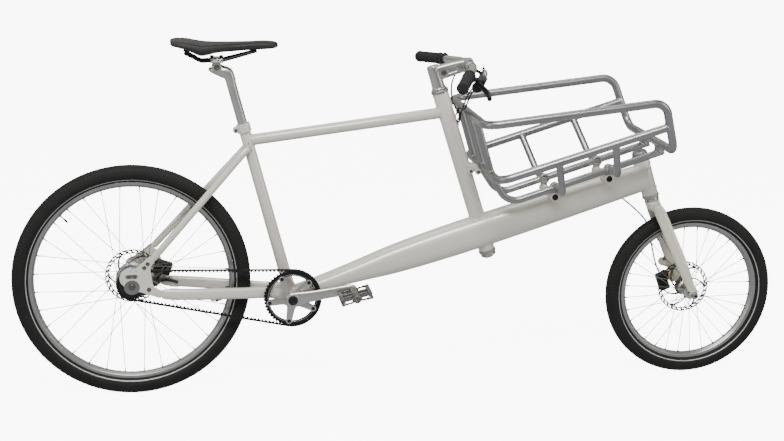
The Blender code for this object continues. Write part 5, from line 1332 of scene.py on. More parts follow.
def make_sprockets():
    wrap = SPROCKET_R * (math.pi - 2 * BELT_LEAN)
    ring_phase = BOTTOM_ANGLE - (2 * BELT_SPAN + wrap) / RING_R
    sprocket_phase = TOP_ANGLE - BELT_SPAN / SPROCKET_R
    thick = BELT_WIDTH - 0.001
    inner_r = RING_R - 0.0155
    ring = plate("ring", [toothed_outline(RING_TEETH, RING_R, ring_phase), circle(RING_R - 0.0092, 120)], thick,
                 side_plane(BB, BELT_Y), 0.00030)
    web = plate("web", [circle(RING_R - 0.0089, 120), circle(inner_r, 120)], 0.0045, side_plane(BB, BELT_Y - 0.0032), 0.0006)
    lip = lathe("lip", [(RING_R - 0.0126, -0.0008), (RING_R - 0.0114, -0.0008), (RING_R - 0.0114, 0.0006),
                        (RING_R - 0.0126, 0.0006)], BB + Y * (BELT_Y - 0.0056), Y, 120, 0.0003)
    pieces = [coat(ring, anodised), coat(web, anodised), coat(lip, silver)]
    for k in range(5):
        angle = spider_angle(k)
        out = Vector((math.cos(angle), 0, math.sin(angle)))
        centre = BB + out * BOLT_CIRCLE_R
        pieces.append(coat(cross_rod("tab", centre, BELT_Y - thick / 2 + 0.0002, BELT_Y - thick / 2 + 0.004, 0.0085, 32), anodised))
    put(merge("belt_ring_assembly", *pieces), "crank", "belt_ring")
    small = plate("sprocket", [toothed_outline(SPROCKET_TEETH, SPROCKET_R, sprocket_phase), circle(0.0178, 60)], thick,
                  side_plane(REAR_AXLE, BELT_Y), 0.00030)
    cover = plate("cover", [circle(SPROCKET_R - 0.0045, 90), circle(0.0178, 60)], 0.0016,
                  side_plane(REAR_AXLE, BELT_Y - thick / 2 - 0.0001), 0.0003)
    put(merge("rear_sprocket_assembly", coat(small, anodised), coat(cover, dark_steel)), "rear_sprocket", "rear_sprocket")


CRANK_TUCK = 0.0105
CRANK_STATIONS = ((-0.118, 0.0060, 0.0040, 0.0, 0.0105), (-0.095, 0.0140, 0.0056, 0.0, 0.0105), (-0.05, 0.0192, 0.0064, 0.0, 0.0105),
                  (0.0, 0.0210, 0.0066, 0.0, 0.0105), (0.12, 0.0190, 0.0070, 0.0006, 0.0096), (0.30, 0.0160, 0.0070, 0.0016, 0.0072),
                  (0.60, 0.0146, 0.0066, 0.0026, 0.0034), (0.88, 0.0148, 0.0064, 0.0028, 0.0004), (0.98, 0.0150, 0.0062, 0.0020, 0.0),
                  (1.04, 0.0120, 0.0056, 0.0010, 0.0), (1.072, 0.0055, 0.0040, 0.0, 0.0))


def make_cranks():
    for name, sign in (("right", -1), ("left", 1)):
        turn = math.radians(CRANK_ANGLE_DEG) + (math.pi if sign > 0 else 0)
        run = Vector((math.cos(turn), 0, math.sin(turn)))
        across = Vector((-run.z, 0, run.x))
        pieces = []
        stations = []
        for share, half, thick, rise, tuck in CRANK_STATIONS:
            y = sign * (CRANK_OUTER_Y - CRANK_THICK / 2 - tuck)
            centre = BB + run * CRANK_LEN * share + across * rise + Y * y
            stations.append((centre, across * half, Y * thick))
        arm = loft("arm", stations, 48, 2.7, 5)
        eye = BB + run * CRANK_LEN
        face = Y * sign * CRANK_OUTER_Y
        pieces.append(coat(arm, silver))
        near = BB_SHELL_HALF + 0.008
        boss_y = CRANK_OUTER_Y - CRANK_TUCK + 0.0015
        boss = lathe("boss", [(0.0125, near), (0.0178, near), (0.0190, near + 0.010), (0.0198, boss_y - 0.010),
                              (0.0192, boss_y), (0.0176, boss_y + 0.0012), (0.0125, boss_y + 0.0012)], BB, Y * sign, 64, 0.0008)
        pieces.append(coat(boss, silver))
        cap = lathe("cap", [(0, -0.0040), (0.0138, -0.0040), (0.0138, 0.0012), (0.0122, 0.0016), (0.0098, 0.0012), (0.0082, 0.0005, 8),
                            (0, 0.0005)], BB + Y * sign * boss_y, Y * sign, 64, 0.0003)
        pieces.append(coat(cap, black))
        if sign < 0:
            inner = BELT_Y - (BELT_WIDTH - 0.001) / 2 - GAP
            arms = []
            for k in range(5):
                angle = spider_angle(k)
                arms.append((0.010 * math.cos(angle), 0.010 * math.sin(angle), 0.0120,
                             BOLT_CIRCLE_R * math.cos(angle), BOLT_CIRCLE_R * math.sin(angle), 0.0084))
            spider = plate("spider", [blob(arms, 0.0052)], 0.0070, side_plane(BB, inner - 0.0035), 0.0016)
            pieces.append(coat(spider, silver))
            for k in range(5):
                angle = spider_angle(k)
                where = BB + Vector((math.cos(angle), 0, math.sin(angle))) * BOLT_CIRCLE_R + Y * (inner - 0.0069)
                pieces.append(coat(lathe("collar", [(0.0052, -0.0005), (0.0078, -0.0005), (0.0074, 0.0007), (0.0052, 0.0007)], where, -Y,
                                         36, 0.0002), silver))
                pieces.append(coat(bolt("ring_bolt", where, -Y, 0.0052, 0.0012, 0.62), black))
        else:
            pieces.append(coat(cross_rod("spindle", BB, -boss_y + 0.005, boss_y - 0.005, SPINDLE_R, 48), silver))
        near, far = sorted((sign * (CRANK_OUTER_Y - 0.0080), sign * (CRANK_OUTER_Y + PEDAL_LEN - 0.016)))
        pieces.append(coat(cross_rod("pedal_axle", eye, near, far, 0.0058, 32), steel))
        collar = lathe("flats", [(0.0058, 0.0002), (0.0092, 0.0002), (0.0092, 0.0012), (0.0078, 0.0014, 6), (0.0078, 0.0032, 6),
                                 (0.0058, 0.0032)], eye + face, Y * sign, 48, 0.0002)
        pieces.append(coat(collar, steel))
        put(merge("crank_%s_assembly" % name, *pieces), "crank", "crank_" + name)
        make_pedal(name, sign, eye)


def make_pedal(name, sign, eye):
    """Cage pedal: end plates with oval windows, toothed front and rear bars and a barrel with its cap."""
    inner = CRANK_OUTER_Y + 0.004
    outer = inner + PEDAL_LEN - 0.010
    middle = sign * (inner + outer) / 2
    tilt = Matrix.Rotation(math.radians(-PEDAL_TILT_DEG), 3, "Y")
    turn = math.radians(PEDAL_TILT_DEG)
    centre = Vector((eye.x, middle, eye.z))
    half = PEDAL_WIDTH / 2
    pieces = []
    outline = []
    for k in range(65):
        t = k / 64
        x = -half + 0.003 + (PEDAL_WIDTH - 0.006) * t
        ripple = 0.0010 * math.cos(2 * math.pi * t * 7)
        outline.append((x, -(PEDAL_THICK / 2 - 0.0022) - ripple - 0.0010 * math.cos(2 * math.pi * t)))
    outline += [(x, -z) for x, z in reversed(outline)]
    for end in (-1, 1):
        y = middle + end * ((outer - inner) / 2 - 0.0042)
        loops = [outline]
        for x in (-1, 1):
            loops.append(hull((x * 0.0175, 0, 0.0040), (x * 0.0175 + 0.0125, 0, 0.0040), steps=8) if x > 0
                         else hull((x * 0.0175 - 0.0125, 0, 0.0040), (x * 0.0175, 0, 0.0040), steps=8))
        pieces.append(coat(plate("end", loops, 0.0062, side_plane(Vector((eye.x, 0, eye.z)), y, turn), 0.0009), pedal_grey))
    for x in (-1, 1):
        for z in (-1, 1):
            bar = block("bar", centre + tilt @ Vector((x * (half - 0.0042), 0, z * 0.0062)), (0.0104, outer - inner - 0.004, 0.0068),
                        tilt, 0.0012)
            pieces.append(coat(bar, pedal_grey))
            for k in range(7):
                y = (k - 3) * 0.0118
                pin = rod("pin", centre + tilt @ Vector((x * (half - 0.0042), y, z * 0.0085)),
                          centre + tilt @ Vector((x * (half - 0.0042), y, z * 0.0099)), 0.0018, 0.0013, 10, 0.0002)
                pieces.append(coat(pin, bolt_steel))
        plate_mid = block("reflector", centre + tilt @ Vector((x * (half - 0.0050), 0, 0)), (0.0040, outer - inner - 0.020, 0.0074), tilt,
                          0.0008)
        pieces.append(coat(plate_mid, reflective))
    for y in (-0.0140, 0.0140):
        for x in (-1, 1):
            rib = block("rib", centre + tilt @ Vector((x * 0.0235, y, 0)), (0.0300, 0.0085, 0.0130), tilt, 0.0014)
            pieces.append(coat(rib, pedal_grey))
    barrel = lathe("barrel", [(0.0064, inner + 0.0005), (0.0104, inner + 0.0005), (0.0122, inner + 0.008), (0.0118, inner + 0.030),
                              (0.0112, (inner + outer) / 2), (0.0118, outer - 0.020), (0.0114, outer - 0.001),
                              (0.0080, outer + 0.0004), (0.0042, outer + 0.0002, 6), (0.0042, outer - 0.0022, 6), (0, outer - 0.0024),
                              (0, outer - 0.012), (0.0064, outer - 0.012)],
                   Vector((eye.x, 0, eye.z)), Y * sign, 56, 0.0005)
    pieces.append(coat(barrel, pedal_grey))
    for x in (-1, 1):
        spot = centre + tilt @ Vector((x * (half - 0.0085), sign * (outer - inner) / 2 - sign * 0.0010, -0.0030))
        pieces.append(coat(lathe("dot", [(0, -0.002), (0.0036, -0.002), (0.0034, 0.0010), (0, 0.0014)], spot, Y * sign, 24, 0.0002),
                           reflective))
    put(merge("pedal_%s_cage" % name, *pieces), "pedal_" + name, "pedal_" + name)


# Fork, steering and brakes
HEAD_TURN = Matrix((HEAD_FWD, Y, HEAD_DIR)).transposed()


def fork_blade(sign):
    foot = FRONT_AXLE + Y * sign * BLADE_Y
    crown = on_head(-HEADSET_HEIGHT - CROWN_DROP, 0.004, sign * BLADE_TOP_Y)
    run = foot - crown
    fore = Vector((run.z, 0, -run.x)).normalized() * -1
    stations = []
    for share, half, thick in ((-0.035, BLADE_HALF * 0.62, BLADE_THICK * 0.75), (0.03, BLADE_HALF * 0.94, BLADE_THICK * 1.05),
                               (0.12, BLADE_HALF, BLADE_THICK),
                               (0.60, BLADE_HALF * 0.98, BLADE_THICK * 0.95), (0.82, BLADE_HALF * 0.84, BLADE_THICK * 0.74),
                               (0.93, BLADE_TIP_HALF, BLADE_THICK * 0.55), (1.0, BLADE_TIP_HALF, BLADE_THICK * 0.45),
                               (1.035, BLADE_TIP_HALF * 0.72, 0.0036), (1.052, BLADE_TIP_HALF * 0.3, 0.0030)):
        y = sign * (BLADE_TOP_Y + (BLADE_Y - BLADE_TOP_Y) * min(1.0, max(-0.15, share * 1.6)))
        centre = crown + run * share
        stations.append((Vector((centre.x, y, centre.z)), Y * thick, fore * half))
    return loft("blade", stations, 36, 2.3, 5)


def make_fork():
    crown_top = -HEADSET_HEIGHT - GAP * 4 - ARM_THICK
    crown = loft("crown", [(on_head(crown_top), Y * 0.0215, HEAD_FWD * 0.0215), (on_head(crown_top - 0.008), Y * 0.028, HEAD_FWD * 0.0205),
                           (on_head(crown_top - 0.015, 0.001), Y * 0.040, HEAD_FWD * 0.0195),
                           (on_head(crown_top - 0.022, 0.002), Y * 0.0455, HEAD_FWD * 0.0180),
                           (on_head(crown_top - 0.028, 0.003), Y * 0.0440, HEAD_FWD * 0.0155)], 40, 2.3, 4)
    shell = coat(melt("fork_shell", [crown, fork_blade(-1), fork_blade(1)], 0.0014, 16, 0.6), cream)
    pieces = [shell]
    tab_at = FRONT_AXLE + Vector((-0.058, 0, 0.052))
    mount = plate("mount", [blob(((0.030, -0.034, 0.0090, 0.020, 0.062, 0.0100), (-0.004, 0.022, 0.0125, 0.026, 0.014, 0.012),
                                  (0.004, -0.016, 0.0100, 0.028, -0.014, 0.010)), 0.004)], 0.006,
                  side_plane(tab_at, BLADE_Y + 0.0015), 0.0009)
    pieces.append(coat(mount, cream))
    top = HEAD_TUBE_LEN + HEADSET_HEIGHT
    steerer = rod("steerer", on_head(-HEADSET_HEIGHT - 0.012), on_head(top + 0.006), STEERER_R, None, 40)
    cap = lathe("cap", [(0, top + 0.0006), (0.0226, top + 0.0006), (0.0228, top + 0.0030), (0.0216, top + 0.0075),
                        (0.0200, top + 0.0112), (0.0080, top + 0.0122), (0.0062, top + 0.0122, 6), (0.0062, top + 0.0080, 6),
                        (0, top + 0.0080)], HEAD_FOOT, HEAD_DIR, 72, 0.0006)
    pieces += [coat(steerer, dark_steel), coat(cap, hub_grey)]
    outer = BLADE_Y + 0.013
    pieces.append(coat(cross_rod("axle", FRONT_AXLE, -outer, outer, AXLE_R, 32), bolt_steel))
    for sign in (-1, 1):
        face = FRONT_AXLE + Y * sign * (BLADE_Y + 0.0026)
        washer = lathe("washer", [(AXLE_R, 0), (0.0112, 0), (0.0112, 0.0020), (AXLE_R, 0.0020)], face, Y * sign, 48)
        nut = lathe("nut", [(AXLE_R - 0.0002, 0), (0.0096, 0), (0.0096, 0.0014), (0.0088, 0.0020), (0.0082, 0.0120), (0.0074, 0.0136), (0.0046, 0.0136), (0.0042, 0.0126, 6),
                            (0.0042, 0.0090, 6), (AXLE_R - 0.0012, 0.0088)], face + Y * sign * 0.0020, Y * sign, 60)
        # painted shade: a black plug fills each nut's bore so that the bottom of its hex socket shows black
        socket = cross_rod("socket", FRONT_AXLE, sign * (BLADE_Y + 0.0060), sign * (BLADE_Y + 0.0135), 0.0043, 24, 0.0)
        pieces += [coat(washer, silver), coat(nut, cast_alloy), coat(socket, black)]
        hole = Vector((FRONT_AXLE.x - 0.0165, sign * (BLADE_Y + 0.0045), FRONT_AXLE.z + 0.0085))
        pieces.append(coat(bolt("tip_bolt", hole, Y * sign, 0.0026, 0.0006), dark_steel))
    band_at = FRONT_AXLE + Vector((-0.046, 0, 0.088))
    clip_at = FRONT_AXLE + Vector((-0.078, BLADE_Y - 0.004, 0.145))
    pieces.append(coat(block("clip", clip_at, (0.010, 0.012, 0.012), None, 0.0016), black))
    pieces.append(coat(block("tag", clip_at + Vector((0.0060, -0.0030, -0.0125)), (0.0085, 0.006, 0.0085), None, 0.0012), orange))
    pieces.append(coat(block("tag", FRONT_AXLE + Vector((-0.0430, BLADE_Y - 0.0050, 0.0260)), (0.0060, 0.008, 0.0130), None, 0.0012),
                       orange))
    pieces.append(coat(block("band", band_at + Y * (BLADE_Y - 0.0035), (0.034, 0.0022, 0.011), Matrix.Rotation(math.radians(-20), 3, "Y"),
                             0.0008), bolt_steel))
    put(merge("fork_assembly", *pieces), "fork", "fork")


def make_steering_arms():
    low = -HEADSET_HEIGHT - GAP * 2 - ARM_THICK
    for name, point_on, body in (("rear", on_steering, "handlebar"), ("front", on_head, "fork")):
        outline = blob(((0, 0, 0.0212, 0.002, 0.004, 0.0212), (0, 0.020, 0.0095, 0, ARM_LEN, 0.0078)), 0.0030)
        bored = plate("arm", [outline, circle(STEERER_R + GAP, 60)], ARM_THICK,
                      Matrix.Translation(point_on(low + ARM_THICK / 2)) @ HEAD_TURN.to_4x4(), 0.0010)
        foot = point_on(low, 0, ARM_LEN)
        stud = lathe("stud", [(0, 0.002), (0.0064, 0.002), (0.0064, ARM_THICK + LINK_RISE - 0.0058), (0.0040, ARM_THICK + LINK_RISE - 0.0055),
                              (0.0040, ARM_THICK + LINK_RISE + 0.0062), (0, ARM_THICK + LINK_RISE + 0.0070)], foot, HEAD_DIR, 36)
        under = bolt("under", foot, HEAD_DIR * -1, 0.0062, 0.0040, 0.5, 0.0072)
        pinch = [coat(bolt("pinch", point_on(low + ARM_THICK / 2, sign * 0.0150, -0.0145), (HEAD_FWD * sign - Y).normalized(), 0.0030,
                           0.0024), bolt_steel) for sign in (-1, 1)]
        put(merge("steering_arm_%s_plate" % name, coat(bored, silver), coat(stud, bolt_steel), coat(under, bolt_steel), *pinch), body,
            "steering_arm_" + name)


def make_drag_link():
    rise = -HEADSET_HEIGHT - GAP * 2 + LINK_RISE
    rear, front = on_steering(rise, 0, ARM_LEN), on_head(rise, 0, ARM_LEN)
    run = (front - rear).normalized()
    span = (front - rear).length
    profile = []
    for at_end in (0, 1):
        half = [(0.0030, 0.0075), (0.0042, 0.0090), (0.0042, 0.0260), (0.0060, 0.0264, 6), (0.0060, 0.0310, 6), (0.0048, 0.0318),
                (0.0055, 0.0440)]
        profile += half if not at_end else [(p[0], span - p[1]) + p[2:] for p in reversed(half)]
    body = coat(lathe("link_rod", [(0, 0.0075)] + profile + [(0, span - 0.0075)], rear, run, 36, 0.0003), steel)
    pieces = [body]
    for k, eye in enumerate((rear, front)):
        bore = 0.0040 + (0.0005 if k == 0 else 0.0010)
        ring = lathe("eye", [(0.0060, -0.0044), (0.0092, -0.0040), (0.0098, -0.0020), (0.0098, 0.0020), (0.0092, 0.0040), (0.0060, 0.0044)],
                     eye, HEAD_DIR, 40)
        ball = lathe("ball", [(bore, -0.0050), (0.0056, -0.0050), (0.0066, -0.0020), (0.0066, 0.0020), (0.0056, 0.0050), (bore, 0.0050)],
                     eye, HEAD_DIR, 40)
        pieces += [coat(ring, steel), coat(ball, silver)]
    put(merge("drag_link_assembly", *pieces), "drag_link", "drag_link")


def make_caliper(name, body, centre, size, lean, axle, rotor_y, lobe, reach):
    """Two halves with a ribbed piston cap, bridge bolts, pad fins and the mounting foot."""
    turn = Matrix.Rotation(math.radians(-lean), 3, "Y")
    length, wide, high = size
    shell = block("shell", centre, size, turn, 0.0048, 4)
    slot = cross_rod("slot", axle, rotor_y - 0.0022, rotor_y + 0.0022, ROTOR_R + 0.0025, 96)
    shell = carve(shell, slot)
    for k in range(4):
        place = centre + turn @ Vector(((k - 1.5) * length * 0.19 if length > high else 0, 0, 0 if length > high
                                        else (k - 1.5) * high * 0.19))
        groove = block("groove", place + turn @ Vector((0, -wide / 2, 0)), (length * 0.06, 0.0040, high * 0.55) if length > high
                       else (length * 0.55, 0.0040, high * 0.06), turn, 0.0004, 1)
        shell = carve(shell, groove)
    pieces = [coat(shell, black)]
    for sign in (-1, 1):
        face = Vector((centre.x, centre.y + sign * wide / 2, centre.z))
        deep = 0.0030 if sign < 0 else 0.0002
        cap = lathe("cap", [(0, deep), (0.0040, deep), (0.0050, deep - 0.0008), (0.0098, deep - 0.0008), (0.0108, deep - 0.0018),
                            (0.0110, -0.006), (0, -0.006)], face, Y * sign, 56, 0.0003)
        pieces.append(coat(cap, anodised))
    for share in (-0.36, 0.36):
        spot = centre + turn @ (Vector((share * length, 0, high * 0.27)) if length > high else Vector((length * 0.27, 0, share * high)))
        pieces.append(coat(bolt("bridge", Vector((spot.x, centre.y - wide / 2, spot.z)), -Y, 0.0030, 0.0012), bolt_steel))
    foot = centre + Vector(lobe)
    outer = centre.y + wide / 2 - 0.001
    ear = cross_rod("ear", foot, rotor_y + 0.003, reach or outer, 0.0122, 40, 0.0012)
    neck = rod("neck", Vector((foot.x, outer - 0.0065, foot.z)), Vector((centre.x, outer - 0.0065, centre.z)), 0.006, None, 24)
    pieces += [coat(ear, black), coat(neck, black)]
    pieces.append(coat(bolt("ear_bolt", Vector((foot.x, rotor_y + 0.003, foot.z)), -Y, 0.0052, 0.0006, 0.5), bolt_steel))
    put(merge(name + "_assembly", *pieces), body, name)


def make_brakes():
    rear = Vector((REAR_AXLE.x + 0.086, REAR_ROTOR_Y + 0.001, REAR_AXLE.z + 0.023))
    make_caliper("rear_caliper", "frame", rear, (0.048, 0.0290, 0.036), -20, REAR_AXLE, REAR_ROTOR_Y, (-0.022, 0, -0.043), None)
    front = Vector((FRONT_AXLE.x - 0.0645, FRONT_ROTOR_Y + 0.0005, FRONT_AXLE.z + 0.018))
    make_caliper("front_caliper", "fork", front, (0.032, 0.0230, 0.054), 20, FRONT_AXLE, FRONT_ROTOR_Y, (0.0065, 0, 0.0190),
                 BLADE_Y - 0.0015 - GAP)


# Handlebar
CLAMP = on_steering(STEM_RISE, STEM_REACH)


def bar_points():
    return CLAMP, CLAMP + Y * BAR_STRAIGHT, CLAMP + Vector((-BAR_BACK, BAR_HALF, -BAR_DROP))


def bar_axis(sign):
    clamp, bend, end = bar_points()
    mirror = Vector((1, sign, 1))
    return end * mirror, ((bend - end) * mirror).normalized()


def lever_frame(sign):
    tip, inward = bar_axis(sign)
    forward = (Vector((1, 0, 0)) - inward * inward.x).normalized()
    fore = (forward * 0.90 + Vector((0, 0, -0.43))).normalized()
    return tip + inward * LEVER_FROM_END, inward, fore


def make_stem():
    collar_foot = STEERING_TUBE_LEN + HEADSET_HEIGHT + GAP * 2
    collar = lathe("collar", [(0, collar_foot), (0.0212, collar_foot), (0.0212, collar_foot + 0.0035), (0.0186, collar_foot + 0.0060),
                              (0.0178, collar_foot + 0.0300), (0.0172, STEM_TOP - 0.0040), (0.0160, STEM_TOP - 0.0004),
                              (0.0138, STEM_TOP), (0.0130, STEM_TOP - 0.0012), (0.0044, STEM_TOP - 0.0012), (0.0044, STEM_TOP - 0.0050, 6),
                              (0, STEM_TOP - 0.0050)], STEERING_FOOT, HEAD_DIR, 72, 0.0009)
    body = loft("body", [(on_steering(STEM_RISE + 0.0035, 0.002), Y * STEM_HALF, HEAD_DIR * 0.0205),
                         (on_steering(STEM_RISE + 0.0030, 0.030), Y * STEM_HALF, HEAD_DIR * 0.0198),
                         (on_steering(STEM_RISE + 0.0025, 0.060), Y * STEM_HALF, HEAD_DIR * 0.0185),
                         (on_steering(STEM_RISE, STEM_REACH), Y * STEM_HALF, HEAD_DIR * 0.0165)], 72, 5.0, 4)
    for side in (-1, 1):
        outline = [block("pocket", on_steering(STEM_RISE + 0.0020, 0.0490, side * (STEM_HALF + 0.001)), (0.0310, 0.010, 0.0190),
                         HEAD_TURN, 0.0030, 4)]
        body = carve(body, *outline)
    clamp_cut = cross_rod("cut", CLAMP, -0.03, 0.03, 0.0127 + GAP, 72, 0)
    body = carve(body, clamp_cut)
    barrel = lathe("barrel", [(0.0130, -0.021), (0.0170, -0.021), (0.0180, -0.0195), (0.0180, -0.0165), (0.0172, -0.0155),
                              (0.0172, 0.0155), (0.0180, 0.0165), (0.0180, 0.0195), (0.0170, 0.021), (0.0130, 0.021)], CLAMP, Y, 72)
    steerer = rod("steerer", on_steering(-HEADSET_HEIGHT - ARM_THICK - 0.006), on_steering(collar_foot + 0.01), STEERER_R, None, 40)
    pieces = [coat(collar, silver), coat(body, silver), coat(barrel, cast_alloy), coat(steerer, dark_steel)]
    for side in (-1, 1):
        where = on_steering(STEM_RISE + 0.0011, 0.0235, side * STEM_HALF)
        pieces.append(coat(bolt("side_bolt", where, Y * side, 0.0062, 0.0016, 0.5, 0.0078), bolt_steel))
        for rise in (-0.0115, 0.0115):
            face = on_steering(STEM_RISE + rise, STEM_REACH + 0.0130, side * 0.0125)
            pieces.append(coat(bolt("face_bolt", face, HEAD_FWD, 0.0040, 0.0036), bolt_steel))
    put(merge("stem_assembly", *pieces), "handlebar", "stem")


def make_handlebar():
    clamp, bend, end = bar_points()
    mirror = Vector((1, -1, 1))
    path = fillet([end * 1.0, bend * 1.0, bend * mirror, end * mirror], 0.10, 14)
    dense = []
    for a, b in zip(path, path[1:]):
        steps = max(1, int((b - a).length / 0.006))
        dense += [a.lerp(b, k / steps) for k in range(steps)]
    dense.append(path[-1])
    radii = []
    for p in dense:
        off = abs(p.y)
        share = min(1.0, max(0.0, (off - 0.030) / 0.022))
        radii.append(0.0127 + (BAR_R - 0.0127) * share * share * (3 - 2 * share))
    put(coat(sweep("handlebar_tube", dense, radii, 40), silver), "handlebar", "handlebar")
    for name, sign in (("right", -1), ("left", 1)):
        make_bar_end(name, sign)


def make_bar_end(name, sign):
    tip, inward = bar_axis(sign)
    outer = [(0, -0.004), (GRIP_R * 0.80, -0.004), (GRIP_R * 0.98, -0.002), (GRIP_R * 1.02, 0.001), (GRIP_R * 1.00, 0.006)]
    for k in range(38):
        h = 0.0095 + k * 0.0029
        swell = 0.955 + 0.035 * (0.5 - 0.5 * math.cos(2 * math.pi * (h - 0.0095) / 0.11))
        outer += [(GRIP_R * swell, h), (GRIP_R * swell, h + 0.0016), (GRIP_R * swell - 0.0006, h + 0.0018), (GRIP_R * swell - 0.0006, h + 0.0027)]
    outer += [(GRIP_R * 0.97, 0.1210), (GRIP_R * 1.07, 0.1240), (GRIP_R * 1.08, GRIP_LEN - 0.0040), (GRIP_R * 1.00, GRIP_LEN - 0.0006),
              (GRIP_R * 0.92, GRIP_LEN), (BAR_R + GAP * 2, GRIP_LEN), (BAR_R + GAP * 2, -GAP), (0, -GAP)]
    put(coat(lathe("grip_%s_rubber" % name, outer, tip, inward, 48, 0.0003), grip_rubber), "handlebar", "grip_" + name)
    where, inward, fore = lever_frame(sign)
    upward = fore.cross(inward).normalized()
    ring = lathe("ring", [(BAR_R + GAP * 2, -0.0068), (BAR_R + 0.0050, -0.0068), (BAR_R + 0.0058, -0.0050), (BAR_R + 0.0058, 0.0050),
                          (BAR_R + 0.0050, 0.0068), (BAR_R + GAP * 2, 0.0068)], where, inward, 56)
    neck = loft("neck", [(where + fore * 0.0135, inward * 0.0068, upward * 0.0075), (where + fore * 0.0220, inward * 0.0075, upward * 0.0070),
                         (where + fore * 0.0310, inward * 0.0105, upward * 0.0085)], 32, 3.0, 4)
    start, finish_at = where + fore * 0.030 - inward * 0.0205, where + fore * 0.034 + inward * 0.0400
    pump_run = (finish_at - start)
    length = pump_run.length
    pump = lathe("pump", [(0, 0), (0.0085, 0), (0.0102, 0.0015), (0.0106, 0.006), (0.0104, length * 0.55), (0.0092, length * 0.60),
                          (0.0090, length * 0.80), (0.0094, length * 0.82), (0.0094, length * 0.90), (0.0062, length * 0.93, 6),
                          (0.0058, length, 6), (0, length)], start, pump_run, 60, 0.0004)
    if sign < 0:
        tank = block("tank", start + pump_run * 0.42 + upward * 0.0035 + fore * 0.0030, (0.046, 0.0250, 0.0230),
                     Matrix((inward, fore, upward)).transposed(), 0.0046, 4)
        pieces_more = [coat(tank, black)]
    else:
        pieces_more = []
    lid = block("lid", start + pump_run * 0.30 + upward * 0.0090, (0.034, 0.0165, 0.0040),
                Matrix((inward, fore, upward)).transposed(), 0.0013, 3)
    pieces = [coat(ring, black), coat(neck, black), coat(pump, anodised), coat(lid, black)] + pieces_more
    for run in (-0.0130, 0.0130):
        spot = start + pump_run * 0.30 + inward * run + upward * 0.0110
        pieces.append(coat(bolt("lid_bolt", spot, upward, 0.0018, 0.0005), bolt_steel))
    clamp_bolt = where - fore * 0.0030 - upward * (BAR_R + 0.0052)
    pieces.append(coat(bolt("clamp_bolt", clamp_bolt, upward * -1, 0.0034, 0.0022), bolt_steel))
    if sign < 0:
        ends = [where + fore * reach - Vector((0, 0, drop)) + inward * run
                for reach, drop, run in ((0.024, 0.016, -0.010), (0.030, 0.020, 0.032))]
        pod_run = ends[1] - ends[0]
        pod = lathe("pod", [(0, 0), (0.0120, 0), (0.0142, 0.0020), (0.0145, 0.0140), (0.0132, 0.0160), (0.0132, 0.0300), (0.0124, 0.0310),
                            (0.0120, pod_run.length - 0.002), (0.0100, pod_run.length), (0, pod_run.length)], ends[0], pod_run, 60, 0.0005)
        pieces.append(coat(pod, black))
        thumb = loft("thumb", [(ends[0] + pod_run * 0.25 - Z * 0.0100, pod_run.normalized() * 0.0060, Vector((0.0020, 0, 0))),
                               (ends[0] + pod_run * 0.15 - Z * 0.0150 - Vector((0.006, 0, 0)), pod_run.normalized() * 0.0065, Vector((0.0022, 0, 0))),
                               (ends[0] - Z * 0.0180 - Vector((0.014, 0, 0)), pod_run.normalized() * 0.0045, Vector((0.0020, 0, 0.001)))],
                     24, 2.6, 4)
        pieces.append(coat(thumb, black))
    put(merge("brake_master_%s_assembly" % name, *pieces), "handlebar", "brake_master_" + name)
    pivot = where + fore * 0.034 - inward * 0.027
    hub = lathe("hub", [(0, -0.0058), (0.0056, -0.0058), (0.0062, -0.0048), (0.0062, 0.0048), (0.0056, 0.0058), (0, 0.0058)], pivot, upward, 40)
    path = [pivot + inward * 0.003, pivot - inward * 0.020 + fore * 0.016, pivot - inward * 0.038 + fore * 0.0260,
            pivot - inward * 0.055 + fore * 0.0330, pivot - inward * 0.072 + fore * 0.0375, pivot - inward * 0.086 + fore * 0.0408,
            pivot - inward * 0.0885 + fore * 0.0411]
    widths = (0.0056, 0.0056, 0.0046, 0.0044, 0.0046, 0.0056, 0.0034)
    heights = (0.0058, 0.0072, 0.0082, 0.0080, 0.0074, 0.0064, 0.0036)
    blade = loft("blade", [(p, fore * wide, upward * high) for p, wide, high in zip(path, widths, heights)], 28, 2.8, 5)
    pin = bolt("pin", pivot + upward * 0.0058, upward, 0.0030, 0.0006)
    put(merge("brake_lever_%s_blade" % name, coat(hub, anodised), coat(blade, anodised), coat(pin, bolt_steel)), "brake_lever_" + name,
        "brake_lever_" + name)


def make_bell():
    where = CLAMP - Y * 0.058
    lean = Vector((0.842, 0, -0.539))
    ring = lathe("ring", [(BAR_R + GAP * 2, -0.005), (BAR_R + 0.0032, -0.005), (BAR_R + 0.0036, -0.004), (BAR_R + 0.0036, 0.004),
                          (BAR_R + 0.0032, 0.005), (BAR_R + GAP * 2, 0.005)], where, Y, 48)
    post = rod("post", where + lean * 0.0125, where + lean * 0.036, 0.0042, None, 24)
    dome = lathe("dome", [(0, 0.0006), (0.0140, 0.0006), (0.0152, 0.0000), (0.0160, 0.0008), (0.0159, 0.0040), (0.0150, 0.0076),
                          (0.0132, 0.0112), (0.0104, 0.0142), (0.0068, 0.0162), (0.0032, 0.0170), (0, 0.0171)],
                 where + lean * 0.034, lean, 72, 0)
    up = lean.cross(Y).normalized()
    up = up if up.z > 0 else up * -1
    knob_at = where + lean * 0.030 + up * 0.0155
    arm = sweep("arm", [where + lean * 0.024, where + lean * 0.027 + up * 0.008, knob_at], 0.0014, 12)
    knob = lathe("knob", [(0, -0.0032), (0.0030, -0.0030), (0.0040, -0.0010), (0.0040, 0.0010), (0.0030, 0.0030), (0, 0.0032)], knob_at, Y, 28)
    put(merge("bell_assembly", coat(ring, silver), coat(post, black), coat(dome, silver), coat(arm, dark_steel), coat(knob, black)),
        "handlebar", "bell")


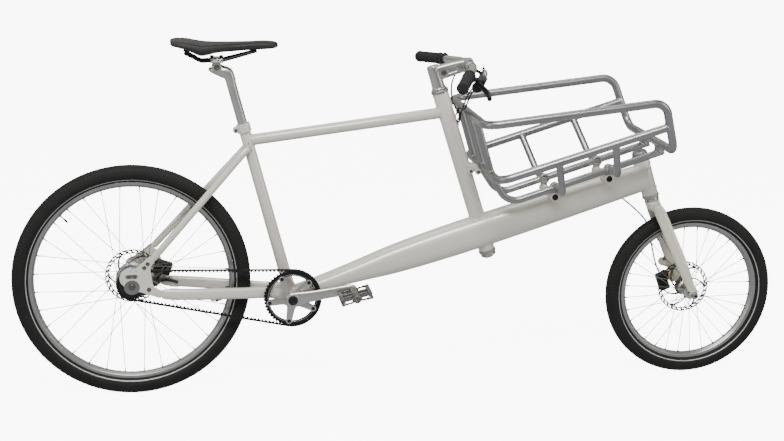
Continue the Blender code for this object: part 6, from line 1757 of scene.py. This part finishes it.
# Saddle
SADDLE_STATIONS = ((0.118, 0.034, 0.9960, 0.9895), (0.124, 0.056, 1.0005, 0.9850), (0.140, 0.070, 1.0030, 0.9815),
                   (0.165, 0.0760, 1.0020, 0.9740), (0.195, 0.0715, 0.9970, 0.9590), (0.215, 0.0620, 0.9950, 0.9595),
                   (0.235, 0.0500, 0.9943, 0.9635), (0.260, 0.0385, 0.9945, 0.9660), (0.290, 0.0285, 0.9952, 0.9670),
                   (0.330, 0.0225, 0.9965, 0.9695), (0.370, 0.0195, 0.9970, 0.9712), (0.395, 0.0170, 0.9955, 0.9732),
                   (0.406, 0.0120, 0.9920, 0.9768), (0.410, 0.0060, 0.9870, 0.9810))


def saddle_rows(steps=8):
    rows = smooth([Vector(s[:3]) for s in SADDLE_STATIONS], steps)
    lows = smooth([Vector((s[0], s[3], 0)) for s in SADDLE_STATIONS], steps)
    return [(r.x, r.y, r.z, q.y) for r, q in zip(rows, lows)]


def make_saddle():
    """Padded cover over a moulded shell: crowned flanks, a shallow channel, piping along the edge."""
    rings = []
    sides = 72
    rows = saddle_rows()
    for x, half, top, low in rows:
        ring = []
        share = min(1.0, max(0.0, (x - 0.150) / 0.06)) * min(1.0, max(0.0, (0.375 - x) / 0.05))
        middle = (top + low) / 2
        height = (top - low) / 2
        for k in range(sides):
            angle = 2 * math.pi * (k + 0.5) / sides
            c, s = math.cos(angle), math.sin(angle)
            bend = 2.2 if s > 0 else 3.6
            y = half * math.copysign(abs(c) ** (2 / bend), c)
            z = height * math.copysign(abs(s) ** (2 / bend), s)
            if s > 0:
                z -= 0.0022 * share * math.exp(-(y / 0.0085) ** 2)
                fall = abs(y) / max(half, 0.001)
                z -= 0.0012 * fall * fall
            else:
                z += height * 0.75 * max(0.0, 1 - (y / (0.86 * max(half, 0.001))) ** 2) * min(1.0, abs(s) * 2)
            ring.append(at(x, y, middle + z))
        rings.append(ring)
    cover = coat(skin("saddle_pad", rings), saddle_cover)
    put(cover, "saddle", "saddle", angle=60)
    shell_rings = []
    for x, half, top, low in rows:
        if 0.126 < x < 0.404:
            middle = (top + low) / 2
            height = (top - low) / 2
            shell_rings.append([at(x, half * 0.965 * math.cos(2 * math.pi * k / 56),
                                   middle - height * 0.30 + height * 0.62 * math.sin(2 * math.pi * k / 56)) for k in range(56)])
    shell = coat(skin("saddle_base", shell_rings), black)
    put(shell, "saddle")
    for name, level, size in (("saddle_piping", 0.30, 0.0011), ("saddle_seam", 0.62, 0.0005)):
        edge = []
        for x, half, top, low in rows[2:-2]:
            drop = (top - low) / 2 * level
            flare = (1 - level ** 2.2) ** (1 / 2.2)
            edge.append((x, half * flare if level > 0.5 else half * 0.985, (top + low) / 2 + (drop if level > 0.5 else -drop)))
        path = [at(x, y, z) for x, y, z in edge] + [at(x, -y, z) for x, y, z in reversed(edge)]
        put(coat(sweep(name, smooth(path[::3], 3), size, 8, True), saddle_cover if level < 0.5 else black), "saddle")


def saddle_rail(sign):
    y = sign * 0.022
    z = SADDLE_RAIL_Z
    corners = [at(0.155, sign * 0.034, z + 0.022), at(0.200, y, z - 0.003), at(0.262, y, z), at(0.312, sign * 0.017, z + 0.013),
               at(0.352, sign * 0.010, z + 0.0235)]
    return fillet(corners, 0.020, 10)


def make_saddle_rails():
    pieces = [coat(sweep("wire", saddle_rail(sign), 0.0040, 20, ease=0.0008), black) for sign in (-1, 1)]
    centre = at(0.2425, 0, SADDLE_RAIL_Z - 0.0005)
    top = block("top_plate", centre + Z * 0.0036, (0.034, 0.058, 0.0050), None, 0.0014, 3)
    low = block("low_plate", centre - Z * 0.0030, (0.034, 0.058, 0.0064), None, 0.0014, 3)
    low = carve(low, cross_rod("cut", TILT_AXIS, -0.04, 0.04, CRADLE_R + 0.0006, 64, 0))
    pieces += [coat(top, silver), coat(low, silver)]
    for x in (-0.0105, 0.0105):
        pieces.append(coat(bolt("rail_bolt", centre + Vector((x * 1.25, 0, 0.0061)), Z, 0.0050, 0.0062), black))
    put(merge("saddle_rails_assembly", *pieces), "saddle", "saddle_rails")


def make_seatpost():
    knee = on_seat_tube(SEAT_TUBE_TOP + 0.149)
    head = TILT_AXIS + Vector((0.004, 0, -0.004))
    path = fillet([on_seat_tube(0.343), knee, head], 0.030, 16)
    post = coat(sweep("post", path, SEATPOST_R, 56, ease=0.0008), silver)
    cradle = lathe("cradle", [(0, -0.018), (0.0118, -0.018), (CRADLE_R, -0.0165), (CRADLE_R, -0.0100), (0.0122, -0.0090), (0.0122, 0.0090),
                              (CRADLE_R, 0.0100), (CRADLE_R, 0.0165), (0.0118, 0.018), (0, 0.018)], TILT_AXIS, Y, 64)
    forging = [(on_seat_tube(SEAT_TUBE_TOP + 0.118), SEATPOST_R + 0.0002, SEATPOST_R + 0.0002),
               (on_seat_tube(SEAT_TUBE_TOP + 0.134) + Vector((0.0010, 0, 0)), 0.0142, 0.0145),
               (knee + Vector((-0.0020, 0, -0.0010)), 0.0148, 0.0168), (knee.lerp(head, 0.45) + Vector((0.0010, 0, -0.0030)), 0.0146, 0.0172),
               (head + Vector((0.0005, 0, -0.0080)), 0.0150, 0.0130), (head + Vector((-0.0160, 0, -0.0050)), 0.0155, 0.0080),
               (head + Vector((-0.0260, 0, -0.0010)), 0.0120, 0.0046)]
    stations = []
    for k, (spot, wide, high) in enumerate(forging):
        before = forging[max(0, k - 1)][0]
        after = forging[min(len(forging) - 1, k + 1)][0]
        run = (after - before).normalized()
        stations.append((spot, Y * wide, Vector((run.z, 0, -run.x)) * high))
    pieces = [post, coat(cradle, silver), coat(loft("forging", stations, 48, 2.2, 6, 0.0010), silver)]
    for sign in (-1, 1):
        pieces.append(coat(bolt("cradle_bolt", TILT_AXIS + Y * sign * 0.018, Y * sign, 0.0056, 0.0020, 0.5, 0.0080), bolt_steel))
    put(merge("seatpost_assembly", *pieces), "seatpost", "seatpost")


# Basket
def basket_loop():
    (x0, h0, z0), (x1, h1, z1), (x2, h2, z2) = BASKET_REAR, BASKET_FRONT, BASKET_NOSE
    return [at(x0, h0, z0), at(x0, -h0, z0), at(x1, -h1, z1), at(x2, -h2, z2), at(x2, h2, z2), at(x1, h1, z1)]


def lower_corners():
    join_x = (BASKET_FRONT[0] + BASKET_NOSE[0]) / 2
    join_z = (BASKET_FRONT[2] + BASKET_NOSE[2]) / 2
    join_y = (BASKET_FRONT[1] + BASKET_NOSE[1]) / 2
    x, half, z = LOWER_REAR
    rear = [at(x, sign * half, z) for sign in (-1, 1)]
    front = [at(join_x - 0.002, sign * (join_y - 0.001), join_z) for sign in (-1, 1)]
    return rear, front


def dense_path(path, step=0.012):
    made = []
    for a, b in zip(path, path[1:]):
        count = max(1, int((b - a).length / step))
        made += [a.lerp(b, k / count) for k in range(count)]
    return made + [path[-1]]


def ring_weld(name, point, run, radius, onto, target, size=0.0019, count=40):
    """Bead where a tube that runs to point meets a straight tube through point along onto."""
    return weld(name, point - run.normalized() * 0.12, run, radius, point, onto, target, size, count)


def make_basket():
    loop = basket_loop()
    top = coat(sweep("top", fillet(loop, BEND_R, 18, True), RAIL_R, 40, True), satin)
    put(merge("basket_top_tube", top), "frame", "basket_top_rail")
    rear, front = lower_corners()
    lower = coat(sweep("lower", fillet([front[0], rear[0], rear[1], front[1]], BEND_R, 18), RAIL_R, 40), satin)
    pieces = [lower]
    x, half, z = LOWER_REAR
    post_low, post_high = at(x, 0, z), at(BASKET_REAR[0], 0, BASKET_REAR[2])
    up = post_high - post_low
    for y in (-POST_SPACING, 0.0, POST_SPACING):
        shift = Y * y
        pieces.append(coat(rod("post", post_low + shift, post_high + shift, BAR_POST_R, None, 36, 0), satin))
        pieces.append(coat(ring_weld("post_top", post_high + shift, up, BAR_POST_R, Y, RAIL_R), bead))
        pieces.append(coat(ring_weld("post_low", post_low + shift, up * -1, BAR_POST_R, Y, RAIL_R), bead))
    nose_run = (loop[3] - loop[2]).normalized()
    for sign, start, end in ((-1, rear[0], front[0]), (1, rear[1], front[1])):
        mirror = Vector((1, -sign, 1))
        axis = Vector((nose_run.x, nose_run.y * -sign, nose_run.z))
        on_axis = loop[2] * mirror
        point = on_axis + axis * (end - on_axis).dot(axis)
        pieces.append(coat(weld("join", end - (end - start).normalized() * 0.12, end - start, RAIL_R, on_axis, axis, RAIL_R, 0.0022, 44), bead))
    put(merge("basket_lower_tube", *pieces), "frame", "basket_lower_rail")
    for name, sign in (("right", -1), ("left", 1)):
        make_floor_rail(name, sign, rear, front)


def make_floor_rail(name, sign, rear, front):
    y = sign * FLOOR_HALF
    nose_x, nose_half, nose_z = BASKET_NOSE
    path = [at(LOWER_REAR[0] + 0.001, y, LOWER_REAR[2] - 0.002), at(FLOOR_REAR_X, y, FLOOR_REAR_Z),
            at(nose_x + FLOOR_NOSE, y, floor_z(nose_x + FLOOR_NOSE))]
    pieces = [coat(sweep("rail", fillet(path, 0.050, 18), FLOOR_RAIL_R, 40, ease=0.0016), satin)]
    stub_low, stub_high = at(nose_x + 0.001, y, floor_z(nose_x)), at(nose_x, y, nose_z)
    pieces.append(coat(rod("stub", stub_low, stub_high, FLOOR_RAIL_R - 0.0004, None, 36, 0), satin))
    along = Vector((1, 0, FLOOR_SLOPE)).normalized()
    pieces.append(coat(ring_weld("w", stub_low, stub_low - stub_high, FLOOR_RAIL_R - 0.0004, along, FLOOR_RAIL_R), bead))
    pieces.append(coat(ring_weld("w", stub_high, stub_high - stub_low, FLOOR_RAIL_R - 0.0004, Y, RAIL_R), bead))
    pieces.append(coat(ring_weld("w", path[0], path[0] - path[1], FLOOR_RAIL_R, Y, RAIL_R), bead))
    side = 0 if sign < 0 else 1
    lower_run = front[side] - rear[side]
    for station in HOOK_STATIONS:
        share = (station - LOWER_REAR[0]) / (front[0] - rear[0]).x
        top = rear[side].lerp(front[side], share)
        foot_x = station + HOOK_RUN
        corner = at(foot_x, sign * HOOK_HALF, floor_z(foot_x) - 0.001)
        foot = at(foot_x, y, floor_z(foot_x))
        pieces.append(coat(sweep("hook", fillet([top, corner, foot], 0.030, 16), HOOK_R, 36), satin))
        pieces.append(coat(ring_weld("w", top, top - corner, HOOK_R, lower_run, RAIL_R, 0.0020), bead))
        pieces.append(coat(ring_weld("w", foot, foot - corner, HOOK_R, along, FLOOR_RAIL_R, 0.0020), bead))
    for station in BOSS_STATIONS:
        boss_at = boss_centre(station)
        centre = at(station, 0, floor_z(station))
        middle = sign * (FLOOR_HALF - 0.0045)
        collar = lathe("collar", [(FLOOR_RAIL_R - 0.0006, -0.0095), (0.0134, -0.0095), (0.0146, -0.0085), (0.0146, 0.0085), (0.0134, 0.0095),
                                  (FLOOR_RAIL_R - 0.0006, 0.0085)], centre + Y * middle, Y, 48)
        foot = block("foot", Vector((boss_at.x, middle, boss_at.z + 0.0135)), (0.0180, 0.0145, 0.0170), None, 0.0016, 3)
        foot = carve(foot, cross_rod("cut", boss_at, -0.1, 0.1, BOSS_R + GAP, 56, 0))
        pieces += [coat(collar, cast_alloy), coat(foot, cast_alloy)]
        screw = Vector((centre.x, middle + sign * 0.0086, centre.z))
        pieces.append(coat(bolt("clamp_screw", screw, Y * sign, 0.0036, 0.0012), bolt_steel))
    put(merge("basket_floor_%s_tube" % name, *pieces), "frame", "basket_floor_" + name)


# Hoses
def make_hoses():
    entry_marks = []
    for name, sign, lift, side in (("brake_hose_right", -1, 0.0, -0.0085), ("shift_cable", -1, -0.0110, 0.0005),
                                   ("brake_hose_left", 1, 0.0110, 0.0085)):
        where, inward, fore = lever_frame(sign)
        start = where + fore * 0.0345 + inward * 0.0424
        if name == "shift_cable":
            start = where + fore * 0.030 - Z * 0.020 + inward * 0.0365
        shift = Vector((-lift * 0.7, 0, 0))
        way = [start, on_steering(STEERING_TUBE_LEN - 0.0073, 0.0613, sign * 0.100) + shift,
               on_steering(STEERING_TUBE_LEN - 0.0509, 0.0401, sign * 0.054) + shift]
        station = STEERING_TUBE_LEN - 0.0885 + lift
        way += [on_steering(station + 0.032, HEAD_TUBE_R + 0.0125, side) + shift,
                on_steering(station + 0.008, HEAD_TUBE_R + 0.0085, side), on_steering(station, HEAD_TUBE_R + 0.0026, side)]
        path = smooth(way, 12)
        hose = coat(sweep("hose", path, HOSE_R, 16), hose_black)
        run = (path[3] - path[0]).normalized()
        sleeve = coat(lathe("sleeve", [(HOSE_R * 0.9, -0.001), (0.0046, -0.001), (0.0046, 0.006), (0.0038, 0.012), (HOSE_R, 0.016)],
                            path[0], run, 28, 0.0003), black)
        piece = merge(name + "_line", hose, sleeve)
        piece.data.shade_smooth()
        piece.data.set_sharp_from_angle(angle=math.radians(38))
        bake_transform(piece)
        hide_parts(name)
        port = on_steering(station - 0.003, HEAD_TUBE_R - 0.0012, side)
        entry_marks.append(coat(lathe("grommet", [(0, 0), (0.0052, 0), (0.0052, 0.0022), (0.0040, 0.0034), (0, 0.0034)], port, HEAD_FWD, 32),
                                black))
    put(merge("hose_ports", *entry_marks), "frame")
    way = [at(1.3986, 0.016, 0.5326), at(1.4160, 0.024, 0.5262), at(1.4954, 0.050, 0.4548)]
    way += [FRONT_AXLE + Vector(step) for step in ((-0.1003, 0.0560, 0.1330), (-0.0865, 0.0510, 0.0745), (-0.0746, 0.0440, 0.0441))]
    path = smooth(way, 12)
    piece = coat(sweep("brake_hose_front_line", path, HOSE_R, 16), hose_black)
    piece.data.shade_smooth()
    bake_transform(piece)
    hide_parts("brake_hose_front")
    way = [at(0.0771, 0.0580, 0.3095), at(0.0920, 0.0575, 0.3118), at(0.1100, 0.0560, 0.3100), at(0.1270, 0.0530, 0.3050)]
    put(coat(sweep("brake_hose_rear_line", smooth(way, 10), 0.0042, 20), hose_black), "frame", "brake_hose_rear")


# The camera that took the photograph, solved from the rims
CAMERA_AT = Vector((-0.6897724, -4.1166001, 1.4821544))
CAMERA_YAW = 0.1566731
CAMERA_PITCH = -0.2352887
CAMERA_ROLL = 0.0127353
CAMERA_LENS = 69.30


def make_camera():
    yaw, pitch, roll = CAMERA_YAW, CAMERA_PITCH, CAMERA_ROLL
    forward = Vector((math.sin(yaw) * math.cos(pitch), math.cos(yaw) * math.cos(pitch), math.sin(pitch)))
    right = Vector((math.cos(yaw), -math.sin(yaw), 0))
    up = right.cross(forward)
    across = right * math.cos(roll) + up * math.sin(roll)
    upward = up * math.cos(roll) - right * math.sin(roll)
    data = bpy.data.cameras.new("camera")
    data.lens = CAMERA_LENS
    data.sensor_width = 36
    data.sensor_fit = "HORIZONTAL"
    data.clip_end = 60
    camera = bpy.data.objects.new("camera", data)
    bpy.context.scene.collection.objects.link(camera)
    turn = Matrix((across, upward, -forward)).transposed().to_4x4()
    camera.matrix_world = Matrix.Translation(CAMERA_AT) @ turn
    bpy.context.scene.camera = camera


ROOM_LIGHT = 0.95
BACKDROP = 10.0


def softbox(name, where, target, width, height, power, colour=(1, 1, 1)):
    data = bpy.data.lights.new(name, "AREA")
    data.shape = "RECTANGLE"
    data.size = width
    data.size_y = height
    data.energy = power
    data.color = colour
    lamp = bpy.data.objects.new(name, data)
    bpy.context.scene.collection.objects.link(lamp)
    lamp.location = where
    lamp.rotation_euler = (Vector(target) - Vector(where)).to_track_quat("-Z", "Y").to_euler()


def make_studio():
    """White surroundings for the camera; the bike is lit by a darker room with soft boxes."""
    bm = bmesh.new()
    bmesh.ops.create_grid(bm, x_segments=8, y_segments=8, size=14)
    ground = coat(from_bm("studio_floor", bm), floor_matte)
    ground.visible_diffuse = False
    ground.visible_glossy = False
    world = bpy.data.worlds.new("studio")
    bpy.context.scene.world = world
    world.use_nodes = True
    tree = world.node_tree
    tree.nodes.clear()
    out = add(tree, "ShaderNodeOutputWorld")
    room = add(tree, "ShaderNodeBackground", Strength=ROOM_LIGHT)
    backdrop = add(tree, "ShaderNodeBackground", Color=(1, 1, 1, 1), Strength=BACKDROP)
    where = add(tree, "ShaderNodeTexCoord")
    split = add(tree, "ShaderNodeSeparateXYZ")
    tree.links.new(where.outputs["Generated"], split.inputs[0])
    height = math_node(tree, "ADD", math_node(tree, "MULTIPLY", split.outputs["Z"], 0.5), 0.5)
    shade = ramp(tree, height, ((0.0, (0.62, 0.64, 0.68)), (0.40, (0.60, 0.615, 0.64)), (0.49, (0.36, 0.355, 0.34)),
                                (0.60, (0.44, 0.435, 0.42)), (0.72, (0.80, 0.79, 0.77)), (0.84, (0.76, 0.75, 0.72)),
                                (0.93, (0.34, 0.32, 0.28)), (1.0, (0.26, 0.245, 0.21))))
    tree.links.new(shade, room.inputs["Color"])
    path = add(tree, "ShaderNodeLightPath")
    both = add(tree, "ShaderNodeMixShader")
    tree.links.new(path.outputs["Is Camera Ray"], both.inputs[0])
    tree.links.new(room.outputs[0], both.inputs[1])
    tree.links.new(backdrop.outputs[0], both.inputs[2])
    tree.links.new(both.outputs[0], out.inputs[0])
    softbox("key", (-0.7, -2.9, 4.1), (0, 0, 0.5), 3.0, 0.9, 210)
    softbox("front_strip", (3.6, -2.0, 1.5), (0, 0, 0.6), 0.7, 2.4, 26)
    softbox("rear_strip", (-3.8, -1.6, 1.5), (0, 0, 0.6), 0.7, 2.4, 22)
    softbox("top", (0.2, 0.9, 3.6), (0, 0, 0.5), 3.0, 1.2, 34)


make_camera()
make_frame()
make_stays()
make_dropouts()
make_rear_axle()
make_seat_clamp()
make_headsets()
make_tyre("rear_tyre", REAR_AXLE, REAR_TYRE_R, REAR_TYRE_W, REAR_RIM_R, 96, (0.2908, 0.2882), "rear_wheel")
make_tyre("front_tyre", FRONT_AXLE, FRONT_TYRE_R, FRONT_TYRE_W, FRONT_RIM_R, 72, (0.2162, 0.2136), "front_wheel")
make_rim("rear_rim", REAR_AXLE, REAR_RIM_R, rear_rim_metal, "rear_wheel")
make_rim("front_rim", FRONT_AXLE, FRONT_RIM_R, front_rim_metal, "front_wheel")
make_hubs()
make_rotor("rear_rotor", REAR_AXLE, REAR_ROTOR_Y, rear_disc, "rear_wheel")
make_rotor("front_rotor", FRONT_AXLE, FRONT_ROTOR_Y, front_disc, "front_wheel")
make_belt()
make_sprockets()
make_cranks()
make_fork()
make_steering_arms()
make_drag_link()
make_brakes()
make_stem()
make_handlebar()
make_bell()
make_saddle()
make_saddle_rails()
make_seatpost()
make_basket()
make_hoses()
make_studio()
